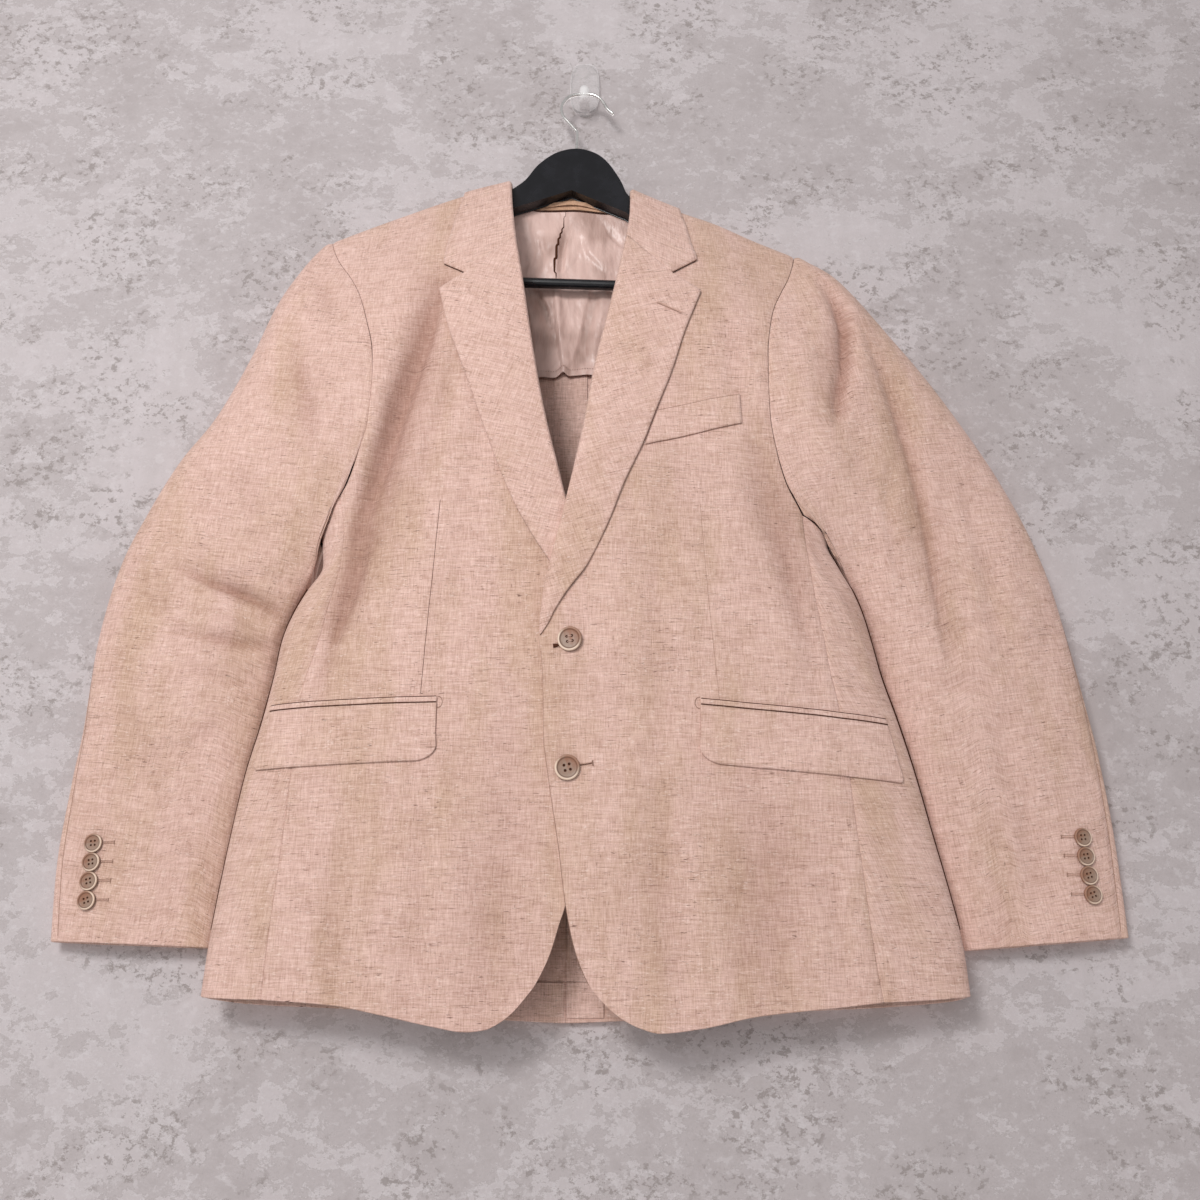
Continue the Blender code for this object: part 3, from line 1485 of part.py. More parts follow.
def wall_hook():
    """The clear plate, with a shelf and a lip that the wire hangs on."""
    corner = 6.0
    outline = []
    for cx, cz, start in (
        (PLATE_HALF_WIDTH - corner, PLATE_TOP - corner, 0),
        (-PLATE_HALF_WIDTH + corner, PLATE_TOP - corner, 90),
        (-PLATE_HALF_WIDTH + corner, PLATE_BOTTOM + corner, 180),
        (PLATE_HALF_WIDTH - corner, PLATE_BOTTOM + corner, 270),
    ):
        for n in range(4):
            angle = math.radians(start + 30 * n)
            outline.append(Corner(cx + corner * math.cos(angle), cz + corner * math.sin(angle)))
    plate = plate_between("wall_hook", outline, -PLATE_THICK, 0.0, "clear")
    half = 5.0
    lip = 3.5
    profile = [
        (-PLATE_THICK + 1.0, SHELF_Z), (SHELF_Y + lip, SHELF_Z), (SHELF_Y + lip, LIP_Z + 1),
        (SHELF_Y + lip - 1, LIP_Z), (SHELF_Y + 1, LIP_Z), (SHELF_Y, LIP_Z - 1),
        (SHELF_Y, SHELF_Z - SHELF_THICK + 4), (SHELF_Y + 4, SHELF_Z - SHELF_THICK),
        (-PLATE_THICK + 1.0, SHELF_Z - SHELF_THICK + 1.5),
    ]
    count = len(profile)
    points = [Vector((x, y, z)) for x in (-half, half) for y, z in profile]
    faces = [list(range(count)), list(range(2 * count - 1, count - 1, -1))]
    faces += [[i, (i + 1) % count, count + (i + 1) % count, count + i] for i in range(count)]
    shelf = finish_object(mesh_of("shelf", points, faces), "shelf", "clear")
    shelf.hide_render = True
    shelf.display_type = "WIRE"
    joined = plate.modifiers.new("shelf", "BOOLEAN")
    joined.operation = "UNION"
    joined.object = shelf
    return plate


# ---------------------------------------------------------------- all of it


def main():
    for old in list(bpy.data.objects):
        bpy.data.objects.remove(old)
    panels = {}
    for side_name in HALVES:
        for maker in (front_panel, side_panel, back_panel):
            panel = maker(side_name)
            panels[panel.name] = panel
    for side_name in HALVES:
        top, under = sleeve_panels(side_name, panels)
        panels[top.name], panels[under.name] = top, under
    pieces = list(panels.values())
    pieces += [lapel_panel(side_name) for side_name in HALVES]
    pieces.append(collar_panel())
    for side_name in HALVES:
        pieces += pocket_panels(side_name)
    pieces += [welt_panel(), vent_panel(), lining_panel(), neck_facing_panel(), loop_panel()]
    for panel in pieces:
        panel.build()
    front_buttons()
    for side_name in HALVES:
        cuff_buttons(side_name, panels[f"topsleeve_{side_name}"])
    hanger()
    trouser_bar()
    wire_hook()
    wall_hook()


main()
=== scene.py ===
"""A single breasted blazer hung on a moulded hanger, whose wire hook sits over a clear wall hook.

The wall is the plane y = 0, +Z is up and +X is the wearer's left. The tables are in millimetres and
the meshes are made in metres. A face of the jacket is a form that gives y from x and z, and every
cloth piece is a thin wall between two grids of points on such a form.
"""

import logging
import math
from dataclasses import dataclass, field
from enum import Enum
from typing import Callable, Sequence

import bpy
import numpy as np
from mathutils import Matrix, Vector

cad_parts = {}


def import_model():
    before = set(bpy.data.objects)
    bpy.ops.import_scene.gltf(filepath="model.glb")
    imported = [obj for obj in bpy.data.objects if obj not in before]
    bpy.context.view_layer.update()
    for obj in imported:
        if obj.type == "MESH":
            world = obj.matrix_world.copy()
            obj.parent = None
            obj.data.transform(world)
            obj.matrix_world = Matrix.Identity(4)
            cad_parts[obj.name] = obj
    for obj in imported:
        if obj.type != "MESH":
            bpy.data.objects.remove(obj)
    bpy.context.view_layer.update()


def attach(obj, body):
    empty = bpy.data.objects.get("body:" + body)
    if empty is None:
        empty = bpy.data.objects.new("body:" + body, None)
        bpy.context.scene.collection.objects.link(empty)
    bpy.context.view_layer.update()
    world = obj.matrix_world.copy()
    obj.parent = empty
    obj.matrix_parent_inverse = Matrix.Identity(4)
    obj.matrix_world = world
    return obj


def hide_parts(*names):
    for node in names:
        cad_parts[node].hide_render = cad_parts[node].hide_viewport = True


LOG = logging.getLogger("blazer")
MM = 0.001
Array = np.ndarray
Form = Callable[[Array, Array], Array]
Colour = tuple[float, float, float]
Finish = bpy.types.Material
Piece = bpy.types.Object
Socket = bpy.types.NodeSocket
AHEAD = np.array([0.0, -1.0, 0.0])


class Slot(Enum):
    """A kind of finish, passed along with the pieces but used by nothing."""

    LINEN = "linen"
    LINING = "lining"
    FACING = "facing"
    HORN = "horn"
    BLACK = "black"
    CHROME = "chrome"
    CLEAR = "clear"


class Edge(Enum):
    """An edge of a grid of points: the axis that it closes, and whether it is the last one along it."""

    BOTTOM = (0, False)
    FIRST = (1, False)
    LAST = (1, True)


# ---------------------------------------------------------------- numbers and curves


def mix(a: Array, b: Array, share: Array) -> Array:
    """A value between two others."""
    return a + (b - a) * share


def eased(share: Array) -> Array:
    """0 to 1 with level ends."""
    share = np.clip(share, 0.0, 1.0)
    return share * share * (3 - 2 * share)


def unit(vectors: Array) -> Array:
    """Vectors with a length of one."""
    return vectors / np.maximum(np.linalg.norm(vectors, axis=-1, keepdims=True), 1e-9)


def steady_tangents(values: Array, steps: Array) -> Array:
    """Tangents of a curve that never swings past its points.

    Args:
        values: The points, along the first axis.
        steps: The distance from each key to the next, shaped to divide the values.

    Returns:
        A tangent for each point.
    """
    slope = np.diff(values, axis=0) / steps
    tangent = np.empty_like(values)
    tangent[0], tangent[-1] = slope[0], slope[-1]
    before, after = slope[:-1], slope[1:]
    total = np.where(before * after > 0, before + after, 1.0)
    tangent[1:-1] = np.where(before * after > 0, 2 * before * after / total, 0.0)
    return tangent


def hermite(low: Array, high: Array, out: Array, into: Array, share: Array) -> Array:
    """A cubic between two points, with the tangents that leave and reach them.

    Args:
        low: Where the cubic starts.
        high: Where it ends.
        out: The tangent that leaves its start.
        into: The tangent that reaches its end.
        share: How far along it to look, from 0 to 1.

    Returns:
        The points.
    """
    s2, s3 = share**2, share**3
    ends = (2 * s3 - 3 * s2 + 1) * low + (s3 - 2 * s2 + share) * out
    return ends + (3 * s2 - 2 * s3) * high + (s3 - s2) * into


class Curve:
    """A smooth curve through the rows of a table."""

    def __init__(self, keys: Sequence[float], values: Sequence[float]) -> None:
        """Sort the rows by key and find the curve's tangents.

        Args:
            keys: What the curve is read by.
            values: A number or a row of numbers for each key.
        """
        order = np.argsort(np.asarray(keys, float), kind="stable")
        self.keys = np.asarray(keys, float)[order]
        self.values = np.asarray(values, float)[order]
        self.tangents = steady_tangents(self.values, np.diff(self.keys))

    def __call__(self, key: Array) -> Array:
        """The value at each key.

        Args:
            key: Where to read it, held to its ends.

        Returns:
            The values.
        """
        key = np.clip(np.asarray(key, float), self.keys[0], self.keys[-1])
        i = np.clip(np.searchsorted(self.keys, key, side="right") - 1, 0, len(self.keys) - 2)
        step = self.keys[i + 1] - self.keys[i]
        low, high = self.values[i], self.values[i + 1]
        return hermite(low, high, self.tangents[i] * step, self.tangents[i + 1] * step, (key - self.keys[i]) / step)


def table_curve(rows: Sequence[Sequence[float]], key: int = 0, value: int = 1) -> Curve:
    """A curve that reads one column of a table by another."""
    return Curve([row[key] for row in rows], [row[value] for row in rows])


def refined(values: Array, at: Array, axis: int = 0) -> Array:
    """Rows read at fractional places, on a curve that never swings past them.

    Args:
        values: The rows, evenly spaced along one axis.
        at: The fractional places.
        axis: The axis that the rows run along.

    Returns:
        The values at the places, along the same axis.
    """
    rows = np.moveaxis(np.asarray(values, float), axis, 0)
    tangent = steady_tangents(rows, np.float64(1.0))
    i = np.clip(np.asarray(at).astype(int), 0, len(rows) - 2)
    share = (np.asarray(at, float) - i).reshape((-1,) + (1,) * (rows.ndim - 1))
    made = hermite(rows[i], rows[i + 1], tangent[i], tangent[i + 1], share)
    return np.moveaxis(made, 0, axis)


def stepped(values: Sequence[float], at: Array) -> Array:
    """Values read at fractional places on straight lines between them."""
    return np.interp(at, np.arange(len(values)), values)


def way_along(points: Array) -> Array:
    """The way along a line of points to each of them."""
    return np.concatenate([[0], np.cumsum(np.linalg.norm(np.diff(points, axis=0), axis=1))])


def paired(a: Array, b: Array) -> Sequence[Array]:
    """Two arrays of numbers, spread to one shape."""
    return np.broadcast_arrays(np.asarray(a, float), np.asarray(b, float))


# ---------------------------------------------------------------- the jacket's tables

LEVELS = (  # z, half width to the wearer's right and left, y of the chest and of the side
    (-945, 284, 313, -60, -32), (-912, 281, 311, -62, -33), (-879, 279, 309, -65, -34),
    (-835, 274, 301, -70, -37), (-790, 268, 291, -75, -40), (-740, 260, 280, -80, -43),
    (-700, 251, 270, -83, -44), (-660, 244, 259, -85, -45), (-630, 240, 253, -86, -46),
    (-608, 233, 248, -87, -46), (-587, 223, 241, -87, -46), (-565, 211, 230, -88, -46),
    (-545, 213, 222, -88, -46), (-525, 215, 222, -88, -45), (-500, 224, 232, -88, -44),
    (-470, 252, 262, -88, -42), (-440, 292, 292, -87, -40), (-400, 322, 318, -86, -36),
    (-360, 335, 330, -86, -32), (-300, 335, 335, -85, -28), (-130, 335, 335, -84, -24.5),
)
RIDGE = table_curve((
    (-270, -229), (-243, -217), (-177, -188), (-113, -162), (-75, -150.5), (-40, -141), (-11, -139),
    (18, -144), (52, -162), (93, -182), (127, -196), (165, -216), (203, -234), (230, -247),
))
NECK = table_curve(((-75, -150.5), (-64, -160.5), (-45, -170), (-11, -175.5), (22, -173.5), (41, -168.5), (52, -162)))
WIDTH_RIGHT, WIDTH_LEFT, CHEST_Y, SIDE_Y = (table_curve(LEVELS, 0, n) for n in (1, 2, 3, 4))
COLLAR_EDGE = table_curve((
    (-107, -174.3), (-92, -187), (-67, -197), (-40, -201.5), (-11, -204), (20, -205.5), (45, -205),
    (70, -200.5), (85, -192.6),
))

LOW_ROWS = (0, 0.03, 0.07, 0.12, 0.19, 0.27, 0.37, 0.47, 0.57, 0.68, 0.79, 0.9, 1.0)
ARMHOLE_ROWS = 9
RIDGE_DROPS = (14.0, 7.5, 2.2, 0.0)
NECK_DROPS = (19.0, 10.0, 4.0, 0.0)
HEM_COLUMNS = (0, 0.04, 0.09, 0.15, 0.22, 0.34, 0.5, 0.67, 0.84, 1.0)
TOP_COLUMNS = (0, 0.1, 0.2, 0.31, 0.42, 0.54, 0.66, 0.78, 0.89, 1.0)
BACK_NECK_COLUMNS = (0, 0.35, 0.66, 0.87, 0.965)
FOOT, RIDGE_ROW, LAST_ROW, SIDE_COLUMNS = 12, 21, 24, 6
FINE = 10  # rows and columns drawn for each one of the solids
SLEEVE_FINE = 5
BACK_SEAM_X, HEM_BACK_Z, VENT_TOP = -11.0, -931.0, -712.0
CLOTH, SLEEVE_CLOTH, LINING, SEAM = 2.0, 1.7, 1.0, 0.42
ROLL_BACK, LEAF, LEAF_EDGE, ON_FRONT, KNEE = 3.0, 3.5, 3.2, 0.75, 0.63
LEAF_STEPS = (0.3, 0.65, 1.0)
COLLAR_ROWS = (0, 1, 2, 3, 3.45, 3.9, 4.25, 4.6, 5, 5.35, 5.7, 6.05, 6.5, 7, 7.5, 8, 8.5, 9)


class Arm(Enum):
    """A half of the jacket, by the wearer's own side."""

    LEFT = 1
    RIGHT = -1

    @property
    def word(self) -> str:
        """The half's name in a piece's name."""
        return self.name.lower()


@dataclass(frozen=True)
class Half:
    """The cutting tables of one half of the jacket, as rows of z and x, or x and z for a hem."""

    arm: Arm
    edge: tuple
    roll: tuple
    lapel: tuple
    seam: tuple
    armhole: tuple
    back_seam: tuple
    back_armhole: tuple
    hem: tuple
    underarm: tuple
    side_hem: tuple
    neck_x: float
    notch: tuple
    gorge_z: float
    collar: tuple
    collar_seam: tuple
    flap: tuple
    pocket_end: float
    rings: tuple
    turn_in: tuple = (-40.0, 0.0)

    @property
    def sign(self) -> int:
        """1 on the wearer's left and -1 on the right."""
        return self.arm.value

    def sleeve_rings(self) -> list[tuple]:
        """The sleeve's rings: x, z and y at the outer edge and the inner one, the depth and the share kept.

        Returns:
            A row for each ring, from the armhole to the cuff.
        """
        return [
            (outer_x, outer_z, outer_y, inner_x, inner_z, inner_y, deep, kept)
            for (outer_x, outer_z, inner_x, inner_z), (outer_y, inner_y, deep, kept) in zip(self.rings, RING_DEPTHS)
        ]

    def inner_edge(self, z: Array) -> Array:
        """x of the front's inner edge: the free edge, then just behind the lapel's roll.

        Args:
            z: The heights, in millimetres.

        Returns:
            The places across, in millimetres.
        """
        z = np.asarray(z, float)
        edge, roll = table_curve(self.edge), table_curve(self.roll)
        break_z, top_z = self.edge[-1][0], float(RIDGE(self.neck_x))
        start, end = (break_z + way for way in self.turn_in)
        behind = roll(np.maximum(z, break_z)) + self.sign * ROLL_BACK
        turned = mix(edge(np.minimum(z, break_z)), behind, eased((z - start) / (end - start)))
        return mix(turned, self.neck_x, eased((z + 215) / (top_z + 215)))

    def outer_edge(self, z: Array, back: bool = False) -> Array:
        """x of a panel's outer edge: its side seam, then the armhole."""
        seam, hole = (self.back_seam, self.back_armhole) if back else (self.seam, self.armhole)
        return np.where(np.asarray(z) <= seam[-1][0], table_curve(seam)(z), table_curve(hole)(z))


LEFT_HALF = Half(
    arm=Arm.LEFT,
    edge=((-914, 15), (-905, 8), (-879, -3), (-846, -10), (-808, -15), (-770, -21), (-747, -24.5), (-720, -28),
          (-677, -29), (-655, -30.5), (-640, -33)),
    turn_in=(0.0, 20.0),
    roll=((-640, -33), (-609, -31), (-575, -25), (-531, -15), (-468, -2), (-392, 10), (-299, 30), (-241, 40),
          (-221, 42.8), (-200, 44.4), (-185, 45)),
    lapel=((-640, -32.8), (-633, -29), (-619, -21.5), (-602, -11.5), (-578, 5.5), (-540, 23), (-504, 36),
           (-467, 52), (-432, 64), (-394, 78), (-355, 90), (-324, 101), (-307, 107)),
    seam=((-917, 230), (-897, 227), (-849, 222), (-805, 218), (-685, 207), (-664, 203), (-631, 199),
          (-594, 194), (-523, 189)),
    armhole=((-523, 189), (-495, 175), (-467, 168), (-432, 164), (-405, 164), (-371, 165), (-344, 168.5),
             (-319, 174), (-296, 183), (-275, 192), (-252, 199), (-234, 203)),
    back_seam=((-921, 208), (-750, 190), (-600, 181), (-485, 170)),
    back_armhole=((-485, 170), (-440, 168), (-380, 170), (-320, 176), (-272, 189), (-234, 203)),
    hem=((15, -914), (23, -922), (34, -930), (46, -935.5), (60, -939), (90, -936), (135, -927), (203, -920),
         (230, -917)),
    underarm=(-523, -532, -540, -545, -536, -515, -485),
    side_hem=(-917, -915, -913, -912, -915, -918, -921),
    neck_x=52.0,
    notch=(81, -287.5),
    gorge_z=-241.0,
    collar=((40, -93, 79, -120), (42.3, -76, 105, -87), (44.3, -52, 101, -67), (45, -30, 97, -40),
            (45.2, -12, 93, -20), (45, 0, 90, 0), (42, 9, 85, 22), (33, 13, 70, 39), (16, 17, 45, 54),
            (-11, 18, -11, 70)),
    collar_seam=(51.2, 45.5, 33, 15.5, -11),
    flap=((96, -693.5), (257, -705.5), (257, -752), (95.5, -739)),
    pocket_end=0.38,
    rings=(
        (203, -234, 212, -545), (208, -236.5, 214, -548), (216, -243, 217, -552), (235, -259, 220.5, -558),
        (258, -287, 225, -567), (285, -327, 231, -578), (312, -370, 236, -594), (341, -421, 241, -614),
        (369, -474, 248, -642), (390, -523, 255.5, -672), (405, -570, 263.5, -705), (415, -617, 272, -740),
        (424, -672, 279.5, -772), (432, -728, 287.5, -803), (437, -800, 298, -840), (438, -867, 306, -877),
    ),
)
RIGHT_HALF = Half(
    arm=Arm.RIGHT,
    edge=((-914, -40), (-905, -33), (-883, -22), (-861, -15), (-846, -10), (-808, -2), (-770, 4), (-739, 9),
          (-690, 13), (-627, 14)),
    roll=((-627, 14), (-612, 12), (-570, 3), (-513, -13), (-484, -20), (-441, -30), (-387, -40), (-281, -56),
          (-245, -61.5), (-208, -66), (-185, -68.5)),
    lapel=((-627, 14), (-606, 0), (-567, -29), (-519, -56), (-463, -78), (-399, -100), (-344, -119),
           (-304, -129)),
    seam=((-915, -240), (-872, -238), (-825, -234), (-747, -229), (-685, -226), (-628, -213), (-544, -201),
          (-506, -207)),
    armhole=((-506, -207), (-497, -201), (-471, -192), (-438, -185), (-403, -184), (-369, -186), (-335, -194),
             (-303, -204), (-280, -215), (-254, -230), (-232, -239), (-217, -243)),
    back_seam=((-919, -215), (-750, -200), (-600, -190), (-470, -198)),
    back_armhole=((-470, -198), (-430, -197), (-370, -200), (-310, -208), (-260, -224), (-217, -243)),
    hem=((-240, -915), (-186, -919), (-148, -926), (-110, -934), (-84, -938), (-70, -936.5), (-58, -931),
         (-48, -923), (-40, -914)),
    underarm=(-506, -520, -533, -543, -528, -502, -470),
    side_hem=(-915, -914, -913, -912, -914, -917, -919),
    neck_x=-75.0,
    notch=(-104, -287),
    gorge_z=-245.0,
    collar=((-61.5, -106, -104, -139), (-63.8, -88, -127, -114.5), (-66.4, -64, -124, -84),
            (-68.5, -40, -120, -52), (-70, -17, -116, -27), (-70.5, 0, -113, 0), (-67, 9, -107, 22),
            (-57, 13, -92, 40), (-38, 17, -67, 55), (-11, 18, -11, 70)),
    collar_seam=(-74.2, -67.5, -55, -37.5, -11),
    flap=((-114, -691.5), (-262, -694), (-262, -741.5), (-114, -737)),
    pocket_end=0.32,
    rings=(
        (-243, -217, -223, -543), (-248.5, -221.5, -224.5, -546), (-255, -231, -227, -550),
        (-269, -257, -230, -557), (-286, -291, -231.5, -567), (-304, -345, -234, -581),
        (-331, -414, -243, -602), (-358, -458, -250, -624), (-381, -507, -254.5, -650),
        (-398, -550, -259.5, -680), (-408, -594, -265.5, -712), (-414, -642, -272.5, -745),
        (-416, -695, -277.5, -775), (-421, -745, -282, -805), (-425, -808, -286.5, -838),
        (-422, -870, -290.5, -875),
    ),
)
HALVES = (LEFT_HALF, RIGHT_HALF)
RING_DEPTHS = (  # y at the outer and the inner edge, the depth, and how much of the armhole's own shape is kept
    (-24.5, -46, 33, 1.0), (-24.5, -45.5, 33, 0.98), (-27, -45, 33, 0.92), (-32, -43, 33, 0.78),
    (-36, -40, 32, 0.60), (-38, -34, 31, 0.38), (-40, -28, 30, 0.20), (-39, -27, 29, 0.08),
    (-36, -25, 27, 0.0), (-34, -23, 25, 0.0), (-31, -22, 23, 0.0), (-28, -20, 20, 0.0),
    (-24, -18, 17, 0.0), (-20, -16, 14, 0.0), (-16, -14, 11, 0.0), (-13, -13, 9.5, 0.0),
)
HIND_SEAM = Curve(range(16), (-56, -53, -50, -44, -38, -32, -26, -20, -14, -8, 0, 8, 14, 20, 24, 27))

# ---------------------------------------------------------------- folds


@dataclass(frozen=True)
class Crease:
    """A soft trough along a line of x and z. A negative depth makes it a ridge.

    The bank raises the cloth beside it. The lean makes it steep on one side and broad on the
    other: on the right of a line that runs down where the lean is positive.
    """

    line: tuple
    depth: float
    width: float
    bank: float = 0.0
    lean: float = 0.0

    def push(self, x: Array, z: Array) -> Array:
        """How far the crease pushes the cloth in at each place, in millimetres.

        Args:
            x: The places across, in millimetres.
            z: The heights, in millimetres.

        Returns:
            The push, positive inwards.
        """
        nearest, along = np.full(np.shape(x), 1e9), np.zeros(np.shape(x))
        side = np.zeros(np.shape(x))
        count = len(self.line) - 1
        for n in range(count):
            (ax, az), (bx, bz) = self.line[n], self.line[n + 1]
            dx, dz = bx - ax, bz - az
            t = np.clip(((x - ax) * dx + (z - az) * dz) / (dx * dx + dz * dz), 0, 1)
            away = np.hypot(x - ax - t * dx, z - az - t * dz)
            along = np.where(away < nearest, (n + t) / count, along)
            offset = (dx * (z - az) - dz * (x - ax)) / math.hypot(dx, dz)
            side = np.where(away < nearest, offset, side)
            nearest = np.minimum(nearest, away)
        fade = np.sin(math.pi * mix(0.12, 0.88, along))
        square = (nearest / (self.width * (1 + self.lean * np.tanh(side / self.width * 2)))) ** 2
        return self.depth * fade * (1 - self.bank * square) * np.exp(-square)


@dataclass(frozen=True)
class Ripple:
    """Gentle unevenness of hung cloth, longer down the cloth than across it."""

    seed: int
    height: float
    waves: tuple = (24.0, 37.0, 58.0, 90.0)

    def push(self, x: Array, z: Array) -> Array:
        """How far the cloth lies in or out at each place, in millimetres.

        Args:
            x: The places across, in millimetres.
            z: The heights, in millimetres.

        Returns:
            The push, positive inwards.
        """
        rng = np.random.default_rng(self.seed)
        total = np.zeros(np.shape(x))
        for wave in self.waves:
            for _ in range(3):
                turn, start = rng.uniform(0, math.pi), rng.uniform(0, 2 * math.pi)
                way = x * math.cos(turn) + 0.55 * z * math.sin(turn)
                total += wave / 90 * np.sin(way * 2 * math.pi / wave + start)
        return total * self.height


def pushed(folds: Sequence[Crease | Ripple], x: Array, z: Array) -> Array:
    """The push of several folds together.

    Args:
        folds: The folds.
        x: The places across, in millimetres.
        z: The heights, in millimetres.

    Returns:
        The push, positive inwards, in millimetres.
    """
    total = np.zeros(np.shape(x))
    for fold in folds:
        total = total + fold.push(x, z)
    return total


FRONT_FOLDS = (
    Crease(((-131, -285), (-160, -450), (-197, -615)), 8.0, 19.0),
    Crease(((-172, -330), (-186, -440), (-222, -600)), -3.5, 15.0),
    Crease(((150, -470), (172, -540), (190, -620)), 4.5, 17.0),
    Crease(((-60, -700), (-66, -830), (-74, -938)), 3.0, 26.0),
    Crease(((130, -740), (142, -840), (150, -925)), 3.5, 30.0),
)
BACK_FOLDS = (
    Crease(((-150, -420), (-120, -560), (-110, -700)), 2.6, 22.0),
    Crease(((135, -430), (110, -580), (104, -720)), 2.6, 22.0),
)
SLEEVE_FOLDS = (
    Crease(((-250, -252), (-243, -285), (-221, -325)), 9.0, 12.0),
    Crease(((-264, -333), (-250, -385), (-237, -445)), 4.0, 12.0),
    Crease(((-318, -573), (-283, -592), (-246, -611)), 5.0, 10.0),
    Crease(((-318, -628), (-283, -632), (-249, -632)), 3.0, 10.0),
    Crease(((226, -258), (236, -325), (220, -425)), 7.5, 12.0),
    Crease(((262, -318), (280, -435), (311, -647)), 4.5, 13.0),
)
# The finer folds, which the solids leave out.
FRONT_CREASES = (
    Crease(((-126, -300), (-138, -357), (-155, -416), (-168, -474), (-187, -533), (-187, -574),
            (-202, -634)), 7.4, 11.0, 0.5, -0.35),
    Crease(((-105, -330), (-118, -400), (-133, -470), (-146, -540)), 2.0, 9.0, 0.5, 0.3),
    Crease(((-175, -535), (-192, -606), (-205, -649), (-212, -685)), 3.6, 7.0, 0.5, 0.4),
    Crease(((-84, -400), (-92, -470), (-100, -540), (-102, -600)), 1.3, 12.0, 0.4),
    Crease(((192, -505), (192, -539), (206, -576), (225, -601), (237, -629), (247, -684)), 3.0, 9.0, 0.5, 0.4),
    Crease(((150, -500), (168, -560), (186, -640), (190, -690)), 2.4, 10.0, 0.5, -0.3),
    Crease(((62, -560), (58, -620), (63, -690), (60, -760)), 1.2, 14.0, 0.4),
    Crease(((128, -350), (133, -400), (150, -470)), 1.6, 12.0, 0.4, 0.3),
    Crease(((-180, -760), (-188, -830), (-190, -912)), 2.0, 14.0, 0.4),
    Crease(((-120, -770), (-126, -850), (-134, -930)), 1.4, 12.0, 0.4, 0.3),
    Crease(((60, -760), (64, -840), (72, -930)), 1.6, 16.0, 0.4),
    Crease(((190, -770), (196, -840), (203, -915)), 1.6, 12.0, 0.4, -0.3),
    Ripple(11, 0.24),
)
BACK_CREASES = (
    Crease(((-160, -330), (-150, -420), (-128, -520), (-118, -640)), 2.2, 9.0, 0.5, 0.3),
    Crease(((140, -330), (130, -430), (112, -540), (106, -650)), 2.2, 9.0, 0.5, -0.3),
    Crease(((-190, -470), (-165, -520), (-120, -555)), 2.4, 8.0, 0.5, 0.3),
    Crease(((165, -480), (140, -530), (100, -570)), 2.4, 8.0, 0.5, -0.3),
    Crease(((-80, -600), (-20, -612), (60, -604)), 1.0, 12.0, 0.4),
    Ripple(23, 0.26),
)
SLEEVE_CREASES = (
    Crease(((-223, -291), (-210, -297)), 2.0, 8.0, 0.3),
    Crease(((-246, -272), (-231, -307), (-212, -335)), 3.2, 7.0, 0.6, -0.4),
    Crease(((-255, -359), (-240, -414), (-232, -451)), 3.0, 7.0, 0.6, -0.4),
    Crease(((-345, -566), (-318, -580), (-283, -592), (-240, -614)), 5.6, 4.4, 0.6, 0.5),
    Crease(((-300, -574), (-270, -576), (-238, -582)), 2.2, 4.5, 0.5, 0.5),
    Crease(((-352, -622), (-310, -628), (-270, -634), (-242, -633)), 3.4, 5.0, 0.6, 0.5),
    Crease(((-330, -655), (-290, -664), (-262, -660)), 2.0, 7.0, 0.5, 0.4),
    Crease(((-395, -560), (-360, -600), (-330, -622)), 1.8, 9.0, 0.5, 0.3),
    Crease(((-300, -440), (-290, -500), (-262, -560)), 1.6, 12.0, 0.4, 0.3),
    Crease(((-380, -690), (-340, -760), (-330, -840)), 1.6, 12.0, 0.4, 0.3),
    Crease(((-290, -690), (-320, -716), (-360, -720)), 1.5, 8.0, 0.5, 0.4),
    Crease(((212, -268), (226, -300), (235, -335), (232, -378), (219, -432)), 9.0, 7.0, 0.45, 0.68),
    Crease(((220, -272), (230, -300), (237, -335), (234, -378), (222, -428)), 5.5, 4.2, 0.5, 0.3),
    Crease(((206, -287), (196, -321)), 1.6, 5.0, 0.5),
    Crease(((204, -330), (208, -380), (204, -430)), 1.8, 9.0, 0.5, 0.3),
    Crease(((252, -330), (271, -403), (284, -463), (292, -506), (297, -552), (302, -606), (306, -642)),
           3.4, 5.0, 0.5, 0.55),
    Crease(((181, -477), (211, -533), (223, -558), (227, -587)), 1.2, 6.0, 0.4),
    Crease(((268, -470), (262, -520), (270, -580)), 1.6, 8.0, 0.5, 0.3),
    Crease(((330, -480), (345, -580), (352, -650)), 1.8, 11.0, 0.4, 0.3),
    Crease(((270, -655), (305, -668), (345, -664)), 2.4, 7.0, 0.5, 0.4),
    Crease(((285, -610), (315, -622), (350, -612)), 1.8, 6.0, 0.5, 0.4),
    Crease(((340, -700), (360, -780), (366, -850)), 1.6, 12.0, 0.4, 0.3),
    Ripple(31, 0.3),
)
UNDERSLEEVE_CREASES = (
    Crease(((-390, -560), (-330, -600), (-270, -640)), 2.4, 9.0, 0.5),
    Crease(((-395, -640), (-340, -650), (-290, -690)), 2.0, 8.0, 0.5),
    Crease(((-300, -370), (-280, -440), (-262, -520)), 2.2, 12.0, 0.4),
    Crease(((385, -560), (330, -600), (275, -640)), 2.4, 9.0, 0.5),
    Crease(((395, -640), (345, -655), (296, -700)), 2.0, 8.0, 0.5),
    Crease(((285, -370), (268, -440), (255, -520)), 2.2, 12.0, 0.4),
    Ripple(47, 0.25),
)

# ---------------------------------------------------------------- the body's form


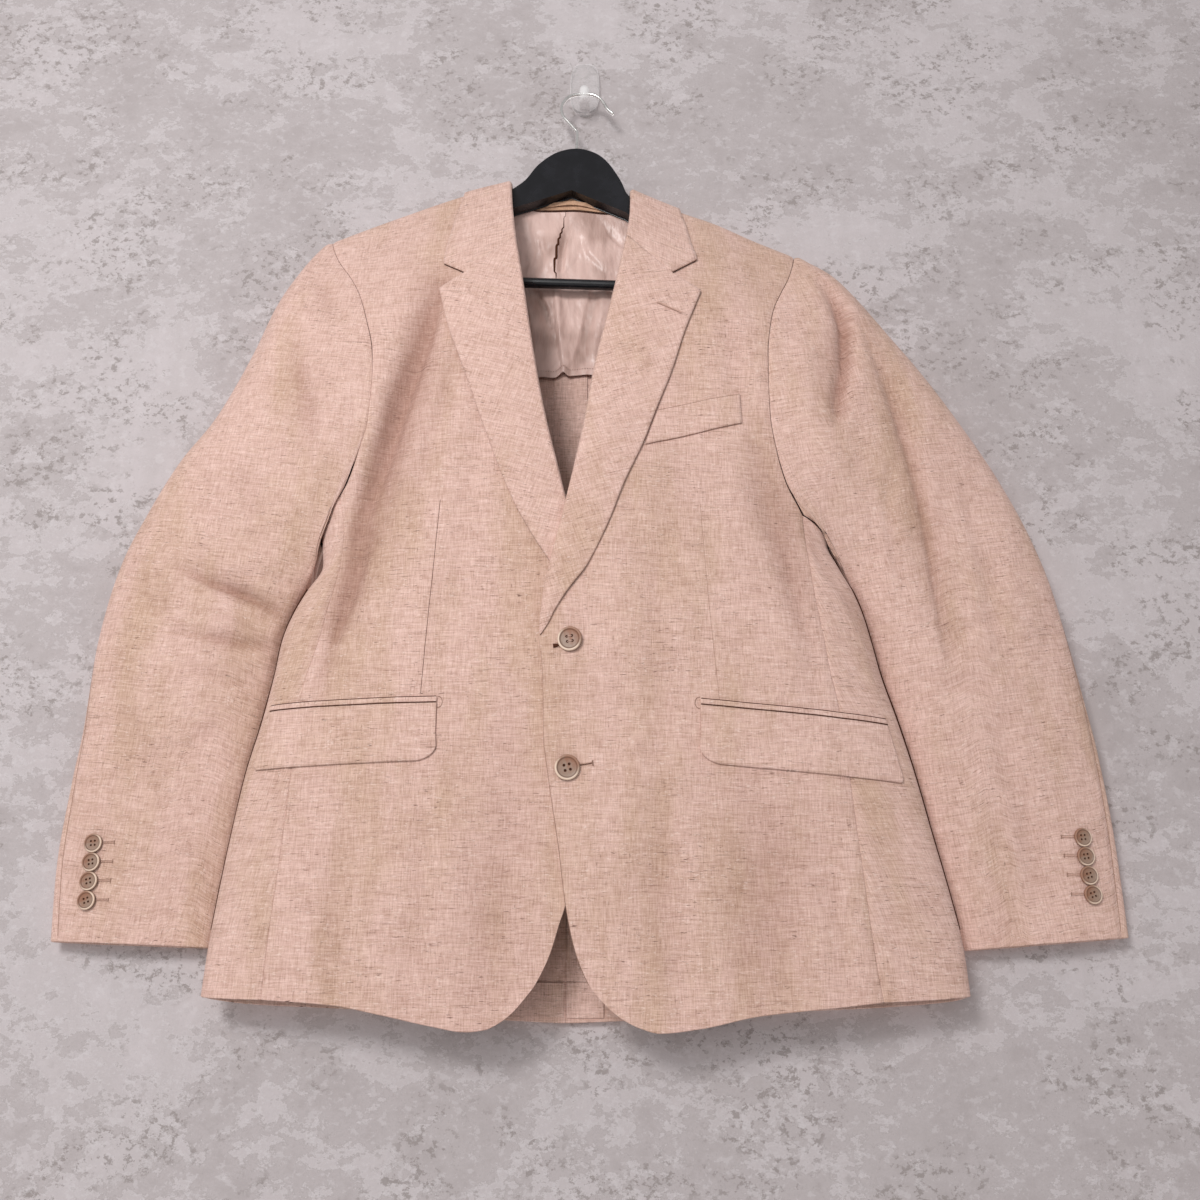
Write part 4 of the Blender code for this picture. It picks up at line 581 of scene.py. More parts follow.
@dataclass(frozen=True)
class Body:
    """The smooth form that the jacket's panels lie on, closed over the shoulders and round the sides."""

    axis_x: float = -10.0
    ridge_y: float = -24.5
    round: float = 14.0
    back_y: float = -5.0
    front_growth: float = 170.0
    back_growth: float = 60.0
    bulge: float = 2.6
    lap_top: float = 6.6
    lap_low: float = 2.7

    def half_width(self, x: Array, z: Array) -> Array:
        """Half the body's width on the side of x."""
        return np.where(x > self.axis_x, WIDTH_LEFT(z), WIDTH_RIGHT(z))

    @staticmethod
    def width_beside(sign: int, z: Array) -> Array:
        """Half the body's width on one side."""
        return WIDTH_LEFT(z) if sign > 0 else WIDTH_RIGHT(z)

    def outward(self, x: Array, z: Array) -> Array:
        """0 in the middle of a face and 1 at the side's edge, evenly between."""
        return np.minimum(np.abs(x - self.axis_x) / self.half_width(x, z), 1.0)

    def closing(self, x: Array, z: Array) -> Array:
        """1 in the middle of a face and 0 at the side's edge, round the oval."""
        return (1 - self.outward(x, z) ** self.bulge) ** (1 / self.bulge)

    def shoulder_round(self, drop: Array) -> Array:
        """The quarter circle over the shoulder line, as a share of its radius."""
        return np.sqrt(1 - (1 - np.clip(drop / self.round, 0, 1)) ** 2)

    def face(self, x: Array, z: Array, out: float, open_y: Array, growth: float) -> Array:
        """y of one face of the body before its folds.

        Args:
            x: The places across, in millimetres.
            z: The heights, in millimetres.
            out: -1 for the front's face and 1 for the back's.
            open_y: y in the middle of the face.
            growth: The drop below the shoulder line over which it swells out.

        Returns:
            The depths, in millimetres.
        """
        drop = RIDGE(x) - z
        swollen = out * (open_y - self.ridge_y) - self.round
        grown = np.sin(math.pi / 2 * np.clip(drop / growth, 0, 1))
        y = self.ridge_y + out * (self.round * self.shoulder_round(drop) + swollen * grown)
        side = mix(self.ridge_y, SIDE_Y(z), self.shoulder_round(drop / 3))
        return side + (y - side) * self.closing(x, z)

    def detail(self, creases: Sequence[Crease | Ripple], x: Array, z: Array) -> Array:
        """The finer folds, which die away over the shoulders and at the sides."""
        return pushed(creases, x, z) * self.closing(x, z) * eased((RIDGE(x) - z) / 45)

    def calm_front(self, x: Array, z: Array) -> Array:
        """Points of the fronts' outer face with the main folds alone.

        Args:
            x: The places across, in millimetres.
            z: The heights, in millimetres.

        Returns:
            The points, in millimetres.
        """
        x, z = paired(x, z)
        y = self.face(x, z, -1, CHEST_Y(z), self.front_growth)
        return np.stack([x, y + pushed(FRONT_FOLDS, x, z) * self.closing(x, z), z], -1)

    def front(self, x: Array, z: Array) -> Array:
        """Points of the fronts' outer face.

        Args:
            x: The places across, in millimetres.
            z: The heights, in millimetres.

        Returns:
            The points, in millimetres.
        """
        made = self.calm_front(x, z)
        made[..., 1] += self.detail(FRONT_CREASES, made[..., 0], made[..., 2])
        return made

    def lap(self, x: Array, z: Array) -> Array:
        """How far the wearer's left front stands off, over the other front and its lapel."""
        height = mix(self.lap_top, self.lap_low, eased((-640 - z) / 60)) * eased((-425 - z) / 60)
        return height * eased((115 - x) / 90)

    def calm_left_front(self, x: Array, z: Array) -> Array:
        """Points of the wearer's left front with the main folds alone.

        Args:
            x: The places across, in millimetres.
            z: The heights, in millimetres.

        Returns:
            The points, in millimetres.
        """
        made = self.calm_front(x, z)
        made[..., 1] -= self.lap(made[..., 0], made[..., 2])
        return made

    def left_front(self, x: Array, z: Array) -> Array:
        """Points of the wearer's left front.

        Args:
            x: The places across, in millimetres.
            z: The heights, in millimetres.

        Returns:
            The points, in millimetres.
        """
        made = self.front(x, z)
        made[..., 1] -= self.lap(made[..., 0], made[..., 2])
        return made

    def calm_back(self, x: Array, z: Array) -> Array:
        """Points of the back's outer face with the main folds alone.

        Args:
            x: The places across, in millimetres.
            z: The heights, in millimetres.

        Returns:
            The points, in millimetres.
        """
        x, z = paired(x, z)
        y = self.face(x, z, 1, np.full(x.shape, self.back_y), self.back_growth)
        return np.stack([x, y - pushed(BACK_FOLDS, x, z) * self.closing(x, z), z], -1)

    def back(self, x: Array, z: Array) -> Array:
        """Points of the back's outer face.

        Args:
            x: The places across, in millimetres.
            z: The heights, in millimetres.

        Returns:
            The points, in millimetres.
        """
        made = self.calm_back(x, z)
        made[..., 1] -= self.detail(BACK_CREASES, made[..., 0], made[..., 2])
        return made

    def shoulder(self, x: Array, way: Array) -> Array:
        """Points of the body by the way over the shoulder from its ridge, negative in front."""
        z = RIDGE(x) - self.drop_of(way)
        return np.where((way < 0)[..., None], self.calm_front(x, z), self.calm_back(x, z))

    def way_of(self, drop: Array) -> Array:
        """The way over the shoulder that ends this far below the ridge."""
        curl = self.round * np.arccos(1 - np.clip(drop, 0, self.round) / self.round)
        return np.where(drop < self.round, curl, drop - self.round + self.round * math.pi / 2)

    def drop_of(self, way: Array) -> Array:
        """How far below the ridge a way over the shoulder ends.

        Args:
            way: The ways over the shoulder from its ridge, of either sign.

        Returns:
            The drops, in millimetres.
        """
        far, quarter = np.abs(way), self.round * math.pi / 2
        curl = self.round * (1 - np.cos(np.minimum(far, quarter) / self.round))
        return np.where(far < quarter, curl, self.round + far - quarter)

    def rim_angle(self, x: Array, z: Array) -> Array:
        """The angle round the body's oval, from the side's edge, that lies over x."""
        return np.arccos(self.outward(x, z) ** (self.bulge / 2))

    def rim_x(self, sign: int, angle: Array, z: Array) -> Array:
        """x at an angle round the oval, on one side of the body."""
        return self.axis_x + sign * self.width_beside(sign, z) * np.maximum(np.cos(angle), 0) ** (2 / self.bulge)

    def reach(self, y: Array, z: Array, sign: int, clear: Array) -> Array:
        """x just outside the body's oval, at a depth and a height.

        Args:
            y: The depths, in millimetres.
            z: The heights, in millimetres.
            sign: 1 for the wearer's left side and -1 for the right.
            clear: How far outside it the place lies.

        Returns:
            The places across, in millimetres.
        """
        edge_y = SIDE_Y(z)
        open_y = np.where(y < edge_y, CHEST_Y(z), self.back_y)
        share = np.minimum(np.abs((y - edge_y) / (open_y - edge_y)), 1.0)
        width = self.width_beside(sign, z) * (1 - share**self.bulge) ** (1 / self.bulge)
        return self.axis_x + sign * (width + clear * (1 + 3 * share**2))


BODY = Body()


def raised(form: Form, a: Array, b: Array, height: Array, step: tuple = (1.5, 1.5)) -> Array:
    """Points of a form, moved out of its face.

    Args:
        form: The form, read by its own two coordinates.
        a: The first coordinates.
        b: The second coordinates.
        height: How far the points move out, in millimetres.
        step: The steps over which the face's slope is taken.

    Returns:
        The points, in millimetres.
    """
    a, b = paired(a, b)
    along_a = form(a + step[0], b) - form(a - step[0], b)
    along_b = form(a, b + step[1]) - form(a, b - step[1])
    out = unit(np.cross(along_a, along_b))
    return form(a, b) + out * np.broadcast_to(height, a.shape)[..., None]


def half_form(half: Half, calm: bool = False) -> Form:
    """The form of one half's front.

    Args:
        half: The half of the jacket.
        calm: True to leave out the finer folds.

    Returns:
        The form, which gives points by x and z.
    """
    if half.arm is Arm.LEFT:
        return BODY.calm_left_front if calm else BODY.left_front
    return BODY.calm_front if calm else BODY.front


# ---------------------------------------------------------------- meshes


class Wall:
    """A thin wall of cloth between two grids of points, with its edges rounded.

    The first row of points in from an edge is edge_step away. A sewn edge sinks over sink_reach. The
    edges are rounded out by a share of the thickness, edge_bulge.
    """

    edge_step, sink_reach, edge_bulge = 1.2, 2.4, 0.28

    def __init__(self, name: str, outer: Array, inner: Array, valley: Array | None = None,
                 grain: float = 0.0, flat: Array | None = None) -> None:
        """Keep the two faces, whose rows run up the cloth and columns across it, and the grain's turn."""
        self.name, self.outer, self.inner, self.grain, self.flat = name, outer, inner, grain, flat
        self.valley = np.zeros(outer.shape[:2]) if valley is None else valley

    @staticmethod
    def normals(grid: Array, sign: int) -> Array:
        """The way out of the cloth at each point of a grid.

        Args:
            grid: The points, by row and column.
            sign: 1 where the rows' and columns' cross points out, else -1.

        Returns:
            The ways out, each 1 long.
        """
        up = np.gradient(grid, axis=0)
        across = np.gradient(grid, axis=1)
        return unit(np.cross(across, up)) * sign

    @classmethod
    def of_face(cls, name: str, grid: Array, thick: float, sign: int, sewn: Sequence[Edge] = (),
                gap: float = SEAM, dip: float = 0.8, valley: Array | None = None,
                grain: float = 0.0) -> "Wall":
        """A wall behind a grid of points on its outer face.

        Args:
            name: The piece's name.
            grid: Points of the outer face.
            thick: The wall's thickness.
            sign: 1 where the rows' and columns' cross points out, else -1.
            sewn: The edges that are sewn to another piece.
            gap: The clear gap along each edge's seam.
            dip: How far the cloth sinks at a sewn edge.
            valley: How deep in a fold each point lies, from 0 to 1.
            grain: How far the cloth's grain is turned from upright.

        Returns:
            The wall.
        """
        valley = np.zeros(grid.shape[:2]) if valley is None else valley
        packed = np.concatenate([grid, valley[..., None]], -1)
        for axis in (0, 1):
            rows = np.moveaxis(packed, axis, 0)
            first = unit_step(rows[0], rows[1], cls.edge_step)
            last = unit_step(rows[-1], rows[-2], cls.edge_step)
            rows = np.concatenate([rows[:1], first[None], rows[1:-1], last[None], rows[-1:]])
            rows[0] = unit_step(rows[0], rows[1], gap / 2)
            rows[-1] = unit_step(rows[-1], rows[-2], gap / 2)
            packed = np.moveaxis(rows, 0, axis)
        grid, valley = packed[..., :3], packed[..., 3]
        out = cls.normals(grid, sign)
        sunk = np.zeros(valley.shape)
        for edge in sewn:
            axis, back = edge.value
            rows = np.moveaxis(grid, axis, 0)[:: -1 if back else 1]
            steps = np.linalg.norm(np.diff(rows, axis=0), axis=-1)
            way = np.concatenate([np.zeros((1, steps.shape[1])), np.cumsum(steps, 0)])[:: -1 if back else 1]
            sunk = np.maximum(sunk, np.moveaxis(dip * np.exp(-((way / cls.sink_reach) ** 2)), 0, axis))
        outer = grid - out * sunk[..., None]
        return cls(name, outer, grid - out * thick, valley, grain)

    def border(self) -> Array:
        """The numbers of the grid's edge points, in order round it.

        Returns:
            The numbers, each once.
        """
        rows, columns = self.outer.shape[:2]
        number = np.arange(rows * columns).reshape(rows, columns)
        return np.concatenate([number[0, :-1], number[:-1, -1], number[-1, :0:-1], number[:0:-1, 0]])

    def lengths(self) -> tuple[float, float, float]:
        """The outer face's greatest width and length, and its area, in metres.

        Returns:
            The width, the length and the area.
        """
        across = np.linalg.norm(np.diff(self.outer, axis=1), axis=-1).sum(1).max()
        up = np.linalg.norm(np.diff(self.outer, axis=0), axis=-1).sum(0).max()
        a, b = self.outer[1:, 1:] - self.outer[:-1, :-1], self.outer[1:, :-1] - self.outer[:-1, 1:]
        area = np.linalg.norm(np.cross(a, b), axis=-1).sum() / 2
        return across * MM, up * MM, area * MM * MM

    def cloth_places(self) -> Array:
        """Each point's place on the flat cloth, in metres across and up the grain.

        Returns:
            Two numbers for each point of the grid.
        """
        p = self.outer
        across, up = np.diff(p, axis=1), np.diff(p, axis=0)
        middle, quarter = p.shape[1] // 2, p.shape[1] // 4
        way = np.sign(p[:, middle + quarter, 0] - p[:, middle - quarter, 0])[:, None]
        u = np.concatenate([np.zeros((len(p), 1)), np.cumsum(np.hypot(across[..., 0], across[..., 1]), 1)], 1)
        u = p[:, middle, 0][:, None] + way * (u - u[:, middle : middle + 1])
        rise = np.hypot(up[..., 2], up[..., 1]) - np.abs(up[..., 2])
        v = np.concatenate([np.zeros((1, p.shape[1])), np.cumsum(rise, 0)])
        v = p[..., 2] + v * np.sign(p[-1, :, 2] - p[0, :, 2])
        if self.flat is not None:
            u, v = self.flat[..., 0], self.flat[..., 1]
        c, s = math.cos(self.grain), math.sin(self.grain)
        return np.stack([u * c + v * s, v * c - u * s], -1) * MM

    def faces(self, ring: Array) -> Array:
        """The faces of both grids and of the rim that joins them, whose middle points come last.

        Args:
            ring: The numbers of the grid's edge points, in order.

        Returns:
            The four point numbers of each face.
        """
        rows, columns = self.outer.shape[:2]
        count = rows * columns
        a = np.arange(count).reshape(rows, columns)[:-1, :-1].ravel()
        front = np.stack([a, a + 1, a + 1 + columns, a + columns], 1)
        here = 2 * count + np.arange(len(ring))
        there, nxt = np.roll(here, -1), np.roll(ring, -1)
        rim = [np.stack([nxt, ring, here, there], 1), np.stack([there, here, count + ring, count + nxt], 1)]
        return np.concatenate([front, front[:, ::-1] + count, *rim])

    def build(self) -> Piece:
        """The wall as an object with its cloth map and its folds' depth.

        Returns:
            The object.
        """
        rows, columns = self.outer.shape[:2]
        ring = self.border()
        flat, back = self.outer.reshape(-1, 3), self.inner.reshape(-1, 3)
        inward = np.repeat([columns, -1, -columns, 1], [columns - 1, rows - 1] * 2)
        edge_out = unit(flat[ring] - flat[ring + inward])
        thick = np.linalg.norm(flat[ring] - back[ring], axis=1, keepdims=True)
        middle = (flat[ring] + back[ring]) / 2 + edge_out * thick * self.edge_bulge
        points = np.concatenate([flat, back, middle])
        faces = self.faces(ring)
        p = points[faces]
        twice = np.cross(p[:, 1], p[:, 2]) + np.cross(p[:, 2], p[:, 3])
        if np.einsum("ij,ij->", p[:, 0], twice) < 0:
            faces = faces[:, ::-1]
        piece = new_shape(f"{self.name}_cloth", (points * MM).tolist(), faces.tolist())
        mesh = piece.data
        mesh.shade_smooth()
        places = self.cloth_places().reshape(-1, 2)
        places = np.concatenate([places, places, places[ring]])
        corner = np.empty(len(mesh.loops), int)
        mesh.loops.foreach_get("vertex_index", corner)
        mesh.uv_layers.new(name="cloth").data.foreach_set("uv", places[corner].ravel())
        valley = self.valley.ravel()
        # The folds' depth, which the cloth finishes turn into painted shade.
        keep_values(mesh, "valley", np.concatenate([valley, valley, valley[ring]]))
        return piece


@dataclass
class Line:
    """A line of points in millimetres, with the way out of the cloth and its relative thickness."""

    points: Array
    out: Array
    thick: Array | None = None


def cloth_edge(wall: Wall, outer: Array, inner: Array) -> Line:
    """The line in the shadow under an edge of cloth that lies on other cloth.

    Args:
        wall: The cloth that lies on top.
        outer: Its outer face's points along the edge.
        inner: Its inner face's points along the edge.

    Returns:
        The line.
    """
    middle = wall.outer.reshape(-1, 3).mean(0)
    out = unit(outer - inner)
    away = inner - middle
    away = unit(away - out * (away * out).sum(1, keepdims=True))
    return Line(inner + away * 0.25 - out * 0.35, out)


def unit_step(start: Array, towards: Array, length: float) -> Array:
    """Points a length on from a row of points towards the next row, at most 0.4 of the way."""
    gap = np.linalg.norm(towards[..., :3] - start[..., :3], axis=-1, keepdims=True)
    return mix(start, towards, np.minimum(length / np.maximum(gap, 1e-6), 0.4))


def new_object(name: str, mesh: bpy.types.ID) -> Piece:
    """An object of a mesh, a lamp or a camera, in the scene.

    Args:
        name: The object's name.
        mesh: Its mesh, lamp or camera.

    Returns:
        The object.
    """
    made = bpy.data.objects.new(name, mesh)
    bpy.context.scene.collection.objects.link(made)
    return made


def new_shape(name: str, points: Sequence, faces: Sequence, edges: Sequence = ()) -> Piece:
    """An object of points, faces and loose edges, in the scene.

    Args:
        name: The object's name.
        points: The points.
        faces: The point numbers of each face.
        edges: The point numbers of each loose edge.

    Returns:
        The object.
    """
    mesh = bpy.data.meshes.new(name)
    mesh.from_pydata(points, edges, faces)
    return new_object(name, mesh)


def keep_values(mesh: bpy.types.Mesh, name: str, values: Array) -> None:
    """Keep a number or a vector on each of a mesh's points."""
    kind, key = ("FLOAT_VECTOR", "vector") if values.ndim > 1 else ("FLOAT", "value")
    mesh.attributes.new(name, kind, "POINT").data.foreach_set(key, values.ravel())


def finished_mesh(source: Piece) -> bpy.types.Mesh:
    """The mesh that an object's modifiers make, with the object used up.

    Args:
        source: The object, which is removed.

    Returns:
        The mesh.
    """
    graph = bpy.context.evaluated_depsgraph_get()
    mesh = bpy.data.meshes.new_from_object(source.evaluated_get(graph))
    bpy.data.objects.remove(source)
    return mesh


def dress(piece: Piece, finish: Finish, slot: Slot = Slot.LINEN, *nodes: str) -> Piece:
    """Give a piece its finish, its body and the nodes that it stands for.

    Args:
        piece: The piece's object.
        finish: Its material.
        slot: Not used.
        nodes: The solids that it replaces.

    Returns:
        The piece.
    """
    piece.data.materials.clear()
    piece.data.materials.append(finish)
    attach(piece, "root")
    if nodes:
        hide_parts(*nodes)
    LOG.info("%s: %d faces", piece.name, len(piece.data.polygons))
    return piece


def hang_cloth(wall: Wall, finish: Finish, slot: Slot = Slot.LINEN) -> Piece:
    """Args:
        wall: The wall of cloth.
        finish: The finish that it takes.
        slot: Passed on to dress, which doesn't use it.

    Returns:
        The piece.
    """
    width, length, area = wall.lengths()
    length = max(length, 0.01)
    piece = dress(wall.build(), finish, slot, wall.name)
    LOG.info("%s: flat %.0f by %.0f mm, %.4f m2", wall.name, width / MM, length / MM, area)
    return piece


# ---------------------------------------------------------------- fronts, sides and back


def below_ridge(x_at: Callable[[Array], Array], drop: Array) -> Array:
    """The heights, on an edge that gives x by z, that lie a drop below the shoulder line.

    Args:
        x_at: The edge's x by z.
        drop: How far below the shoulder line to come out.

    Returns:
        The heights, in millimetres.
    """
    z = RIDGE(x_at(np.float64(-230.0))) - drop
    for _ in range(14):
        z = RIDGE(x_at(z)) - drop
    return z


def fine_places(count: int, fine: int = FINE) -> Array:
    """Fractional places that divide each of a number of steps."""
    return np.arange(count * fine + 1) / fine


@dataclass
class Panels:
    """The body of one half: a front, a side and a back."""

    half: Half
    full_fold: float = 8.0
    grids: dict = field(default_factory=dict)

    def heights(self, foot_z: float, low_z: float, x_at: Callable, form: Form) -> Array:
        """Heights of a panel's fine rows at its armhole side, from the hem to the shoulder line.

        Args:
            foot_z: z of the armhole's foot.
            low_z: z of the hem.
            x_at: x of the panel's outer edge by z.
            form: The face that the panel lies on.

        Returns:
            The heights, in millimetres.
        """
        at = fine_places(LAST_ROW)
        dense = np.linspace(foot_z, float(below_ridge(x_at, np.float64(RIDGE_DROPS[0]))), 301)
        points = form(x_at(dense), dense)
        way = way_along(points)
        steps = np.arange(ARMHOLE_ROWS + 1) / ARMHOLE_ROWS * way[-1]
        hole = Curve(way, dense)(steps)
        low = mix(low_z, foot_z, np.array(LOW_ROWS))
        rows = stepped(np.concatenate([low, hole[1:]]), np.minimum(at, RIDGE_ROW))
        return np.where(at > RIDGE_ROW, below_ridge(x_at, self.drops(at)), rows)

    @staticmethod
    def drops(at: Array) -> Array:
        """How far below the shoulder line the top rows lie, even round its curve."""
        angles = np.arccos(1 - np.array(RIDGE_DROPS) / BODY.round)
        return BODY.round * (1 - np.cos(stepped(angles, np.clip(at - RIDGE_ROW, 0, 3))))

    @staticmethod
    def patch(form: Form, inner: Array, outer: Array, shares: Array, drops: Array,
              bottom: Callable, top: Callable) -> Array:
        """A grid between two upright edges.

        Args:
            form: The face that the grid lies on.
            inner: x and z of the inner edge, by row.
            outer: x and z of the outer edge, by row.
            shares: The columns' places between the edges, by row.
            drops: The top rows' drops below the top, by row and column.
            bottom: z of the hem by x.
            top: z of the top by x.

        Returns:
            The grid's points.
        """
        at = fine_places(LAST_ROW)
        first = RIDGE_ROW * FINE
        height = np.minimum(at / RIDGE_ROW, 1.0)[:, None]
        x = mix(inner[:, :1], outer[:, :1], shares)
        z = mix(inner[:, 1:], outer[:, 1:], shares)
        low = bottom(mix(inner[0, 0], outer[0, 0], shares)) - mix(inner[0, 1], outer[0, 1], shares)
        top_x = mix(inner[first, 0], outer[first, 0], shares)
        high = top(top_x) - drops[first] - mix(inner[first, 1], outer[first, 1], shares)
        z = z + low * np.maximum(1 - height / 0.7, 0) ** 2
        z = z + high * np.maximum(1 - (1 - height) / 0.5, 0) ** 2
        z[first:] = (top(x) - drops)[first:]
        return form(x, z)

    def front(self) -> Array:
        """The grid of the front.

        Returns:
            The points, by row and column.
        """
        half, form = self.half, half_form(self.half)
        outer_z = self.heights(half.seam[-1][0], half.seam[0][0], half.outer_edge, form)
        at, first = fine_places(LAST_ROW), RIDGE_ROW * FINE
        ridge = below_ridge(half.inner_edge, self.drops(at))
        corner, span = half.edge[0][0], outer_z[first] - outer_z[0]
        inner_z = corner + (ridge[first] - corner) * (outer_z - outer_z[0]) / span
        inner_z = np.where(at > RIDGE_ROW, ridge, inner_z)
        across = fine_places(len(HEM_COLUMNS) - 1, 8)
        shares = mix(stepped(HEM_COLUMNS, across), stepped(TOP_COLUMNS, across), (at / LAST_ROW)[:, None])
        drops = np.broadcast_to(self.drops(at)[:, None], shares.shape)
        return self.patch(
            form, np.stack([half.inner_edge(inner_z), inner_z], 1),
            np.stack([half.outer_edge(outer_z), outer_z], 1), shares, drops,
            table_curve(half.hem), RIDGE,
        )

    def side(self) -> Array:
        """The grid of the side panel, from its front seam to its back seam.

        Returns:
            The points, by row and column.
        """
        half, form = self.half, half_form(self.half)
        share = np.arange(SIDE_COLUMNS * FINE + 1) / (SIDE_COLUMNS * FINE)
        low = Curve(range(7), half.side_hem)(share * SIDE_COLUMNS)
        high = Curve(range(7), half.underarm)(share * SIDE_COLUMNS)
        z = mix(low, high, stepped(LOW_ROWS, fine_places(FOOT))[:, None])
        ahead = mix(BODY.rim_angle(table_curve(half.seam)(z), z), 0, np.minimum(share * 2, 1))
        behind = mix(0, BODY.rim_angle(table_curve(half.back_seam)(z), z), np.maximum(share * 2 - 1, 0))
        x = BODY.rim_x(half.sign, np.where(share < 0.5, ahead, behind), z)
        return np.where((share < 0.5)[None, :, None], form(x, z), BODY.back(x, z))

    def back(self) -> Array:
        """The grid of the back, from its middle seam outwards.

        Returns:
            The points, by row and column.
        """
        half = self.half

        def outer_x(z: Array) -> Array:
            """x of the panel's outer edge."""
            return half.outer_edge(z, back=True)

        outer_z = self.heights(half.back_seam[-1][0], half.back_seam[0][0], outer_x, BODY.back)
        at, first = fine_places(LAST_ROW), RIDGE_ROW * FINE
        neck = float(NECK(BACK_SEAM_X))
        top_z, span = neck - NECK_DROPS[0], outer_z[first] - outer_z[0]
        inner_z = HEM_BACK_Z + (top_z - HEM_BACK_Z) * (outer_z - outer_z[0]) / span
        neck_drops = stepped(NECK_DROPS, np.clip(at - RIDGE_ROW, 0, 3))
        inner_z = np.where(at > RIDGE_ROW, neck - neck_drops, inner_z)
        neck_share = ((half.neck_x - BACK_SEAM_X) / (outer_x(outer_z) - BACK_SEAM_X))[:, None]
        across = fine_places(len(BACK_NECK_COLUMNS) + len(TOP_COLUMNS) - 1, 6)
        coarse = np.concatenate([
            neck_share * np.array(BACK_NECK_COLUMNS), mix(neck_share, 1, np.array(TOP_COLUMNS))
        ], 1)
        i = np.minimum(across.astype(int), coarse.shape[1] - 2)
        shares = mix(coarse[:, i], coarse[:, i + 1], across - i)
        neck_ward = stepped(BACK_NECK_COLUMNS + (1.0,) * len(TOP_COLUMNS), across) ** 2
        drops = mix(neck_drops[:, None], self.drops(at)[:, None], neck_ward)
        hem_span = outer_x(outer_z)[0] - BACK_SEAM_X

        def hem(x: Array) -> Array:
            """z of the hem."""
            share = (x - BACK_SEAM_X) / hem_span
            return mix(HEM_BACK_Z, half.back_seam[0][0], eased(share) * 0.4 + share * 0.6)

        def top(x: Array) -> Array:
            """z of the neck's edge, and further out of the shoulder line."""
            inside = np.abs(x - BACK_SEAM_X) < abs(half.neck_x - BACK_SEAM_X) - 1e-6
            return np.where(inside, NECK(x), RIDGE(x))

        return self.patch(
            BODY.back, np.stack([np.full(len(at), BACK_SEAM_X), inner_z], 1),
            np.stack([outer_x(outer_z), outer_z], 1), shares, drops, hem, top,
        )

    def build(self, finish: Finish) -> None:
        """Make the three panels.

        Args:
            finish: The finish that it takes.
        """
        word, sign = self.half.arm.word, self.half.sign
        self.grids = {"front": self.front(), "side": self.side(), "back": self.back()}
        both = (Edge.FIRST, Edge.LAST)
        for part, sewn in (("front", (Edge.LAST,)), ("side", both), ("back", both)):
            grid = self.grids[part]
            creases = BACK_CREASES + BACK_FOLDS if part == "back" else FRONT_CREASES + FRONT_FOLDS
            valley = np.clip(pushed(creases, grid[..., 0], grid[..., 2]) / self.full_fold, 0, 1)
            wall = Wall.of_face(f"{part}_{word}", grid, CLOTH, -sign if part == "back" else sign, sewn, valley=valley)
            hang_cloth(wall, finish)


@dataclass
class Vent:
    """The underlap of the back's vent, inside the left back panel."""

    width: float = 30.0
    thick: float = 1.4

    def build(self, finish: Finish) -> None:
        """Make the underlap.

        Args:
            finish: The finish that it takes.
        """
        at = np.linspace(0, 8, 81)
        z = mix(HEM_BACK_Z + 3.5, VENT_TOP, at / 8)[:, None]
        left, right = BACK_SEAM_X + 0.8, BACK_SEAM_X + self.width
        x = mix(left, mix(right, right - 6, eased(at - 7))[:, None], np.linspace(0, 1, 13))
        grid = raised(BODY.calm_back, x, np.broadcast_to(z, x.shape), CLOTH + 0.5)
        hang_cloth(Wall.of_face("vent_underlap", grid, self.thick, -1), finish)


# ---------------------------------------------------------------- sleeves


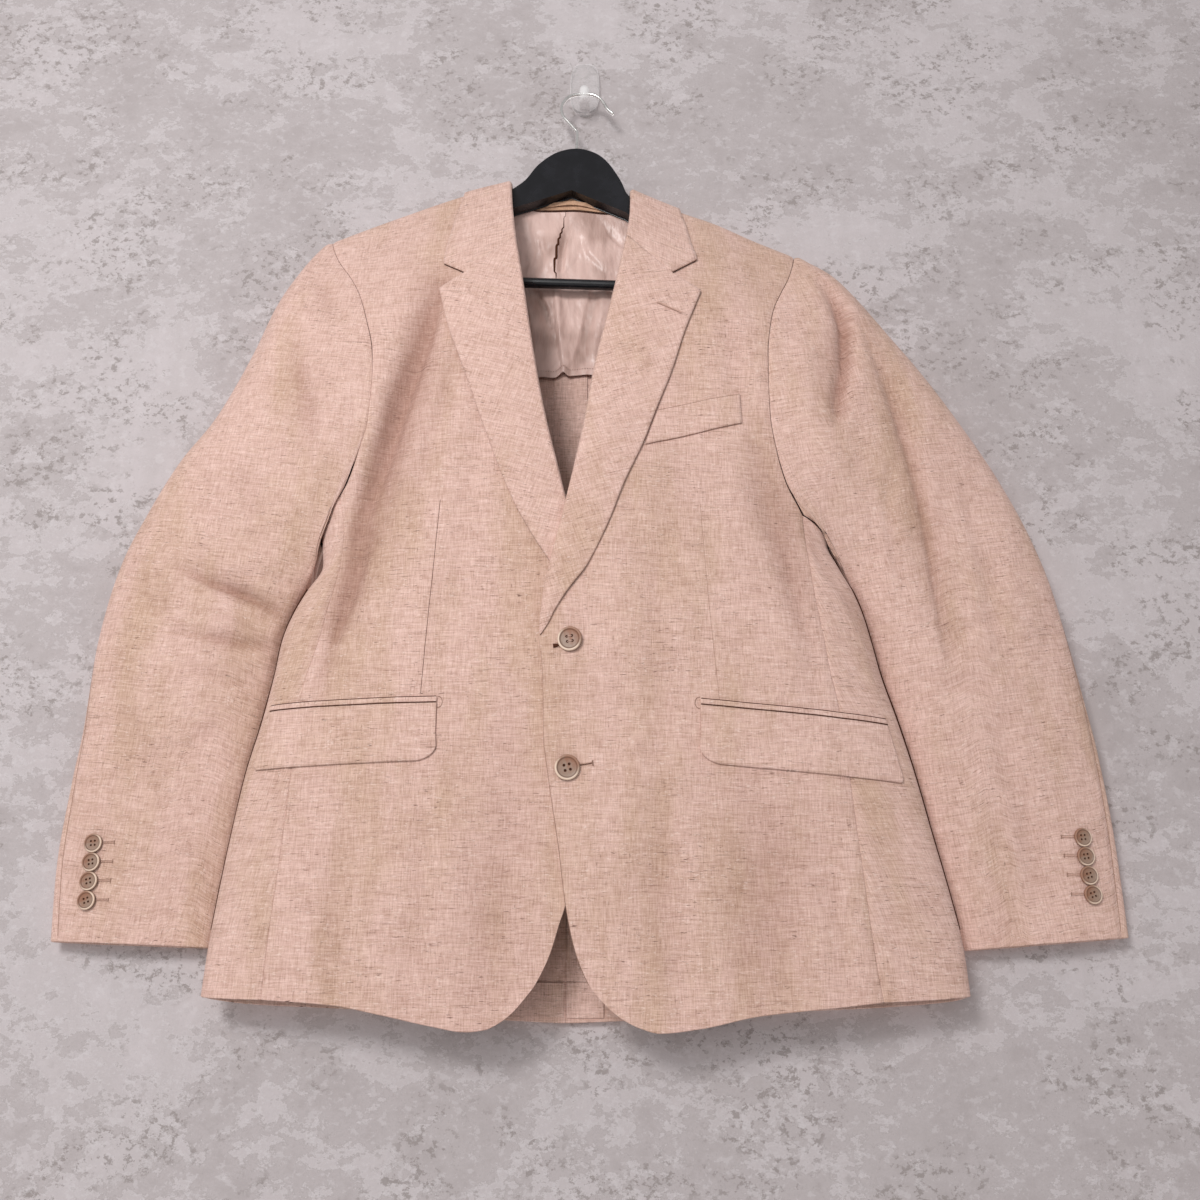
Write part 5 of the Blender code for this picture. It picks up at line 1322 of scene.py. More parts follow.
@dataclass
class Sleeve:
    """A topsleeve and an undersleeve, from the armhole down to the cuff."""

    half: Half
    panels: Panels
    bulge: float = 2.2
    fore_seam: float = 193.0
    fore_start: float = 170.0
    grain_turn: float = 0.13
    settle_rows: float = 6.0
    head_roll: float = 1.6
    head_middle: tuple = (0, -45, -380)
    tuck: float = 9.0
    clear_of_body: float = 3.6
    faces: dict = field(default_factory=dict)
    hind_seam: "Line | None" = None

    def armhole(self) -> tuple[Array, Array]:
        """The armhole's points from the shoulder's end round the front, and their degrees.

        Returns:
            The points, and the degrees of each.
        """
        g, foot, skip = self.panels.grids, FOOT * FINE, FINE // SLEEVE_FINE
        down = g["front"][foot:, -1][::-1][::skip]
        under = g["side"][-1][::skip]
        up = g["back"][foot:, -1][::skip]

        def spread(points: Array, start: float, end: float) -> Array:
            """Degrees for a run of points, in step with the way along it."""
            way = way_along(points)
            return mix(start, end, way / way[-1])

        loop = np.concatenate([down, under[1:-1], up])
        degrees = np.concatenate([spread(down, 0, 150)[:-1], spread(under, 150, 210), spread(up, 210, 360)[1:]])
        return loop, degrees

    def ideal(self, ring: list[Array], degrees: Array) -> Array:
        """Points of rings as plain ovals, 0 at the outer edge and 90 in front.

        Args:
            ring: The rings' numbers, each by row.
            degrees: The columns' places round the arm.

        Returns:
            The points, in millimetres.
        """
        c, s = np.cos(np.radians(degrees)), np.sin(np.radians(degrees))
        across = np.sign(c) * np.abs(c) ** (2 / self.bulge)
        out = np.sign(s) * np.abs(s) ** (2 / self.bulge)
        share = (1 - across) / 2
        outer_x, outer_z, outer_y, inner_x, inner_z, inner_y, depth = ring[:7]
        return np.stack([
            mix(outer_x, inner_x, share), mix(outer_y, inner_y, share) - depth * out,
            mix(outer_z, inner_z, share),
        ], -1)

    def grid(self, rows: Array, places: Array, under: bool, loop: Array, degrees: Array,
             hind: int, fore: int) -> tuple[Array, Array]:
        """One panel's outer face and the depth of its folds.

        Args:
            rows: Fractional ring numbers.
            places: The armhole's points that the columns start at.
            under: True for the undersleeve.
            loop: The armhole's points.
            degrees: Their places round the arm.
            hind: The number of the hind seam's point.
            fore: The number of the fore seam's point.

        Returns:
            The grid and its valleys.
        """
        half = self.half
        n = rows[:, None]
        turn = 0 if under else 360
        at = np.where((places >= hind) & (not under), degrees[places] - turn, degrees[places])
        to_fore = mix(degrees[fore], self.fore_seam, np.minimum(n / self.settle_rows, 1))
        seam = HIND_SEAM(n)
        first, last = (to_fore, seam + 360) if under else (seam, to_fore)
        even = np.arange(len(places)) / (len(places) - 1)
        share = mix((at - at[0]) / (at[-1] - at[0]), even, np.minimum(n / self.settle_rows, 1))
        here = mix(at, mix(first, last, share), np.minimum(n / 4, 1))
        rings = half.sleeve_rings()
        ring = [Curve(range(len(rings)), column)(n) for column in zip(*rings)]
        keep = ring[7]
        offsets = loop - self.ideal([np.float64(v) for v in rings[0]], degrees)
        point = self.ideal(ring, here) + offsets[places] * keep[..., None]
        x, z = point[..., 0].copy(), point[..., 2].copy()
        facing = np.maximum(np.sin(np.radians(here)), 0)
        away = np.maximum(-np.sin(np.radians(here)), 0)
        reach = 1 - keep**4
        folds = pushed(SLEEVE_FOLDS + SLEEVE_CREASES, x, z) * facing * reach
        hidden = pushed(UNDERSLEEVE_CREASES, x, z) * away * reach
        point[..., 1] += folds - hidden
        self.roll_head(point, n, np.cos(np.radians(degrees[places])))
        beside = half.sign * (point[..., 0] - BODY.rim_x(half.sign, 0 * x, point[..., 2]))
        crevice = np.exp(-(((beside - 2.0) / 5.0) ** 2)) * eased((half.seam[-1][0] - 30 - point[..., 2]) / 50)
        tucked = self.tuck * crevice * facing
        point[..., 1] += tucked
        # The crevice beside the body counts as fold depth, so the finish paints shade into it.
        folds = folds + tucked
        self.press_clear(point, n)
        return point, np.clip((folds + hidden) / 9, 0, 1)

    def roll_head(self, point: Array, n: Array, crown: Array) -> None:
        """Raise a panel's head in a soft roll, and draw its foot clear of the armhole.

        Args:
            point: The panel's points, which are moved.
            n: The rows' ring numbers.
            crown: 1 at the armhole's top and -1 at its foot, by column.
        """
        quarter = math.pi / 2
        head = np.where(n < 1, np.sin(quarter * np.clip(n, 0, 1)), np.maximum(np.cos(quarter * (n - 1)), 0))
        head = np.where(n < 2, head, 0) * np.maximum(crown, 0) ** 0.5
        out = point - np.array(self.head_middle)
        out[..., 0] = 0
        point += unit(out) * (self.head_roll * head)[..., None]
        point[..., 0] += self.half.sign * (0.15 + 0.9 * np.maximum(-crown, 0)) * np.maximum(1 - n, 0)

    def press_clear(self, point: Array, n: Array) -> None:
        """Push a panel's points out to a little clear of the body, softly, below the armhole.

        Args:
            point: The panel's points, which are moved.
            n: The rows' ring numbers.
        """
        half = self.half
        edge = BODY.reach(point[..., 1], point[..., 2], half.sign, np.minimum(1.3 * n, self.clear_of_body))
        inside = half.sign * (edge - point[..., 0])
        lower = eased((half.seam[-1][0] + 16 - point[..., 2]) / 18) * np.minimum(n * 4, 1)
        pressed = (inside + np.hypot(inside, 2.4 * np.minimum(n, 1))) / 2
        point[..., 0] += half.sign * pressed * lower

    def build(self, finish: Finish) -> None:
        """Make the two panels.

        Args:
            finish: The finish that it takes.
        """
        loop, degrees = self.armhole()
        coarse = np.arange(0, len(loop), SLEEVE_FINE)
        hind = int(coarse[np.argmin(np.abs(degrees[coarse] - 360 - HIND_SEAM.values[0]))])
        fore = int(coarse[np.argmin(np.abs(degrees[coarse] - self.fore_start))])
        rows = np.concatenate([np.linspace(0, 1, 5)[:-1], np.linspace(1, 4, 19)[:-1], np.linspace(4, 15, 144)])
        top = np.concatenate([np.arange(hind, len(loop) - 1), np.arange(fore + 1)])
        for kind, places in (("topsleeve", top), ("undersleeve", np.arange(fore, hind + 1))):
            face, valley = self.grid(rows, places, kind == "undersleeve", loop, degrees, hind, fore)
            wall = Wall.of_face(
                f"{kind}_{self.half.arm.word}", face, SLEEVE_CLOTH, self.half.sign,
                (Edge.BOTTOM, Edge.FIRST, Edge.LAST), 0.5, valley=valley, grain=self.grain_turn * self.half.sign,
            )
            self.faces[kind] = wall
            # The topsleeve's hind seam gets a cord of painted shade along it.
            if kind == "topsleeve":
                out = wall.normals(wall.outer, self.half.sign)[60::3, 1]
                self.hind_seam = Line(wall.outer[60::3, 1] + out * 0.1, out)
            hang_cloth(wall, finish)

    def foot_at(self, x: float, z: float) -> tuple[Array, Array]:
        """The point of the topsleeve's front over a place, and the way out of the cloth there.

        Args:
            x: The place across, in millimetres.
            z: The height, in millimetres.

        Returns:
            The point and the way out.
        """
        wall = self.faces["topsleeve"]
        out = wall.normals(wall.outer, self.half.sign)
        away = np.hypot(wall.outer[..., 0] - x, wall.outer[..., 2] - z) + np.where(out[..., 1] > -0.3, 1e6, 0)
        i = np.unravel_index(np.argmin(away), away.shape)
        p, way = wall.outer[i], out[i]
        y = p[1] - ((x - p[0]) * way[0] + (z - p[2]) * way[2]) / way[1]
        return np.array([x, y, z]), way


# ---------------------------------------------------------------- collar and lapels


@dataclass(frozen=True)
class Leaf:
    """The section of a turned leaf of cloth: its stand, its roll and the flat leaf."""

    @staticmethod
    def turned_edge(stand: Array) -> tuple[Array, Array]:
        """The way along the stand, the way along the leaf and the height, of both faces.

        Args:
            stand: The stand's height, by row.

        Returns:
            The outer face's rows and the inner face's.
        """
        tall = eased(stand / 8)
        stand = np.maximum(stand, 0.3)
        zero, one = np.zeros_like(tall), np.ones_like(tall)
        outer = (
            (stand, zero, -2.0 * one), (mix(0.12, stand * 0.55, tall), zero, mix(-1.2, -2.0, tall)),
            (mix(0.0, 1.6, tall), zero, mix(-0.4, -1.7, tall)), (zero, zero, mix(0.6, 0.1, tall)),
            (zero, 0.8 * one, 2.3 * one), (zero, 2.8 * one, LEAF * one),
        )
        inner = (
            (np.maximum(stand, 2.3), zero, mix(-2.0, 0.0, tall)),
            (mix(2.3, stand * 0.55, tall), zero, mix(-1.2, 0.0, tall)),
            (mix(2.3, 3.2, tall), zero, mix(-0.4, 0.1, tall)),
            (zero, mix(2.25, 2.5, tall), mix(0.4, 0.6, tall)),
            (zero, 2.7 * one, 1.0 * one), (zero, 3.4 * one, (LEAF - CLOTH) * one),
        )
        return tuple(np.stack([np.stack(p, -1) for p in face], 1) for face in (outer, inner))

    def rows(self, roll: Array, seam: Array, knee: Array, edge: Array, stand: Array,
             tips: Sequence[float]) -> tuple[Array, Array]:
        """The places and heights across a leaf, as three numbers each.

        Args:
            roll: Where the leaf turns over, as pairs of the form's coordinates.
            seam: Where its stand meets the body.
            knee: The end of the leaf's first part.
            edge: The leaf's edge.
            stand: The stand's height.
            tips: Places from the knee to the edge.

        Returns:
            The outer and the inner face's places and heights.
        """
        to_seam, to_knee = seam - roll, knee - roll
        far = np.linalg.norm(to_seam, axis=1, keepdims=True)
        reach = np.linalg.norm(to_knee, axis=1, keepdims=True)
        seam_way = np.where(far > 2.5, to_seam / np.maximum(far, 1e-6), to_knee / reach)
        made = []
        for face, lower in zip(self.turned_edge(stand), (0.0, CLOTH)):
            columns = []
            for step in np.moveaxis(face, 1, 0):
                place = roll + seam_way * step[:, :1] + to_knee / reach * step[:, 1:2]
                columns.append(np.concatenate([place, step[:, 2:]], 1))
            for share in LEAF_STEPS:
                way = np.maximum(share, 4.4 / reach * (0.8 + share))
                height = np.full_like(reach, mix(LEAF, LEAF_EDGE, share * 0.63) - lower)
                columns.append(np.concatenate([roll + to_knee * way, height], 1))
            for share in tips:
                columns.append(np.concatenate([mix(knee, edge, share), np.full_like(reach, LEAF_EDGE - lower)], 1))
            made.append(np.stack(columns, 1))
        return made[0], made[1]


@dataclass
class Lapel:
    """A lapel, from the buttoned front up to the gorge."""

    half: Half
    rows: int = 13
    across: int = 6
    belly: float = 1.4
    blunt_z: float = -616.0
    edge: "Line | None" = None

    def build(self, finish: Finish) -> None:
        """Make the lapel.

        Args:
            finish: The finish that it takes.
        """
        half = self.half
        foot, tip = half.roll[0][0], half.lapel[-1][0]
        n = fine_places(self.rows)
        rise = mix((self.blunt_z - foot) / (half.gorge_z - foot), 1.0, (n / self.rows) ** 1.1)
        roll_z, edge_z = mix(foot, half.gorge_z, rise), mix(foot, tip, rise)
        roll = np.stack([table_curve(half.roll)(roll_z), roll_z], 1)
        edge = np.stack([table_curve(half.lapel)(edge_z), edge_z], 1)
        knee = mix(roll, edge, KNEE)
        knee = mix(knee, np.array(half.notch), eased((rise - 0.86) / 0.14)[:, None])
        faces = Leaf().rows(roll, roll, knee, edge, np.zeros(len(n)), (0.5, 1.0))
        columns = [0, *range(3, 11)]
        at = fine_places(len(columns) - 1, self.across)
        swell = self.belly * np.sin(math.pi * np.clip((at - 3) / 5, 0, 1))
        swell = swell * np.sin(math.pi * np.clip(rise, 0, 1))[:, None] ** 0.5
        fine = [refined(face[:, columns], at, axis=1) for face in faces]
        grids = [raised(half_form(half, calm=True), f[..., 0], f[..., 1], f[..., 2] + swell) for f in fine]
        if half.turn_in[0] >= 0:
            grids = [self.pointed(grid, height) for grid, height in zip(grids, (2.0, 0.7))]
        wall = Wall(f"lapel_{half.arm.word}", *grids, grain=half.sign * 0.28)
        self.edge = cloth_edge(
            wall, np.concatenate([wall.outer[:, -1], wall.outer[-1, :10:-1]]),
            np.concatenate([wall.inner[:, -1], wall.inner[-1, :10:-1]]),
        )
        hang_cloth(wall, finish)

    def pointed(self, grid: Array, height: float) -> Array:
        """A face with rows added below it that run out to the lapel's point.

        Args:
            grid: The face's points.
            height: How far the point stands off the cloth under it.

        Returns:
            The face with its added rows.
        """
        z, x = self.half.roll[0]
        point = raised(half_form(self.half, calm=True), x + 0.6, z + 1.0, height)
        share = np.linspace(0.04, 1, 16)[:-1, None, None]
        bow = np.linspace(-1, 1, grid.shape[1])[None, :, None] * np.array([0.9, 0, 0])
        added = mix(point, grid[0], share) + bow * np.sin(math.pi * share)
        return np.concatenate([added, grid])


@dataclass
class Collar:
    """The collar, from one notch round the back of the neck to the other."""

    across: int = 5
    edge: "Line | None" = None

    @staticmethod
    def half_rows(half: Half, number: Array) -> tuple[Array, Array]:
        """The places and heights across the collar at fractional stations of one half.

        Args:
            half: The half of the jacket.
            number: The fractional stations.

        Returns:
            The outer face's rows and the inner face's.
        """
        roll_x, roll_way, edge_x, edge_way = (Curve(range(10), column)(number) for column in zip(*half.collar))
        first, second = (np.array(station[2:]) for station in half.collar[:2])
        edge_x = np.where(number < 1, mix(first[0], second[0], number), edge_x)
        edge_way = np.where(number < 1, mix(first[1], second[1], number), edge_way)
        drop = RIDGE(edge_x) - COLLAR_EDGE(edge_x)
        edge_way = np.where(number > 6, BODY.way_of(drop), edge_way)
        z = RIDGE(roll_x) - BODY.drop_of(roll_way)
        seam_x = half.inner_edge(z) - half.sign * (SEAM + 0.35)
        back_x = Curve(range(5, 10), half.collar_seam)(number)
        seam = np.where(
            (number < 5)[:, None], np.stack([seam_x, roll_way], 1),
            np.stack([back_x, BODY.way_of(RIDGE(back_x) - NECK(back_x) - 1.0)], 1),
        )
        roll, edge = np.stack([roll_x, roll_way], 1), np.stack([edge_x, edge_way], 1)
        stand = np.linalg.norm(seam - roll, axis=1)
        return Leaf().rows(roll, seam, edge, edge, np.where(stand < 2.5, 0.0, stand), ())

    def build(self, finish: Finish) -> None:
        """Make the collar.

        Args:
            finish: The finish that it takes.
        """
        number = stepped(COLLAR_ROWS, fine_places(len(COLLAR_ROWS) - 1, 8))
        left, right = (self.half_rows(half, number) for half in HALVES)
        grids = []
        for a, b in zip(left, right):
            rows = np.concatenate([a, b[-2::-1]])
            fine = refined(rows, fine_places(rows.shape[1] - 1, self.across), axis=1)
            grids.append(raised(BODY.shoulder, fine[..., 0], fine[..., 1], fine[..., 2]))
        wall = Wall("collar", *grids, flat=fine[..., :2])
        self.edge = cloth_edge(wall, wall.outer[:, -1], wall.inner[:, -1])
        hang_cloth(wall, finish)


# ---------------------------------------------------------------- pockets

POCKET_COLUMNS = (0, 0.012, 0.035, 0.07, 0.13, 0.25, 0.38, 0.5, 0.62, 0.74, 0.86, 0.95, 1.0)


@dataclass
class Pocket:
    """A flap pocket on a front: the flap and the jet along its top."""

    half: Half
    corner_round: float = 11.0
    jet_height: float = 4.4
    jet_foot: float = 0.4
    flap_thick: float = 1.5
    jet_thick: float = 1.7
    # Lines of the cords of painted shade along the jet's edges.
    seams: list = field(default_factory=list)

    def piece(self, name: str, corners: Sequence, thick: float, rows: Array, rounded: bool) -> Wall:
        """A small piece between four corners, bent round the body towards its side.

        Args:
            name: The piece's name.
            corners: x and z of the top inner, top outer, low outer and low inner corner.
            thick: Its thickness.
            rows: Its rows' places, from 0 at the foot to 1 at the top.
            rounded: True to round its lower corners.

        Returns:
            The wall of cloth.
        """
        half, form = self.half, half_form(self.half)
        (ax, az), (bx, bz), (cx, cz), (dx, dz) = corners
        up = rows[:, None]
        share = stepped(POCKET_COLUMNS, fine_places(len(POCKET_COLUMNS) - 1, 6))
        inner_z, outer_z, inner_x = mix(dz, az, up), mix(cz, bz, up), mix(dx, ax, up)
        first = BODY.rim_angle(inner_x, inner_z)
        angle = mix(first, half.pocket_end, share)
        rim = BODY.rim_x(half.sign, angle, inner_z)
        across = (rim - rim[:, :1]) / (rim[:, -1:] - rim[:, :1])
        z = mix(inner_z, outer_z, across)
        if rounded:
            length = abs(cx - dx)
            for place, size in ((share, self.corner_round), (1 - across, 4.0)):
                cut = np.clip(1 - place * length / size, 0, 1)
                z = z + size * (1 - np.sqrt(1 - cut * cut)) * np.maximum(1 - up / 0.5, 0)

        def at(angle: Array, z: Array) -> Array:
            """A point of the front by its angle round the body."""
            return form(BODY.rim_x(half.sign, angle, z), z)

        def off(height: float) -> Array:
            """The piece's grid at a height off the front.

            Args:
                height: How far off the front they lie.

            Returns:
                The points, in millimetres.
            """
            step = 0.015
            round_way = at(angle - step, z) - at(angle + step, z)
            up_way = at(angle, z + 1.5) - at(angle, z - 1.5)
            return at(angle, z) + unit(np.cross(round_way, up_way)) * half.sign * height

        return Wall(name, off(ON_FRONT + thick), off(ON_FRONT))

    def build(self, finish: Finish) -> None:
        """Make the flap and the jet.

        Args:
            finish: The finish that it takes.
        """
        word, flap = self.half.arm.word, self.half.flap
        (ax, az), (bx, bz) = flap[:2]
        high, low = self.jet_height, self.jet_foot
        jet = ((ax, az + high), (bx, bz + high), (bx, bz + low), (ax, az + low))
        hang_cloth(self.piece(f"flap_{word}", flap, self.flap_thick, np.linspace(0, 1, 25), True), finish)
        wall = self.piece(f"jet_{word}", jet, self.jet_thick, np.linspace(0, 1, 5), False)
        hang_cloth(wall, finish)
        out = wall.normals(wall.outer, -self.half.sign)
        out = np.where(out[..., 1:2] > 0, -out, out)
        # The jet's lower and upper edges, each with a dark cord of painted shade.
        for row, height, way in ((0, 0.2, -0.25), (-1, -0.25, 0.4)):
            self.seams.append(Line(wall.outer[row] + out[row] * height + [0, 0, way], out[row]))


@dataclass
class Welt:
    """The breast pocket's welt on the wearer's left front."""

    corners: tuple = ((66, -432.5), (138, -414.5), (138, -443), (54.5, -467.5))
    thick: float = 1.2

    def build(self, finish: Finish) -> None:
        """Make the welt.

        Args:
            finish: The finish that it takes.
        """
        (ax, az), (bx, bz), (cx, cz), (dx, dz) = self.corners
        up, share = np.linspace(0, 1, 15)[:, None], np.linspace(0, 1, 31)
        x = mix(mix(dx, cx, share), mix(ax, bx, share), up)
        z = mix(mix(dz, cz, share), mix(az, bz, share), up)
        faces = [raised(BODY.left_front, x, z, ON_FRONT + height) for height in (self.thick, 0)]
        hang_cloth(Wall("breast_welt", *faces), finish)


# ---------------------------------------------------------------- inside the neck


@dataclass
class NeckInside:
    """The half lining of the upper back, the facing band and the hanging loop."""

    left: float = -186.0
    right: float = 160.0
    hem_z: float = -356.0
    neck_sides: tuple = (-75.0, 52.0)
    under_ridge: float = 21.5
    rise: float = 7.0
    knot_x: float = -19.0
    knot_width: float = 4.5
    full_fold: float = 9.0
    pleat_places: tuple = ((-252, -27), (-232, -28), (-212, -26), (-188, -20), (-166, -18))
    pleat: Line | None = None
    hem_line: Line | None = None
    folds: tuple = (
        Crease(((-18, -168), (-20, -188), (-26, -212), (-28, -232), (-27, -250)), -5.5, 11.0, 0.0, -0.8),
        Crease(((-14, -168), (-16, -190), (-21, -215), (-22, -235)), 6.0, 4.0, 0.4, -0.4),
        Crease(((-27, -262), (-24, -300), (-18, -352)), -4.2, 4.0, 0.6, 0.6),
        Crease(((-44, -262), (-36, -280), (-31, -300)), 5.0, 4.0, 0.5, -0.6),
        Crease(((-60, -250), (-48, -300), (-44, -350)), -3.0, 8.0, 0.4),
        Crease(((-2, -190), (6, -215), (20, -232)), -4.0, 8.0, 0.5, 0.6),
        Crease(((18, -180), (26, -196), (36, -208)), 4.5, 4.0, 0.5, 0.6),
        Crease(((-50, -190), (-44, -215), (-50, -240)), 3.6, 7.0, 0.5, 0.5),
        Crease(((8, -262), (2, -300), (-8, -348)), 4.2, 6.0, 0.5, 0.6),
        Crease(((20, -270), (12, -300), (10, -340)), -2.0, 8.0, 0.4),
        Crease(((-120, -240), (-110, -300), (-104, -350)), -2.0, 14.0),
        Crease(((90, -250), (84, -300), (80, -350)), -2.0, 14.0),
        Ripple(59, 0.5, (14.0, 23.0, 40.0)),
    )

    def lining(self) -> Wall:
        """The half lining, with its centre pleat, its folds and its turned hem.

        Returns:
            The wall of cloth.
        """
        up, x = np.linspace(0, 1, 121)[:, None], np.linspace(self.left, self.right, 201)
        over_neck, under_ridge = NECK(x) - 1.0 + self.rise * self.arch(x), RIDGE(x) - self.under_ridge
        at_neck = (x > self.neck_sides[0]) & (x < self.neck_sides[1])
        top = np.where(at_neck, np.minimum(over_neck, under_ridge), under_ridge)
        knot = np.exp(-(((x - self.knot_x) / self.knot_width) ** 2))
        hem = self.hem_z + 0.4 * np.sin(x / 8.3) + 0.3 * np.sin(x / 3.1 + 1) + 5.0 * knot + 3.0 * eased((x + 16) / 8)
        z = mix(hem, top, up)
        free = np.sin(math.pi * np.clip(up * 0.9 + 0.12, 0, 1))
        loose = -pushed(self.folds, x + 0 * z, z) * free
        turned = 1.1 * eased((hem + 8 - z) / 1.5) + 2.2 * knot * eased((hem + 10 - z) / 4)
        grid = raised(BODY.calm_back, x, z, 0.0)
        inward = unit(raised(BODY.calm_back, x, z, 1.0) - grid)
        depth = CLOTH + 1.1 + LINING + self.stood_off(z) + np.maximum(loose + 2.2, 0) + turned
        grid = grid + inward * depth[..., None]
        # The line of a dark cord of painted shade in the pleat's opening, thickest near its middle.
        slit = table_curve(self.pleat_places)
        rows = np.arange(len(z))[(z[:, 120] < -170) & (z[:, 120] > -250)]
        columns = np.abs(x[None, :] - slit(z[rows, 120])[:, None]).argmin(1)
        share = np.linspace(0, math.pi, len(rows))
        self.pleat = Line(
            grid[rows, columns] + inward[rows, columns] * 0.1, inward[rows, columns],
            0.15 + np.sin(share) * (1.5 - share / 2.4),
        )
        self.hem_line = Line(grid[4] + inward[4] * 0.25, inward[4])
        return Wall.of_face("back_lining", grid, LINING, 1, gap=0.0, valley=np.clip(-loose / self.full_fold, 0, 1))

    @staticmethod
    def arch(x: Array) -> Array:
        """1 at the middle of the back of the neck and 0 at its sides."""
        return eased(1 - np.abs(x - BACK_SEAM_X) / 46)

    @staticmethod
    def stood_off(z: Array) -> Array:
        """How far the inside pieces stand off the back to clear the collar's stand."""
        return 3.2 * eased((z + 250) / 66)

    def band(self) -> Wall:
        """The facing band, which covers the collar's stand at the back of the neck.

        Returns:
            The wall of cloth.
        """
        x, share = np.linspace(-56, 34, 61), np.linspace(0, 1, 13)[:, None]
        z = mix(NECK(x) + 2.0 + self.rise * self.arch(x), RIDGE(x) - 13.0, share)
        z = np.minimum(z, RIDGE(x) - 12.0)
        grid = raised(BODY.calm_back, x, z, CLOTH + 2.9 + LINING + self.stood_off(z))
        return Wall.of_face("neck_facing", grid, LINING, 1, gap=0.0)

    def loop(self) -> Wall:
        """The hanging loop, which bows up from its two sewn ends.

        Returns:
            The wall of cloth.
        """
        share, edge = np.linspace(0, 1, 61), np.linspace(0, 4.0, 7)[:, None]
        bow = np.sin(math.pi * share)
        x = mix(-38, 14, share)
        z = NECK(x) + 4.6 + 5.0 * self.arch(x) + edge + 3.4 * bow
        z = np.minimum(z, RIDGE(x) - 14)
        grid = raised(BODY.calm_back, x, z, CLOTH + 3.3 + 2 * LINING + self.stood_off(z) + 1.2 * bow)
        return Wall.of_face("hanger_loop", grid, LINING, 1, gap=0.0)

    @staticmethod
    def strip(name: str, left: float, right: float, bottom: Callable, top: float, finish: Finish) -> None:
        """A turned-in edge of linen on the inside of the back.

        Args:
            name: The piece's name.
            left: x of its one end.
            right: x of its other end.
            bottom: z of its foot by x.
            top: z of its top.
            finish: The finish that it takes.
        """
        x, up = np.linspace(left, right, 25), np.linspace(0, 1, 61)[:, None]
        z = mix(bottom(x), top + 0 * x, up)
        thick = 0.9
        wall = Wall.of_face(name, raised(BODY.calm_back, x, z, CLOTH + 0.25 + thick), thick, 1, gap=0.0)
        width, length, area = wall.lengths()
        piece = dress(wall.build(), finish)

    def build(self, satin: Finish, facing: Finish) -> None:
        """Make the pieces inside the neck.

        Args:
            satin: The lining's finish.
            facing: The facing's and the loop's finish.
        """
        hang_cloth(self.lining(), satin, Slot.LINING)
        hang_cloth(self.band(), facing, Slot.FACING)
        hang_cloth(self.loop(), facing, Slot.FACING)

    def seams(self, linen: Finish) -> None:
        """Make the turned-in edges of the back that show from the front.

        Args:
            linen: The finish that they take.
        """
        level = Curve((-300, 300), (HEM_BACK_Z + 4.0, HEM_BACK_Z + 4.0))
        self.strip("back_seam_allowance", -27, 4, Curve((-300, 300), (-704, -704)), self.hem_z + 12, linen)
        self.strip("back_hem_right", -110, -12.5, level, -900, linen)
        self.strip("back_hem_left", 21, 100, level, -901, linen)


# ---------------------------------------------------------------- finishes


class Nodes:
    """A node tree that is written as plain steps."""

    tree: bpy.types.NodeTree

    def add(self, kind: str, inputs: dict | None = None, **settings: object) -> bpy.types.Node:
        """Add a node.

        Args:
            kind: The node's type.
            inputs: Values or sockets, by the input's name or number.
            settings: The node's own settings.

        Returns:
            The node.
        """
        node = self.tree.nodes.new(kind)
        for name, value in settings.items():
            setattr(node, name, value)
        for key, value in (inputs or {}).items():
            if isinstance(value, Socket):
                self.tree.links.new(value, node.inputs[key])
            else:
                node.inputs[key].default_value = value
        return node

    def step(self, kind: str, inputs: dict | None = None, **settings: object) -> Socket:
        """Add a node and give its first result."""
        return self.add(kind, inputs, **settings).outputs[0]

    def math(self, operation: str, a: object, b: object = 0.0) -> Socket:
        """One step of arithmetic."""
        return self.step("ShaderNodeMath", {0: a, 1: b}, operation=operation)


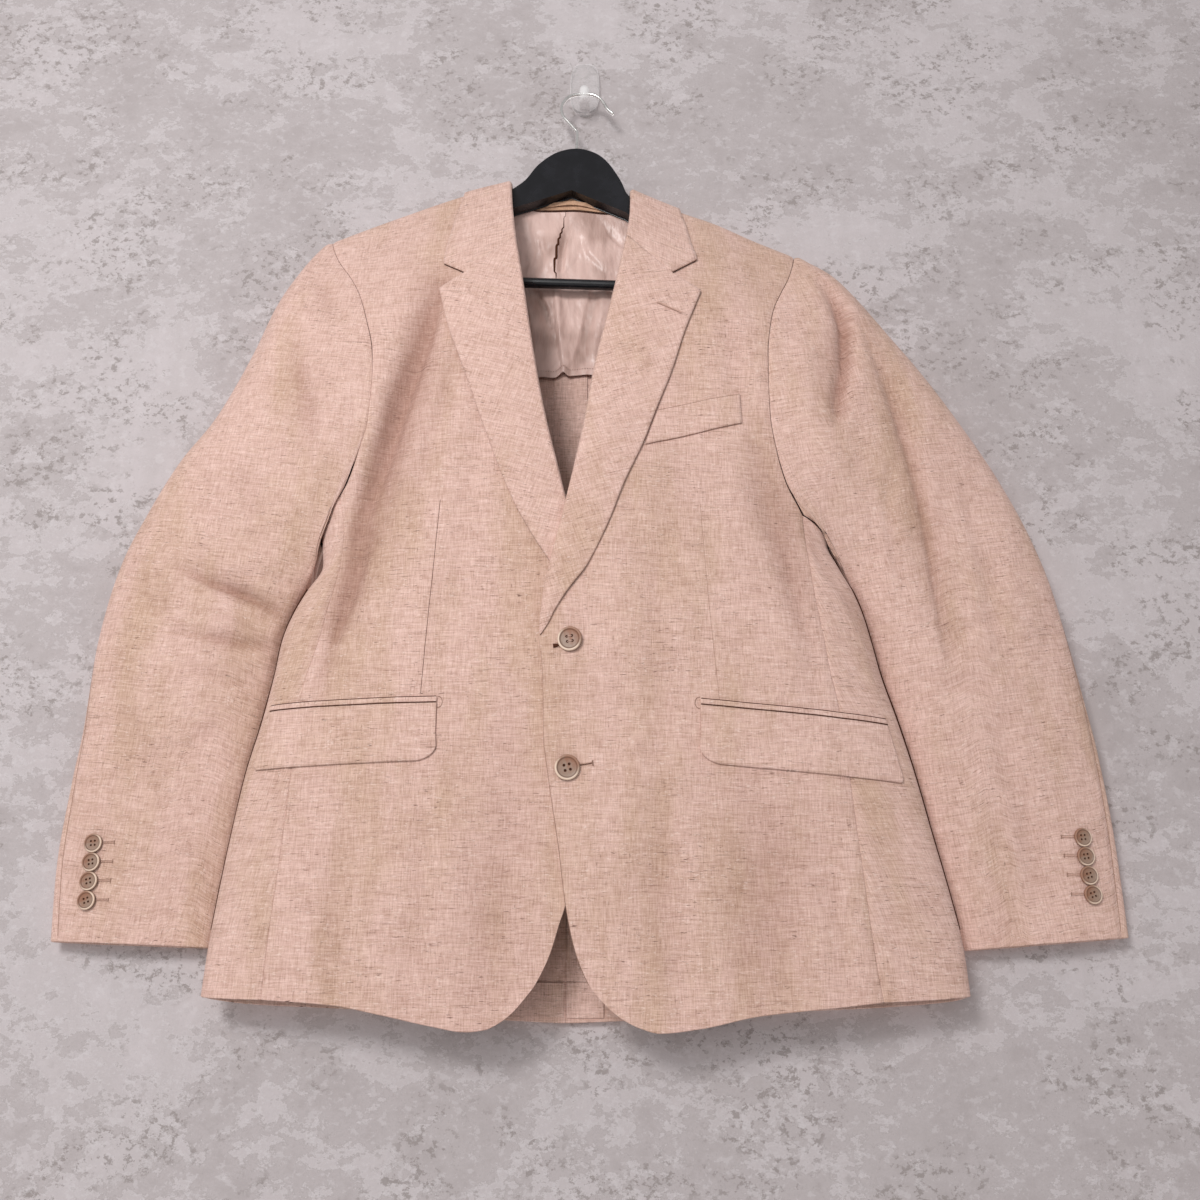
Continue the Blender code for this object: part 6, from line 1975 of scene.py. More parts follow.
class Recipe(Nodes):
    """The nodes of one finish, in millimetres."""

    def __init__(self, name: str, cloth: bool = False) -> None:
        """Start a material, on the cloth's own map or on the object's coordinates.

        Args:
            name: The finish's name.
            cloth: True to read the cloth's own map.
        """
        self.material = bpy.data.materials.new(name)
        self.material.use_nodes = True
        self.tree = self.material.node_tree
        self.shader = self.tree.nodes["Principled BSDF"]
        if cloth:
            source = self.step("ShaderNodeUVMap", uv_map="cloth")
        else:
            source = self.add("ShaderNodeTexCoord").outputs["Object"]
        self.where = self.step("ShaderNodeVectorMath", {0: source, 3: 1 / MM}, operation="SCALE")

    def plus(self, a: object, b: object) -> Socket:
        """A sum."""
        return self.math("ADD", a, b)

    def times(self, a: object, b: object) -> Socket:
        """A product."""
        return self.math("MULTIPLY", a, b)

    def swing(self, noise: Socket, size: float) -> Socket:
        """A noise's swing to both sides of nought."""
        return self.times(self.math("SUBTRACT", noise, 0.5), size)

    def kept(self, name: str) -> Socket:
        """A number that the mesh keeps on its points."""
        return self.add("ShaderNodeAttribute", attribute_name=name).outputs["Fac"]

    def noise(self, scale: tuple, shift: float = 0.0, detail: float = 2.0, rough: float = 0.5,
              where: Socket | None = None) -> Socket:
        """Noise with its own number of waves per millimetre along each axis.

        Args:
            scale: The waves per millimetre along each axis.
            shift: How far the noise is moved.
            detail: The number of finer layers.
            rough: How strong the finer layers are.
            where: The coordinates, where they aren't the finish's own.

        Returns:
            The noise, from 0 to 1.
        """
        place = (shift, shift * 1.7, shift * 0.6)
        moved = self.step("ShaderNodeMapping", {"Vector": where or self.where, "Scale": scale, "Location": place})
        return self.step("ShaderNodeTexNoise", {"Vector": moved, "Scale": 1.0, "Detail": detail, "Roughness": rough})

    def ranged(self, value: Socket, low: float, high: float, to_low: float = 0.0, to_high: float = 1.0) -> Socket:
        """A value carried softly from one range to another."""
        ends = {0: value, 1: low, 2: high, 3: to_low, 4: to_high}
        return self.step("ShaderNodeMapRange", ends, interpolation_type="SMOOTHSTEP")

    def blend(self, share: object, a: object, b: object, mode: str = "MIX") -> Socket:
        """Two colours laid over each other."""
        a, b = ((*colour, 1.0) if isinstance(colour, tuple) else colour for colour in (a, b))
        return self.add("ShaderNodeMix", {0: share, 6: a, 7: b}, data_type="RGBA", blend_type=mode).outputs[2]

    def bump(self, height: Socket, distance: float, strength: float = 1.0, normal: Socket | None = None) -> Socket:
        """Relief of a height in millimetres.

        Args:
            height: The height, from 0 to 1.
            distance: How far a height of 1 stands out.
            strength: The share of the relief that shows.
            normal: The relief that it lies on.

        Returns:
            The normal.
        """
        inputs = {"Height": height, "Distance": distance * MM, "Strength": strength}
        if normal:
            inputs["Normal"] = normal
        return self.step("ShaderNodeBump", inputs)

    def finish(self, colour: Socket, rough: float | Socket, normal: Socket | None = None, **fixed: object) -> Finish:
        """Wire the shader.

        Args:
            colour: The base colour.
            rough: The roughness.
            normal: The relief's normal.
            fixed: Values for sockets that stay the same all over, with _ for a space.

        Returns:
            The material.
        """
        self.tree.links.new(colour, self.shader.inputs["Base Color"])
        if isinstance(rough, Socket):
            self.tree.links.new(rough, self.shader.inputs["Roughness"])
        else:
            self.shader.inputs["Roughness"].default_value = rough
        if normal:
            self.tree.links.new(normal, self.shader.inputs["Normal"])
        for name, value in fixed.items():
            self.shader.inputs[name.replace("_", " ")].default_value = value
        return self.material


@dataclass(frozen=True)
class Linen:
    """Plain-weave linen of mixed yarns, pinkish beige with brown slubs, darkened by painted shade in its folds."""

    name: str = "linen"
    pink: Colour = (0.645, 0.432, 0.370)
    tan: Colour = (0.535, 0.355, 0.262)
    slub: Colour = (0.20, 0.14, 0.115)
    pale: Colour = (0.84, 0.67, 0.60)
    hollow: Colour = (0.66, 0.58, 0.545)
    contrast: float = 0.85

    def make(self) -> Finish:
        """The linen's material.

        Returns:
            The material.
        """
        r = Recipe(self.name, cloth=True)
        warp = r.noise((1.0, 0.085, 1), 3, 3, 0.62)
        weft = r.noise((0.075, 1.05, 1), 11, 3, 0.62)
        grain = r.noise((0.9, 0.9, 1), 5, 1)
        drift = r.noise((0.035, 0.05, 1), 17, 3, 0.6)
        tone = r.times(r.math("SUBTRACT", r.plus(warp, weft), 1.0), self.contrast)
        tone = r.plus(tone, r.swing(grain, 0.2))
        tone = r.plus(tone, r.swing(drift, 0.16))
        tone = r.plus(tone, 1.0)
        patches = r.ranged(r.noise((0.02, 0.006, 1), 29, 4, 0.62), 0.42, 0.72, 0.0, 0.8)
        base = r.blend(patches, self.pink, self.tan)
        streaks = r.ranged(r.noise((0.05, 0.5, 1), 41, 2), 0.45, 0.72, 0.0, 0.3)
        base = r.blend(streaks, base, self.tan)
        warmer = [r.math("POWER", tone, power) for power in (0.9, 1.15, 1.3)]
        base = r.blend(1.0, base, r.step("ShaderNodeCombineColor", dict(enumerate(warmer))), "MULTIPLY")
        density = r.ranged(r.noise((0.02, 0.03, 1), 47, 2), 0.35, 0.65, 0.35, 1.0)
        weft_slub = r.ranged(r.noise((0.13, 0.95, 1), 53, 2, 0.6), 0.635, 0.73)
        long_slub = r.ranged(r.noise((0.05, 0.9, 1), 59, 2, 0.6), 0.61, 0.72)
        warp_slub = r.ranged(r.noise((0.95, 0.14, 1), 67, 2, 0.6), 0.645, 0.75)
        spots = r.math("MAXIMUM", r.times(weft_slub, 0.9), r.times(warp_slub, 0.55))
        spots = r.times(r.math("MAXIMUM", spots, r.times(long_slub, 0.4)), density)
        base = r.blend(spots, base, r.blend(1.0, base, self.slub, "MULTIPLY"))
        flecks = r.ranged(r.noise((0.3, 0.95, 1), 71, 1), 0.63, 0.74)
        base = r.blend(r.times(flecks, 0.5), base, self.pale)
        # Painted shade: the cloth darkens by the depth of its folds.
        base = r.blend(r.kept("valley"), base, r.blend(1.0, base, self.hollow, "MULTIPLY"))
        threads = r.plus(r.plus(warp, weft), r.times(grain, 0.6))
        relief = r.bump(r.noise((0.05, 0.036, 1), 83, 4, 0.6), 2.2, 0.6)
        relief = r.bump(threads, 0.25, 0.8, relief)
        return r.finish(base, 0.92, relief, Sheen_Weight=0.12, Sheen_Roughness=0.5, Specular_IOR_Level=0.2)


@dataclass(frozen=True)
class Satin:
    """The lining's satin, which has a soft sheen, darkened by painted shade in its folds."""

    name: str = "satin_lining"
    colour: Colour = (0.70, 0.485, 0.43)
    dark: Colour = (0.40, 0.25, 0.21)
    pale: Colour = (0.76, 0.58, 0.50)
    hollow: Colour = (0.16, 0.095, 0.07)

    def make(self) -> Finish:
        """The lining's material.

        Returns:
            The material.
        """
        r = Recipe(self.name, cloth=True)
        threads = r.noise((1.6, 0.05, 1), 7, 2)
        clouds = r.noise((0.03, 0.02, 1), 13, 2)
        base = r.blend(r.ranged(clouds, 0.42, 0.72), self.colour, self.dark)
        base = r.blend(r.ranged(threads, 0.3, 0.8, 0.0, 0.25), base, self.pale)
        # Painted shade: the satin darkens by the depth of its folds.
        base = r.blend(r.times(r.kept("valley"), 0.8), base, self.hollow)
        relief = r.bump(r.noise((0.06, 0.025, 1), 19, 2), 6.0, 0.75)
        relief = r.bump(r.noise((0.14, 0.06, 1), 23, 2), 1.6, 0.8, relief)
        relief = r.bump(threads, 0.06, 0.5, relief)
        return r.finish(base, 0.36, relief, Sheen_Weight=0.2, Sheen_Roughness=0.3, Specular_IOR_Level=0.5)


@dataclass(frozen=True)
class Facing:
    """The plain tan cloth of the neck's band and the hanging loop."""

    name: str = "tan_facing"
    colour: Colour = (0.66, 0.40, 0.26)
    dark: Colour = (0.46, 0.27, 0.17)

    def make(self) -> Finish:
        """The facing's material.

        Returns:
            The material.
        """
        r = Recipe(self.name, cloth=True)
        warp, weft = r.noise((1.4, 0.2, 1), 5, 1), r.noise((0.2, 1.4, 1), 9, 1)
        weave = r.times(warp, weft)
        base = r.blend(r.ranged(weave, 0.12, 0.4), self.dark, self.colour)
        return r.finish(base, 0.85, r.bump(weave, 0.15, 0.8), Sheen_Weight=0.1)


@dataclass(frozen=True)
class Thread:
    """Sewing thread, twisted; in a dark colour it is also the finish of the cords that paint shade."""

    name: str = "thread"
    colour: Colour = (0.42, 0.27, 0.20)
    light: float = 1.25

    def make(self) -> Finish:
        """The thread's material.

        Returns:
            The material.
        """
        r = Recipe(self.name)
        fibres = r.noise((2.5, 2.5, 5.0), 3, 2)
        pale = tuple(min(c * self.light, 1.0) for c in self.colour)
        base = r.blend(r.ranged(fibres, 0.35, 0.65), self.colour, pale)
        return r.finish(base, 0.8, r.bump(fibres, 0.08, 0.7), Specular_IOR_Level=0.12)


@dataclass(frozen=True)
class Horn:
    """Half-gloss resin like horn: brown and grey, with painted shade that makes one side browner, a painted highlight
    on the rim's other side and painted shade in the groove inside the rim.
    """

    name: str = "horn"
    brown: Colour = (0.27, 0.125, 0.075)
    grey: Colour = (0.30, 0.205, 0.155)
    # The colour of the painted highlight on the rim.
    rim: Colour = (0.74, 0.57, 0.45)
    groove: Colour = (0.10, 0.05, 0.035)

    def make(self) -> Finish:
        """The buttons' material. The spot attribute holds a point's place on its own button.

        Returns:
            The material.
        """
        r = Recipe(self.name)
        spot = r.add("ShaderNodeAttribute", attribute_name="spot").outputs["Vector"]
        split = r.add("ShaderNodeSeparateXYZ", {0: spot})
        marble = r.noise((0.45, 0.22, 0.5), 3, 4, 0.6, where=spot)
        cloud = r.noise((0.08, 0.08, 0.08), 1, 1)
        reach = r.kept("reach")
        # lean runs across each button from one side to the other; it places the painted shade and the painted
        # highlight.
        lean = r.math("DIVIDE", r.plus(split.outputs[0], split.outputs[1]), reach)
        shade = r.plus(r.times(lean, 0.55), r.swing(marble, 1.6))
        shade = r.plus(shade, r.swing(cloud, 1.4))
        # Grey to brown by the real marbling and clouding, and by painted shade towards one side.
        base = r.blend(r.ranged(shade, -0.45, 0.75), self.grey, self.brown)
        flat = r.step("ShaderNodeVectorMath", {0: spot, 1: (1.0, 1.0, 0.0)}, operation="MULTIPLY")
        radius = r.add("ShaderNodeVectorMath", {0: flat}, operation="LENGTH").outputs["Value"]
        share = r.math("DIVIDE", radius, reach)
        edge = r.times(r.ranged(share, 0.80, 0.88), r.ranged(split.outputs[2], 2.0, 2.6))
        # Painted highlight: the rim turns pale on the side away from the painted shade.
        pale = r.ranged(r.plus(lean, r.times(marble, 0.5)), -0.35, 1.1, 1.0, 0.1)
        base = r.blend(r.times(edge, pale), base, self.rim)
        # Painted shade in the groove inside the rim.
        groove = r.times(r.ranged(share, 0.70, 0.76), r.ranged(share, 0.78, 0.84, 1.0, 0.0))
        base = r.blend(r.times(groove, 0.5), base, self.groove)
        scratch = r.noise((1.2, 4.0, 1.0), 9, 2, where=spot)
        return r.finish(base, r.ranged(marble, 0.3, 0.7, 0.38, 0.5), r.bump(scratch, 0.03, 0.4),
                        Specular_IOR_Level=0.35)


@dataclass(frozen=True)
class Moulding:
    """Satin black plastic with faint handling marks."""

    name: str = "black_moulding"
    colour: Colour = (0.004, 0.004, 0.006)
    worn: Colour = (0.008, 0.008, 0.012)

    def make(self) -> Finish:
        """The hanger's material.

        Returns:
            The material.
        """
        r = Recipe(self.name)
        dust = r.noise((0.05, 0.05, 0.05), 3, 4, 0.6)
        fine = r.noise((0.9, 0.9, 0.9), 5, 2)
        base = r.blend(r.ranged(dust, 0.4, 0.75), self.colour, self.worn)
        return r.finish(base, r.ranged(dust, 0.3, 0.7, 0.22, 0.30), r.bump(fine, 0.03, 0.3), Specular_IOR_Level=0.45)


@dataclass(frozen=True)
class Chrome:
    """Bright plated wire."""

    name: str = "bright_wire"
    colour: Colour = (0.84, 0.82, 0.80)
    tarnish: Colour = (0.44, 0.42, 0.40)

    def make(self) -> Finish:
        """The wire hook's material.

        Returns:
            The material.
        """
        r = Recipe(self.name)
        wear = r.noise((0.22, 0.22, 0.22), 3, 3)
        drawn = r.noise((1.8, 1.8, 0.3), 5, 2)
        base = r.blend(r.ranged(wear, 0.45, 0.8), self.colour, self.tarnish)
        return r.finish(base, r.ranged(wear, 0.3, 0.8, 0.2, 0.34), r.bump(drawn, 0.02, 0.3), Metallic=1.0)


@dataclass(frozen=True)
class ClearPlastic:
    """Clear moulded plastic, with painted shade at its rims and a painted highlight on its shelf."""

    name: str = "clear_plastic"
    colour: Colour = (0.72, 0.68, 0.68)
    smeared: Colour = (0.66, 0.63, 0.63)
    rim: Colour = (0.06, 0.055, 0.05)
    bright: Colour = (1.0, 1.0, 1.0)

    def make(self) -> Finish:
        """The wall hook's material, with painted shade where its faces turn away at the rims and a painted highlight
        on the shelf.

        Returns:
            The material.
        """
        r = Recipe(self.name)
        smear = r.noise((0.12, 0.12, 0.12), 3, 3)
        base = r.blend(r.ranged(smear, 0.3, 0.7), self.colour, self.smeared)
        facing = r.add("ShaderNodeSeparateXYZ", {0: r.add("ShaderNodeTexCoord").outputs["Normal"]}).outputs[1]
        # Painted shade: where the faces turn away from front and back, the plate darkens towards rim.
        flat = r.ranged(r.math("ABSOLUTE", facing), 0.35, 0.9)
        depth = r.add("ShaderNodeSeparateXYZ", {0: r.where}).outputs[1]
        # Painted highlight: from 4.5 to 7 mm out from the wall the shelf takes over, and it turns white where it
        # faces front or back.
        shelf = r.blend(flat, self.colour, self.bright)
        base = r.blend(r.ranged(depth, -7.0, -4.5, 1.0, 0.0), r.blend(flat, self.rim, base), shelf)
        return r.finish(base, r.ranged(smear, 0.4, 0.8, 0.03, 0.1), r.bump(smear, 0.2, 0.2),
                        Specular_IOR_Level=0.8, Alpha=0.3)


@dataclass(frozen=True)
class Plaster:
    """A wall of mottled grey plaster. Its back lets the view through."""

    name: str = "plaster"
    light: Colour = (0.530, 0.480, 0.488)
    dark: Colour = (0.400, 0.355, 0.355)
    dull: Colour = (0.455, 0.41, 0.41)
    lime: Colour = (0.62, 0.58, 0.59)
    chip: Colour = (0.60, 0.56, 0.57)
    stain: Colour = (0.27, 0.235, 0.225)

    def make(self) -> Finish:
        """The wall's material.

        Returns:
            The material.
        """
        r = Recipe(self.name)
        big = r.noise((0.0045, 0.0045, 0.006), 3, 5, 0.62)
        torn = r.noise((0.024, 0.024, 0.036), 7, 8, 0.78)
        streak = r.noise((0.05, 0.05, 0.008), 11, 3, 0.6)
        both = r.plus(r.times(big, 0.5), r.times(torn, 0.5))
        base = r.blend(r.ranged(both, 0.40, 0.60), self.dark, self.light)
        base = r.blend(r.ranged(streak, 0.35, 0.75, 0.0, 0.5), base, self.dull)
        crust = r.times(r.ranged(both, 0.50, 0.51), r.ranged(both, 0.515, 0.53, 1.0, 0.0))
        base = r.blend(r.times(crust, 0.35), base, self.lime)
        rim = r.times(r.ranged(both, 0.488, 0.496), r.ranged(both, 0.498, 0.506, 1.0, 0.0))
        base = r.blend(r.times(rim, 0.4), base, self.stain)
        flakes = r.ranged(r.noise((0.11, 0.11, 0.14), 23, 5, 0.75), 0.545, 0.575)
        zones = r.ranged(r.noise((0.012, 0.012, 0.016), 31, 3, 0.6), 0.47, 0.58)
        base = r.blend(r.times(r.times(flakes, zones), 0.8), base, self.stain)
        chips = r.ranged(r.noise((0.09, 0.09, 0.12), 43, 5, 0.75), 0.56, 0.59)
        base = r.blend(r.times(chips, 0.35), base, self.chip)
        grit = r.noise((0.35, 0.35, 0.35), 17, 3, 0.7)
        base = r.blend(r.ranged(grit, 0.60, 0.78, 0.0, 0.45), base, self.lime)
        base = r.blend(r.ranged(r.noise((0.3, 0.3, 0.3), 37, 2), 0.64, 0.78, 0.0, 0.4), base, self.stain)
        relief = r.bump(torn, 1.2, 0.5)
        relief = r.bump(grit, 0.6, 0.7, relief)
        made = r.finish(base, 0.82, relief)
        facing = r.add("ShaderNodeNewGeometry").outputs["Backfacing"]
        through = r.step("ShaderNodeBsdfTransparent")
        seen = r.step("ShaderNodeMixShader", {0: facing, 1: r.shader.outputs[0], 2: through})
        out = next(node for node in r.tree.nodes if node.type == "OUTPUT_MATERIAL")
        r.tree.links.new(seen, out.inputs["Surface"])
        return made


@dataclass(frozen=True)
class PaleFloor:
    """A plain pale floor."""

    name: str = "pale_floor"
    colour: Colour = (0.66, 0.65, 0.64)
    trodden: Colour = (0.61, 0.60, 0.59)

    def make(self) -> Finish:
        """The floor's material.

        Returns:
            The material.
        """
        r = Recipe(self.name)
        cloud = r.noise((0.004, 0.004, 0.004), 3, 3)
        base = r.blend(r.ranged(cloud, 0.3, 0.7), self.colour, self.trodden)
        return r.finish(base, 0.7)


# ---------------------------------------------------------------- threads and wires along paths


class Steps(Nodes):
    """A Geometry Nodes tree with named inputs, which works on lines of points."""

    def __init__(self, name: str, inputs: dict[str, tuple[str, object]]) -> None:
        """Start a tree whose inputs are given as a socket type and a usual value.

        Args:
            name: The tree's name.
            inputs: The socket type and the usual value of each input.
        """
        self.tree = bpy.data.node_groups.new(name, "GeometryNodeTree")
        self.names: dict[str, str] = {}
        face = self.tree.interface
        face.new_socket("Geometry", in_out="INPUT", socket_type="NodeSocketGeometry")
        face.new_socket("Geometry", in_out="OUTPUT", socket_type="NodeSocketGeometry")
        for label, (kind, value) in inputs.items():
            socket = face.new_socket(label, in_out="INPUT", socket_type=kind)
            if value is not None:
                socket.default_value = value
            self.names[label] = socket.identifier
        self.start = self.add("NodeGroupInput")
        self.end = self.add("NodeGroupOutput")

    def size(self, label: str) -> Socket:
        """One of the tree's named inputs."""
        return self.start.outputs[label]

    def evenly(self, label: str) -> Socket:
        """The tree's lines as curves, with points at an even pitch that is one of its inputs."""
        line = self.step("GeometryNodeMeshToCurve", {0: self.size("Geometry")})
        return self.step("GeometryNodeResampleCurve", {"Curve": line, "Length": self.size(label)}, mode="LENGTH")

    def close(self, shape: Socket) -> None:
        """End the tree: real meshes, smooth, with their finish.

        Args:
            shape: The tree's result, with its instances.
        """
        real = self.step("GeometryNodeRealizeInstances", {0: shape})
        soft = self.step("GeometryNodeSetShadeSmooth", {0: real})
        done = self.step("GeometryNodeSetMaterial", {0: soft, "Material": self.size("Finish")})
        self.tree.links.new(done, self.end.inputs[0])

    def run(self, name: str, source: Piece, **sizes: object) -> Piece:
        """A plain mesh of the tree's result.

        Args:
            name: The piece's name.
            source: The lines that the tree works on, which are used up.
            sizes: Values for the tree's inputs.

        Returns:
            The piece.
        """
        modifier = source.modifiers.new(name, "NODES")
        modifier.node_group = self.tree
        for label, value in sizes.items():
            modifier[self.names[label]] = value
        mesh = finished_mesh(source)
        mesh.name = name
        return new_object(name, mesh)


def lines_object(name: str, lines: Sequence[Line]) -> Piece:
    """Lines as an object of edges, with their way out and thickness on each point.

    Args:
        name: The object's name.
        lines: The lines.

    Returns:
        The object.
    """
    points, out, thick, edges, start = [], [], [], [], 0
    for line in lines:
        count = len(line.points)
        points.append(line.points * MM)
        out.append(np.broadcast_to(line.out, line.points.shape))
        thick.append(np.ones(count) if line.thick is None else line.thick)
        edges += [(start + i, start + i + 1) for i in range(count - 1)]
        start += count
    made = new_shape(name, np.concatenate(points).tolist(), (), edges)
    keep_values(made.data, "out", np.concatenate(out))
    keep_values(made.data, "thick", np.concatenate(thick))
    return made


class Haberdashery:
    """The two trees that make cords of thread and wire, and rows of stitches."""

    def __init__(self) -> None:
        """Build both trees once."""
        self.cord_tree, self.stitch_tree = self.cord_steps(), self.stitch_steps()

    @staticmethod
    def sweep(steps: Steps, line: Socket, radius: object, sides: object, thick: Socket) -> Socket:
        """A round section carried along a line, thicker or thinner along it.

        Args:
            steps: The tree that it goes into.
            line: The curve.
            radius: The section's radius.
            sides: The number of the section's sides.
            thick: The share of the radius at each point.

        Returns:
            The swept mesh.
        """
        sized = steps.step("GeometryNodeSetCurveRadius", {"Curve": line, "Radius": thick})
        ring = steps.step("GeometryNodeCurvePrimitiveCircle", {"Resolution": sides, "Radius": radius})
        inputs = {"Curve": sized, "Profile Curve": ring, "Fill Caps": True}
        node = steps.add("GeometryNodeCurveToMesh", inputs)
        if "Scale" in node.inputs:
            steps.tree.links.new(thick, node.inputs["Scale"])
        return node.outputs[0]

    def cord_steps(self) -> Steps:
        """The tree for a cord along each line.

        Returns:
            The tree.
        """
        steps = Steps("cord_along_line", {
            "Radius": ("NodeSocketFloat", 0.001), "Step": ("NodeSocketFloat", 0.001),
            "Sides": ("NodeSocketInt", 12), "Finish": ("NodeSocketMaterial", None),
        })
        even = steps.evenly("Step")
        thick = steps.step("GeometryNodeInputNamedAttribute", {"Name": "thick"}, data_type="FLOAT")
        steps.close(self.sweep(steps, even, steps.size("Radius"), steps.size("Sides"), thick))
        return steps

    def stitch_steps(self) -> Steps:
        """The tree for a row of arched stitches along each line, turned by an angle.

        Returns:
            The tree.
        """
        steps = Steps("stitches_along_line", {
            "Pitch": ("NodeSocketFloat", 0.001), "Length": ("NodeSocketFloat", 0.002),
            "Radius": ("NodeSocketFloat", 0.0002), "Angle": ("NodeSocketFloat", 0.0),
            "Seed": ("NodeSocketInt", 7), "Finish": ("NodeSocketMaterial", None),
        })
        ends = [steps.step("ShaderNodeCombineXYZ", {0: steps.math("MULTIPLY", steps.size("Length"), side)})
                for side in (-0.5, 0.5)]
        bar = steps.step("GeometryNodeCurvePrimitiveLine", {"Start": ends[0], "End": ends[1]})
        bar = steps.step("GeometryNodeResampleCurve", {"Curve": bar, "Count": 6}, mode="COUNT")
        along = steps.add("GeometryNodeSplineParameter").outputs["Factor"]
        arch = steps.math("SINE", steps.math("MULTIPLY", along, math.pi))
        lift = steps.step("ShaderNodeCombineXYZ", {2: steps.math("MULTIPLY", arch, steps.size("Radius"))})
        bar = steps.step("GeometryNodeSetPosition", {"Geometry": bar, "Offset": lift})
        stitch = self.sweep(steps, bar, steps.size("Radius"), 6, steps.math("MAXIMUM", arch, 0.35))
        angle = steps.step("ShaderNodeCombineXYZ", {2: steps.size("Angle")})
        stitch = steps.step("GeometryNodeTransform", {"Geometry": stitch, "Rotation": angle})
        even = steps.evenly("Pitch")
        out = steps.step("GeometryNodeInputNamedAttribute", {"Name": "out"}, data_type="FLOAT_VECTOR")
        way = steps.step("GeometryNodeInputTangent")
        turned = steps.step("FunctionNodeAxesToRotation", {0: out, 1: way}, primary_axis="Z", secondary_axis="X")
        size = steps.add("FunctionNodeRandomValue", {2: 0.88, 3: 1.1, "Seed": steps.size("Seed")}, data_type="FLOAT")
        row = steps.step("GeometryNodeInstanceOnPoints", {
            "Points": even, "Instance": stitch, "Rotation": turned, "Scale": size.outputs[1]
        })
        steps.close(row)
        return steps

    def cord(self, name: str, lines: Sequence[Line], radius: float, finish: Finish, slot: Slot,
             *nodes: str, sides: int = 8, step: float = 1.0) -> Piece:
        """Cords along lines, sized in millimetres.

        Args:
            name: The piece's name.
            lines: The lines that the cords follow.
            radius: Their radius.
            finish: The finish that it takes.
            slot: Passed on to dress, which doesn't use it.
            nodes: The solids that they replace.
            sides: The number of their section's sides.
            step: The spacing of their rings.

        Returns:
            The piece.
        """
        made = self.cord_tree.run(name, lines_object(name, lines), Radius=radius * MM, Step=step * MM,
                                  Sides=sides, Finish=finish)
        return dress(made, finish, slot, *nodes)

    def stitches(self, name: str, lines: Sequence[Line], pitch: float, length: float, radius: float,
                 finish: Finish, across: bool = True) -> Piece:
        """Rows of stitches along lines, laid across them or along them, sized in millimetres.

        Args:
            name: The piece's name.
            lines: The lines that the rows follow.
            pitch: The spacing of the stitches.
            length: A stitch's length.
            radius: The thread's radius.
            finish: The finish that it takes.
            across: True to lay the stitches across the lines.

        Returns:
            The piece.
        """
        made = self.stitch_tree.run(
            name, lines_object(name, lines), Pitch=pitch * MM, Length=length * MM, Radius=radius * MM,
            Angle=math.pi / 2 if across else 0.0, Seed=7, Finish=finish,
        )
        return dress(made, finish)


# ---------------------------------------------------------------- sewing that shows


def on_form(form: Form, places: Sequence[tuple], height: float, count: int = 0) -> Line:
    """A smooth line over a form through places of x and z, a height over its face.

    Args:
        form: The form, which gives points by x and z.
        places: x and z of each place.
        height: The height over the face, in millimetres.
        count: The number of points, or 0 to keep the places as they are.

    Returns:
        The line.
    """
    rows = np.asarray(places, float)
    if count:
        way = way_along(rows)
        at = np.linspace(0, way[-1], count)
        rows = np.stack([Curve(way, rows[:, 0])(at), Curve(way, rows[:, 1])(at)], 1)
    low = raised(form, rows[:, 0], rows[:, 1], height)
    return Line(low, unit(raised(form, rows[:, 0], rows[:, 1], height + 1.0) - low))


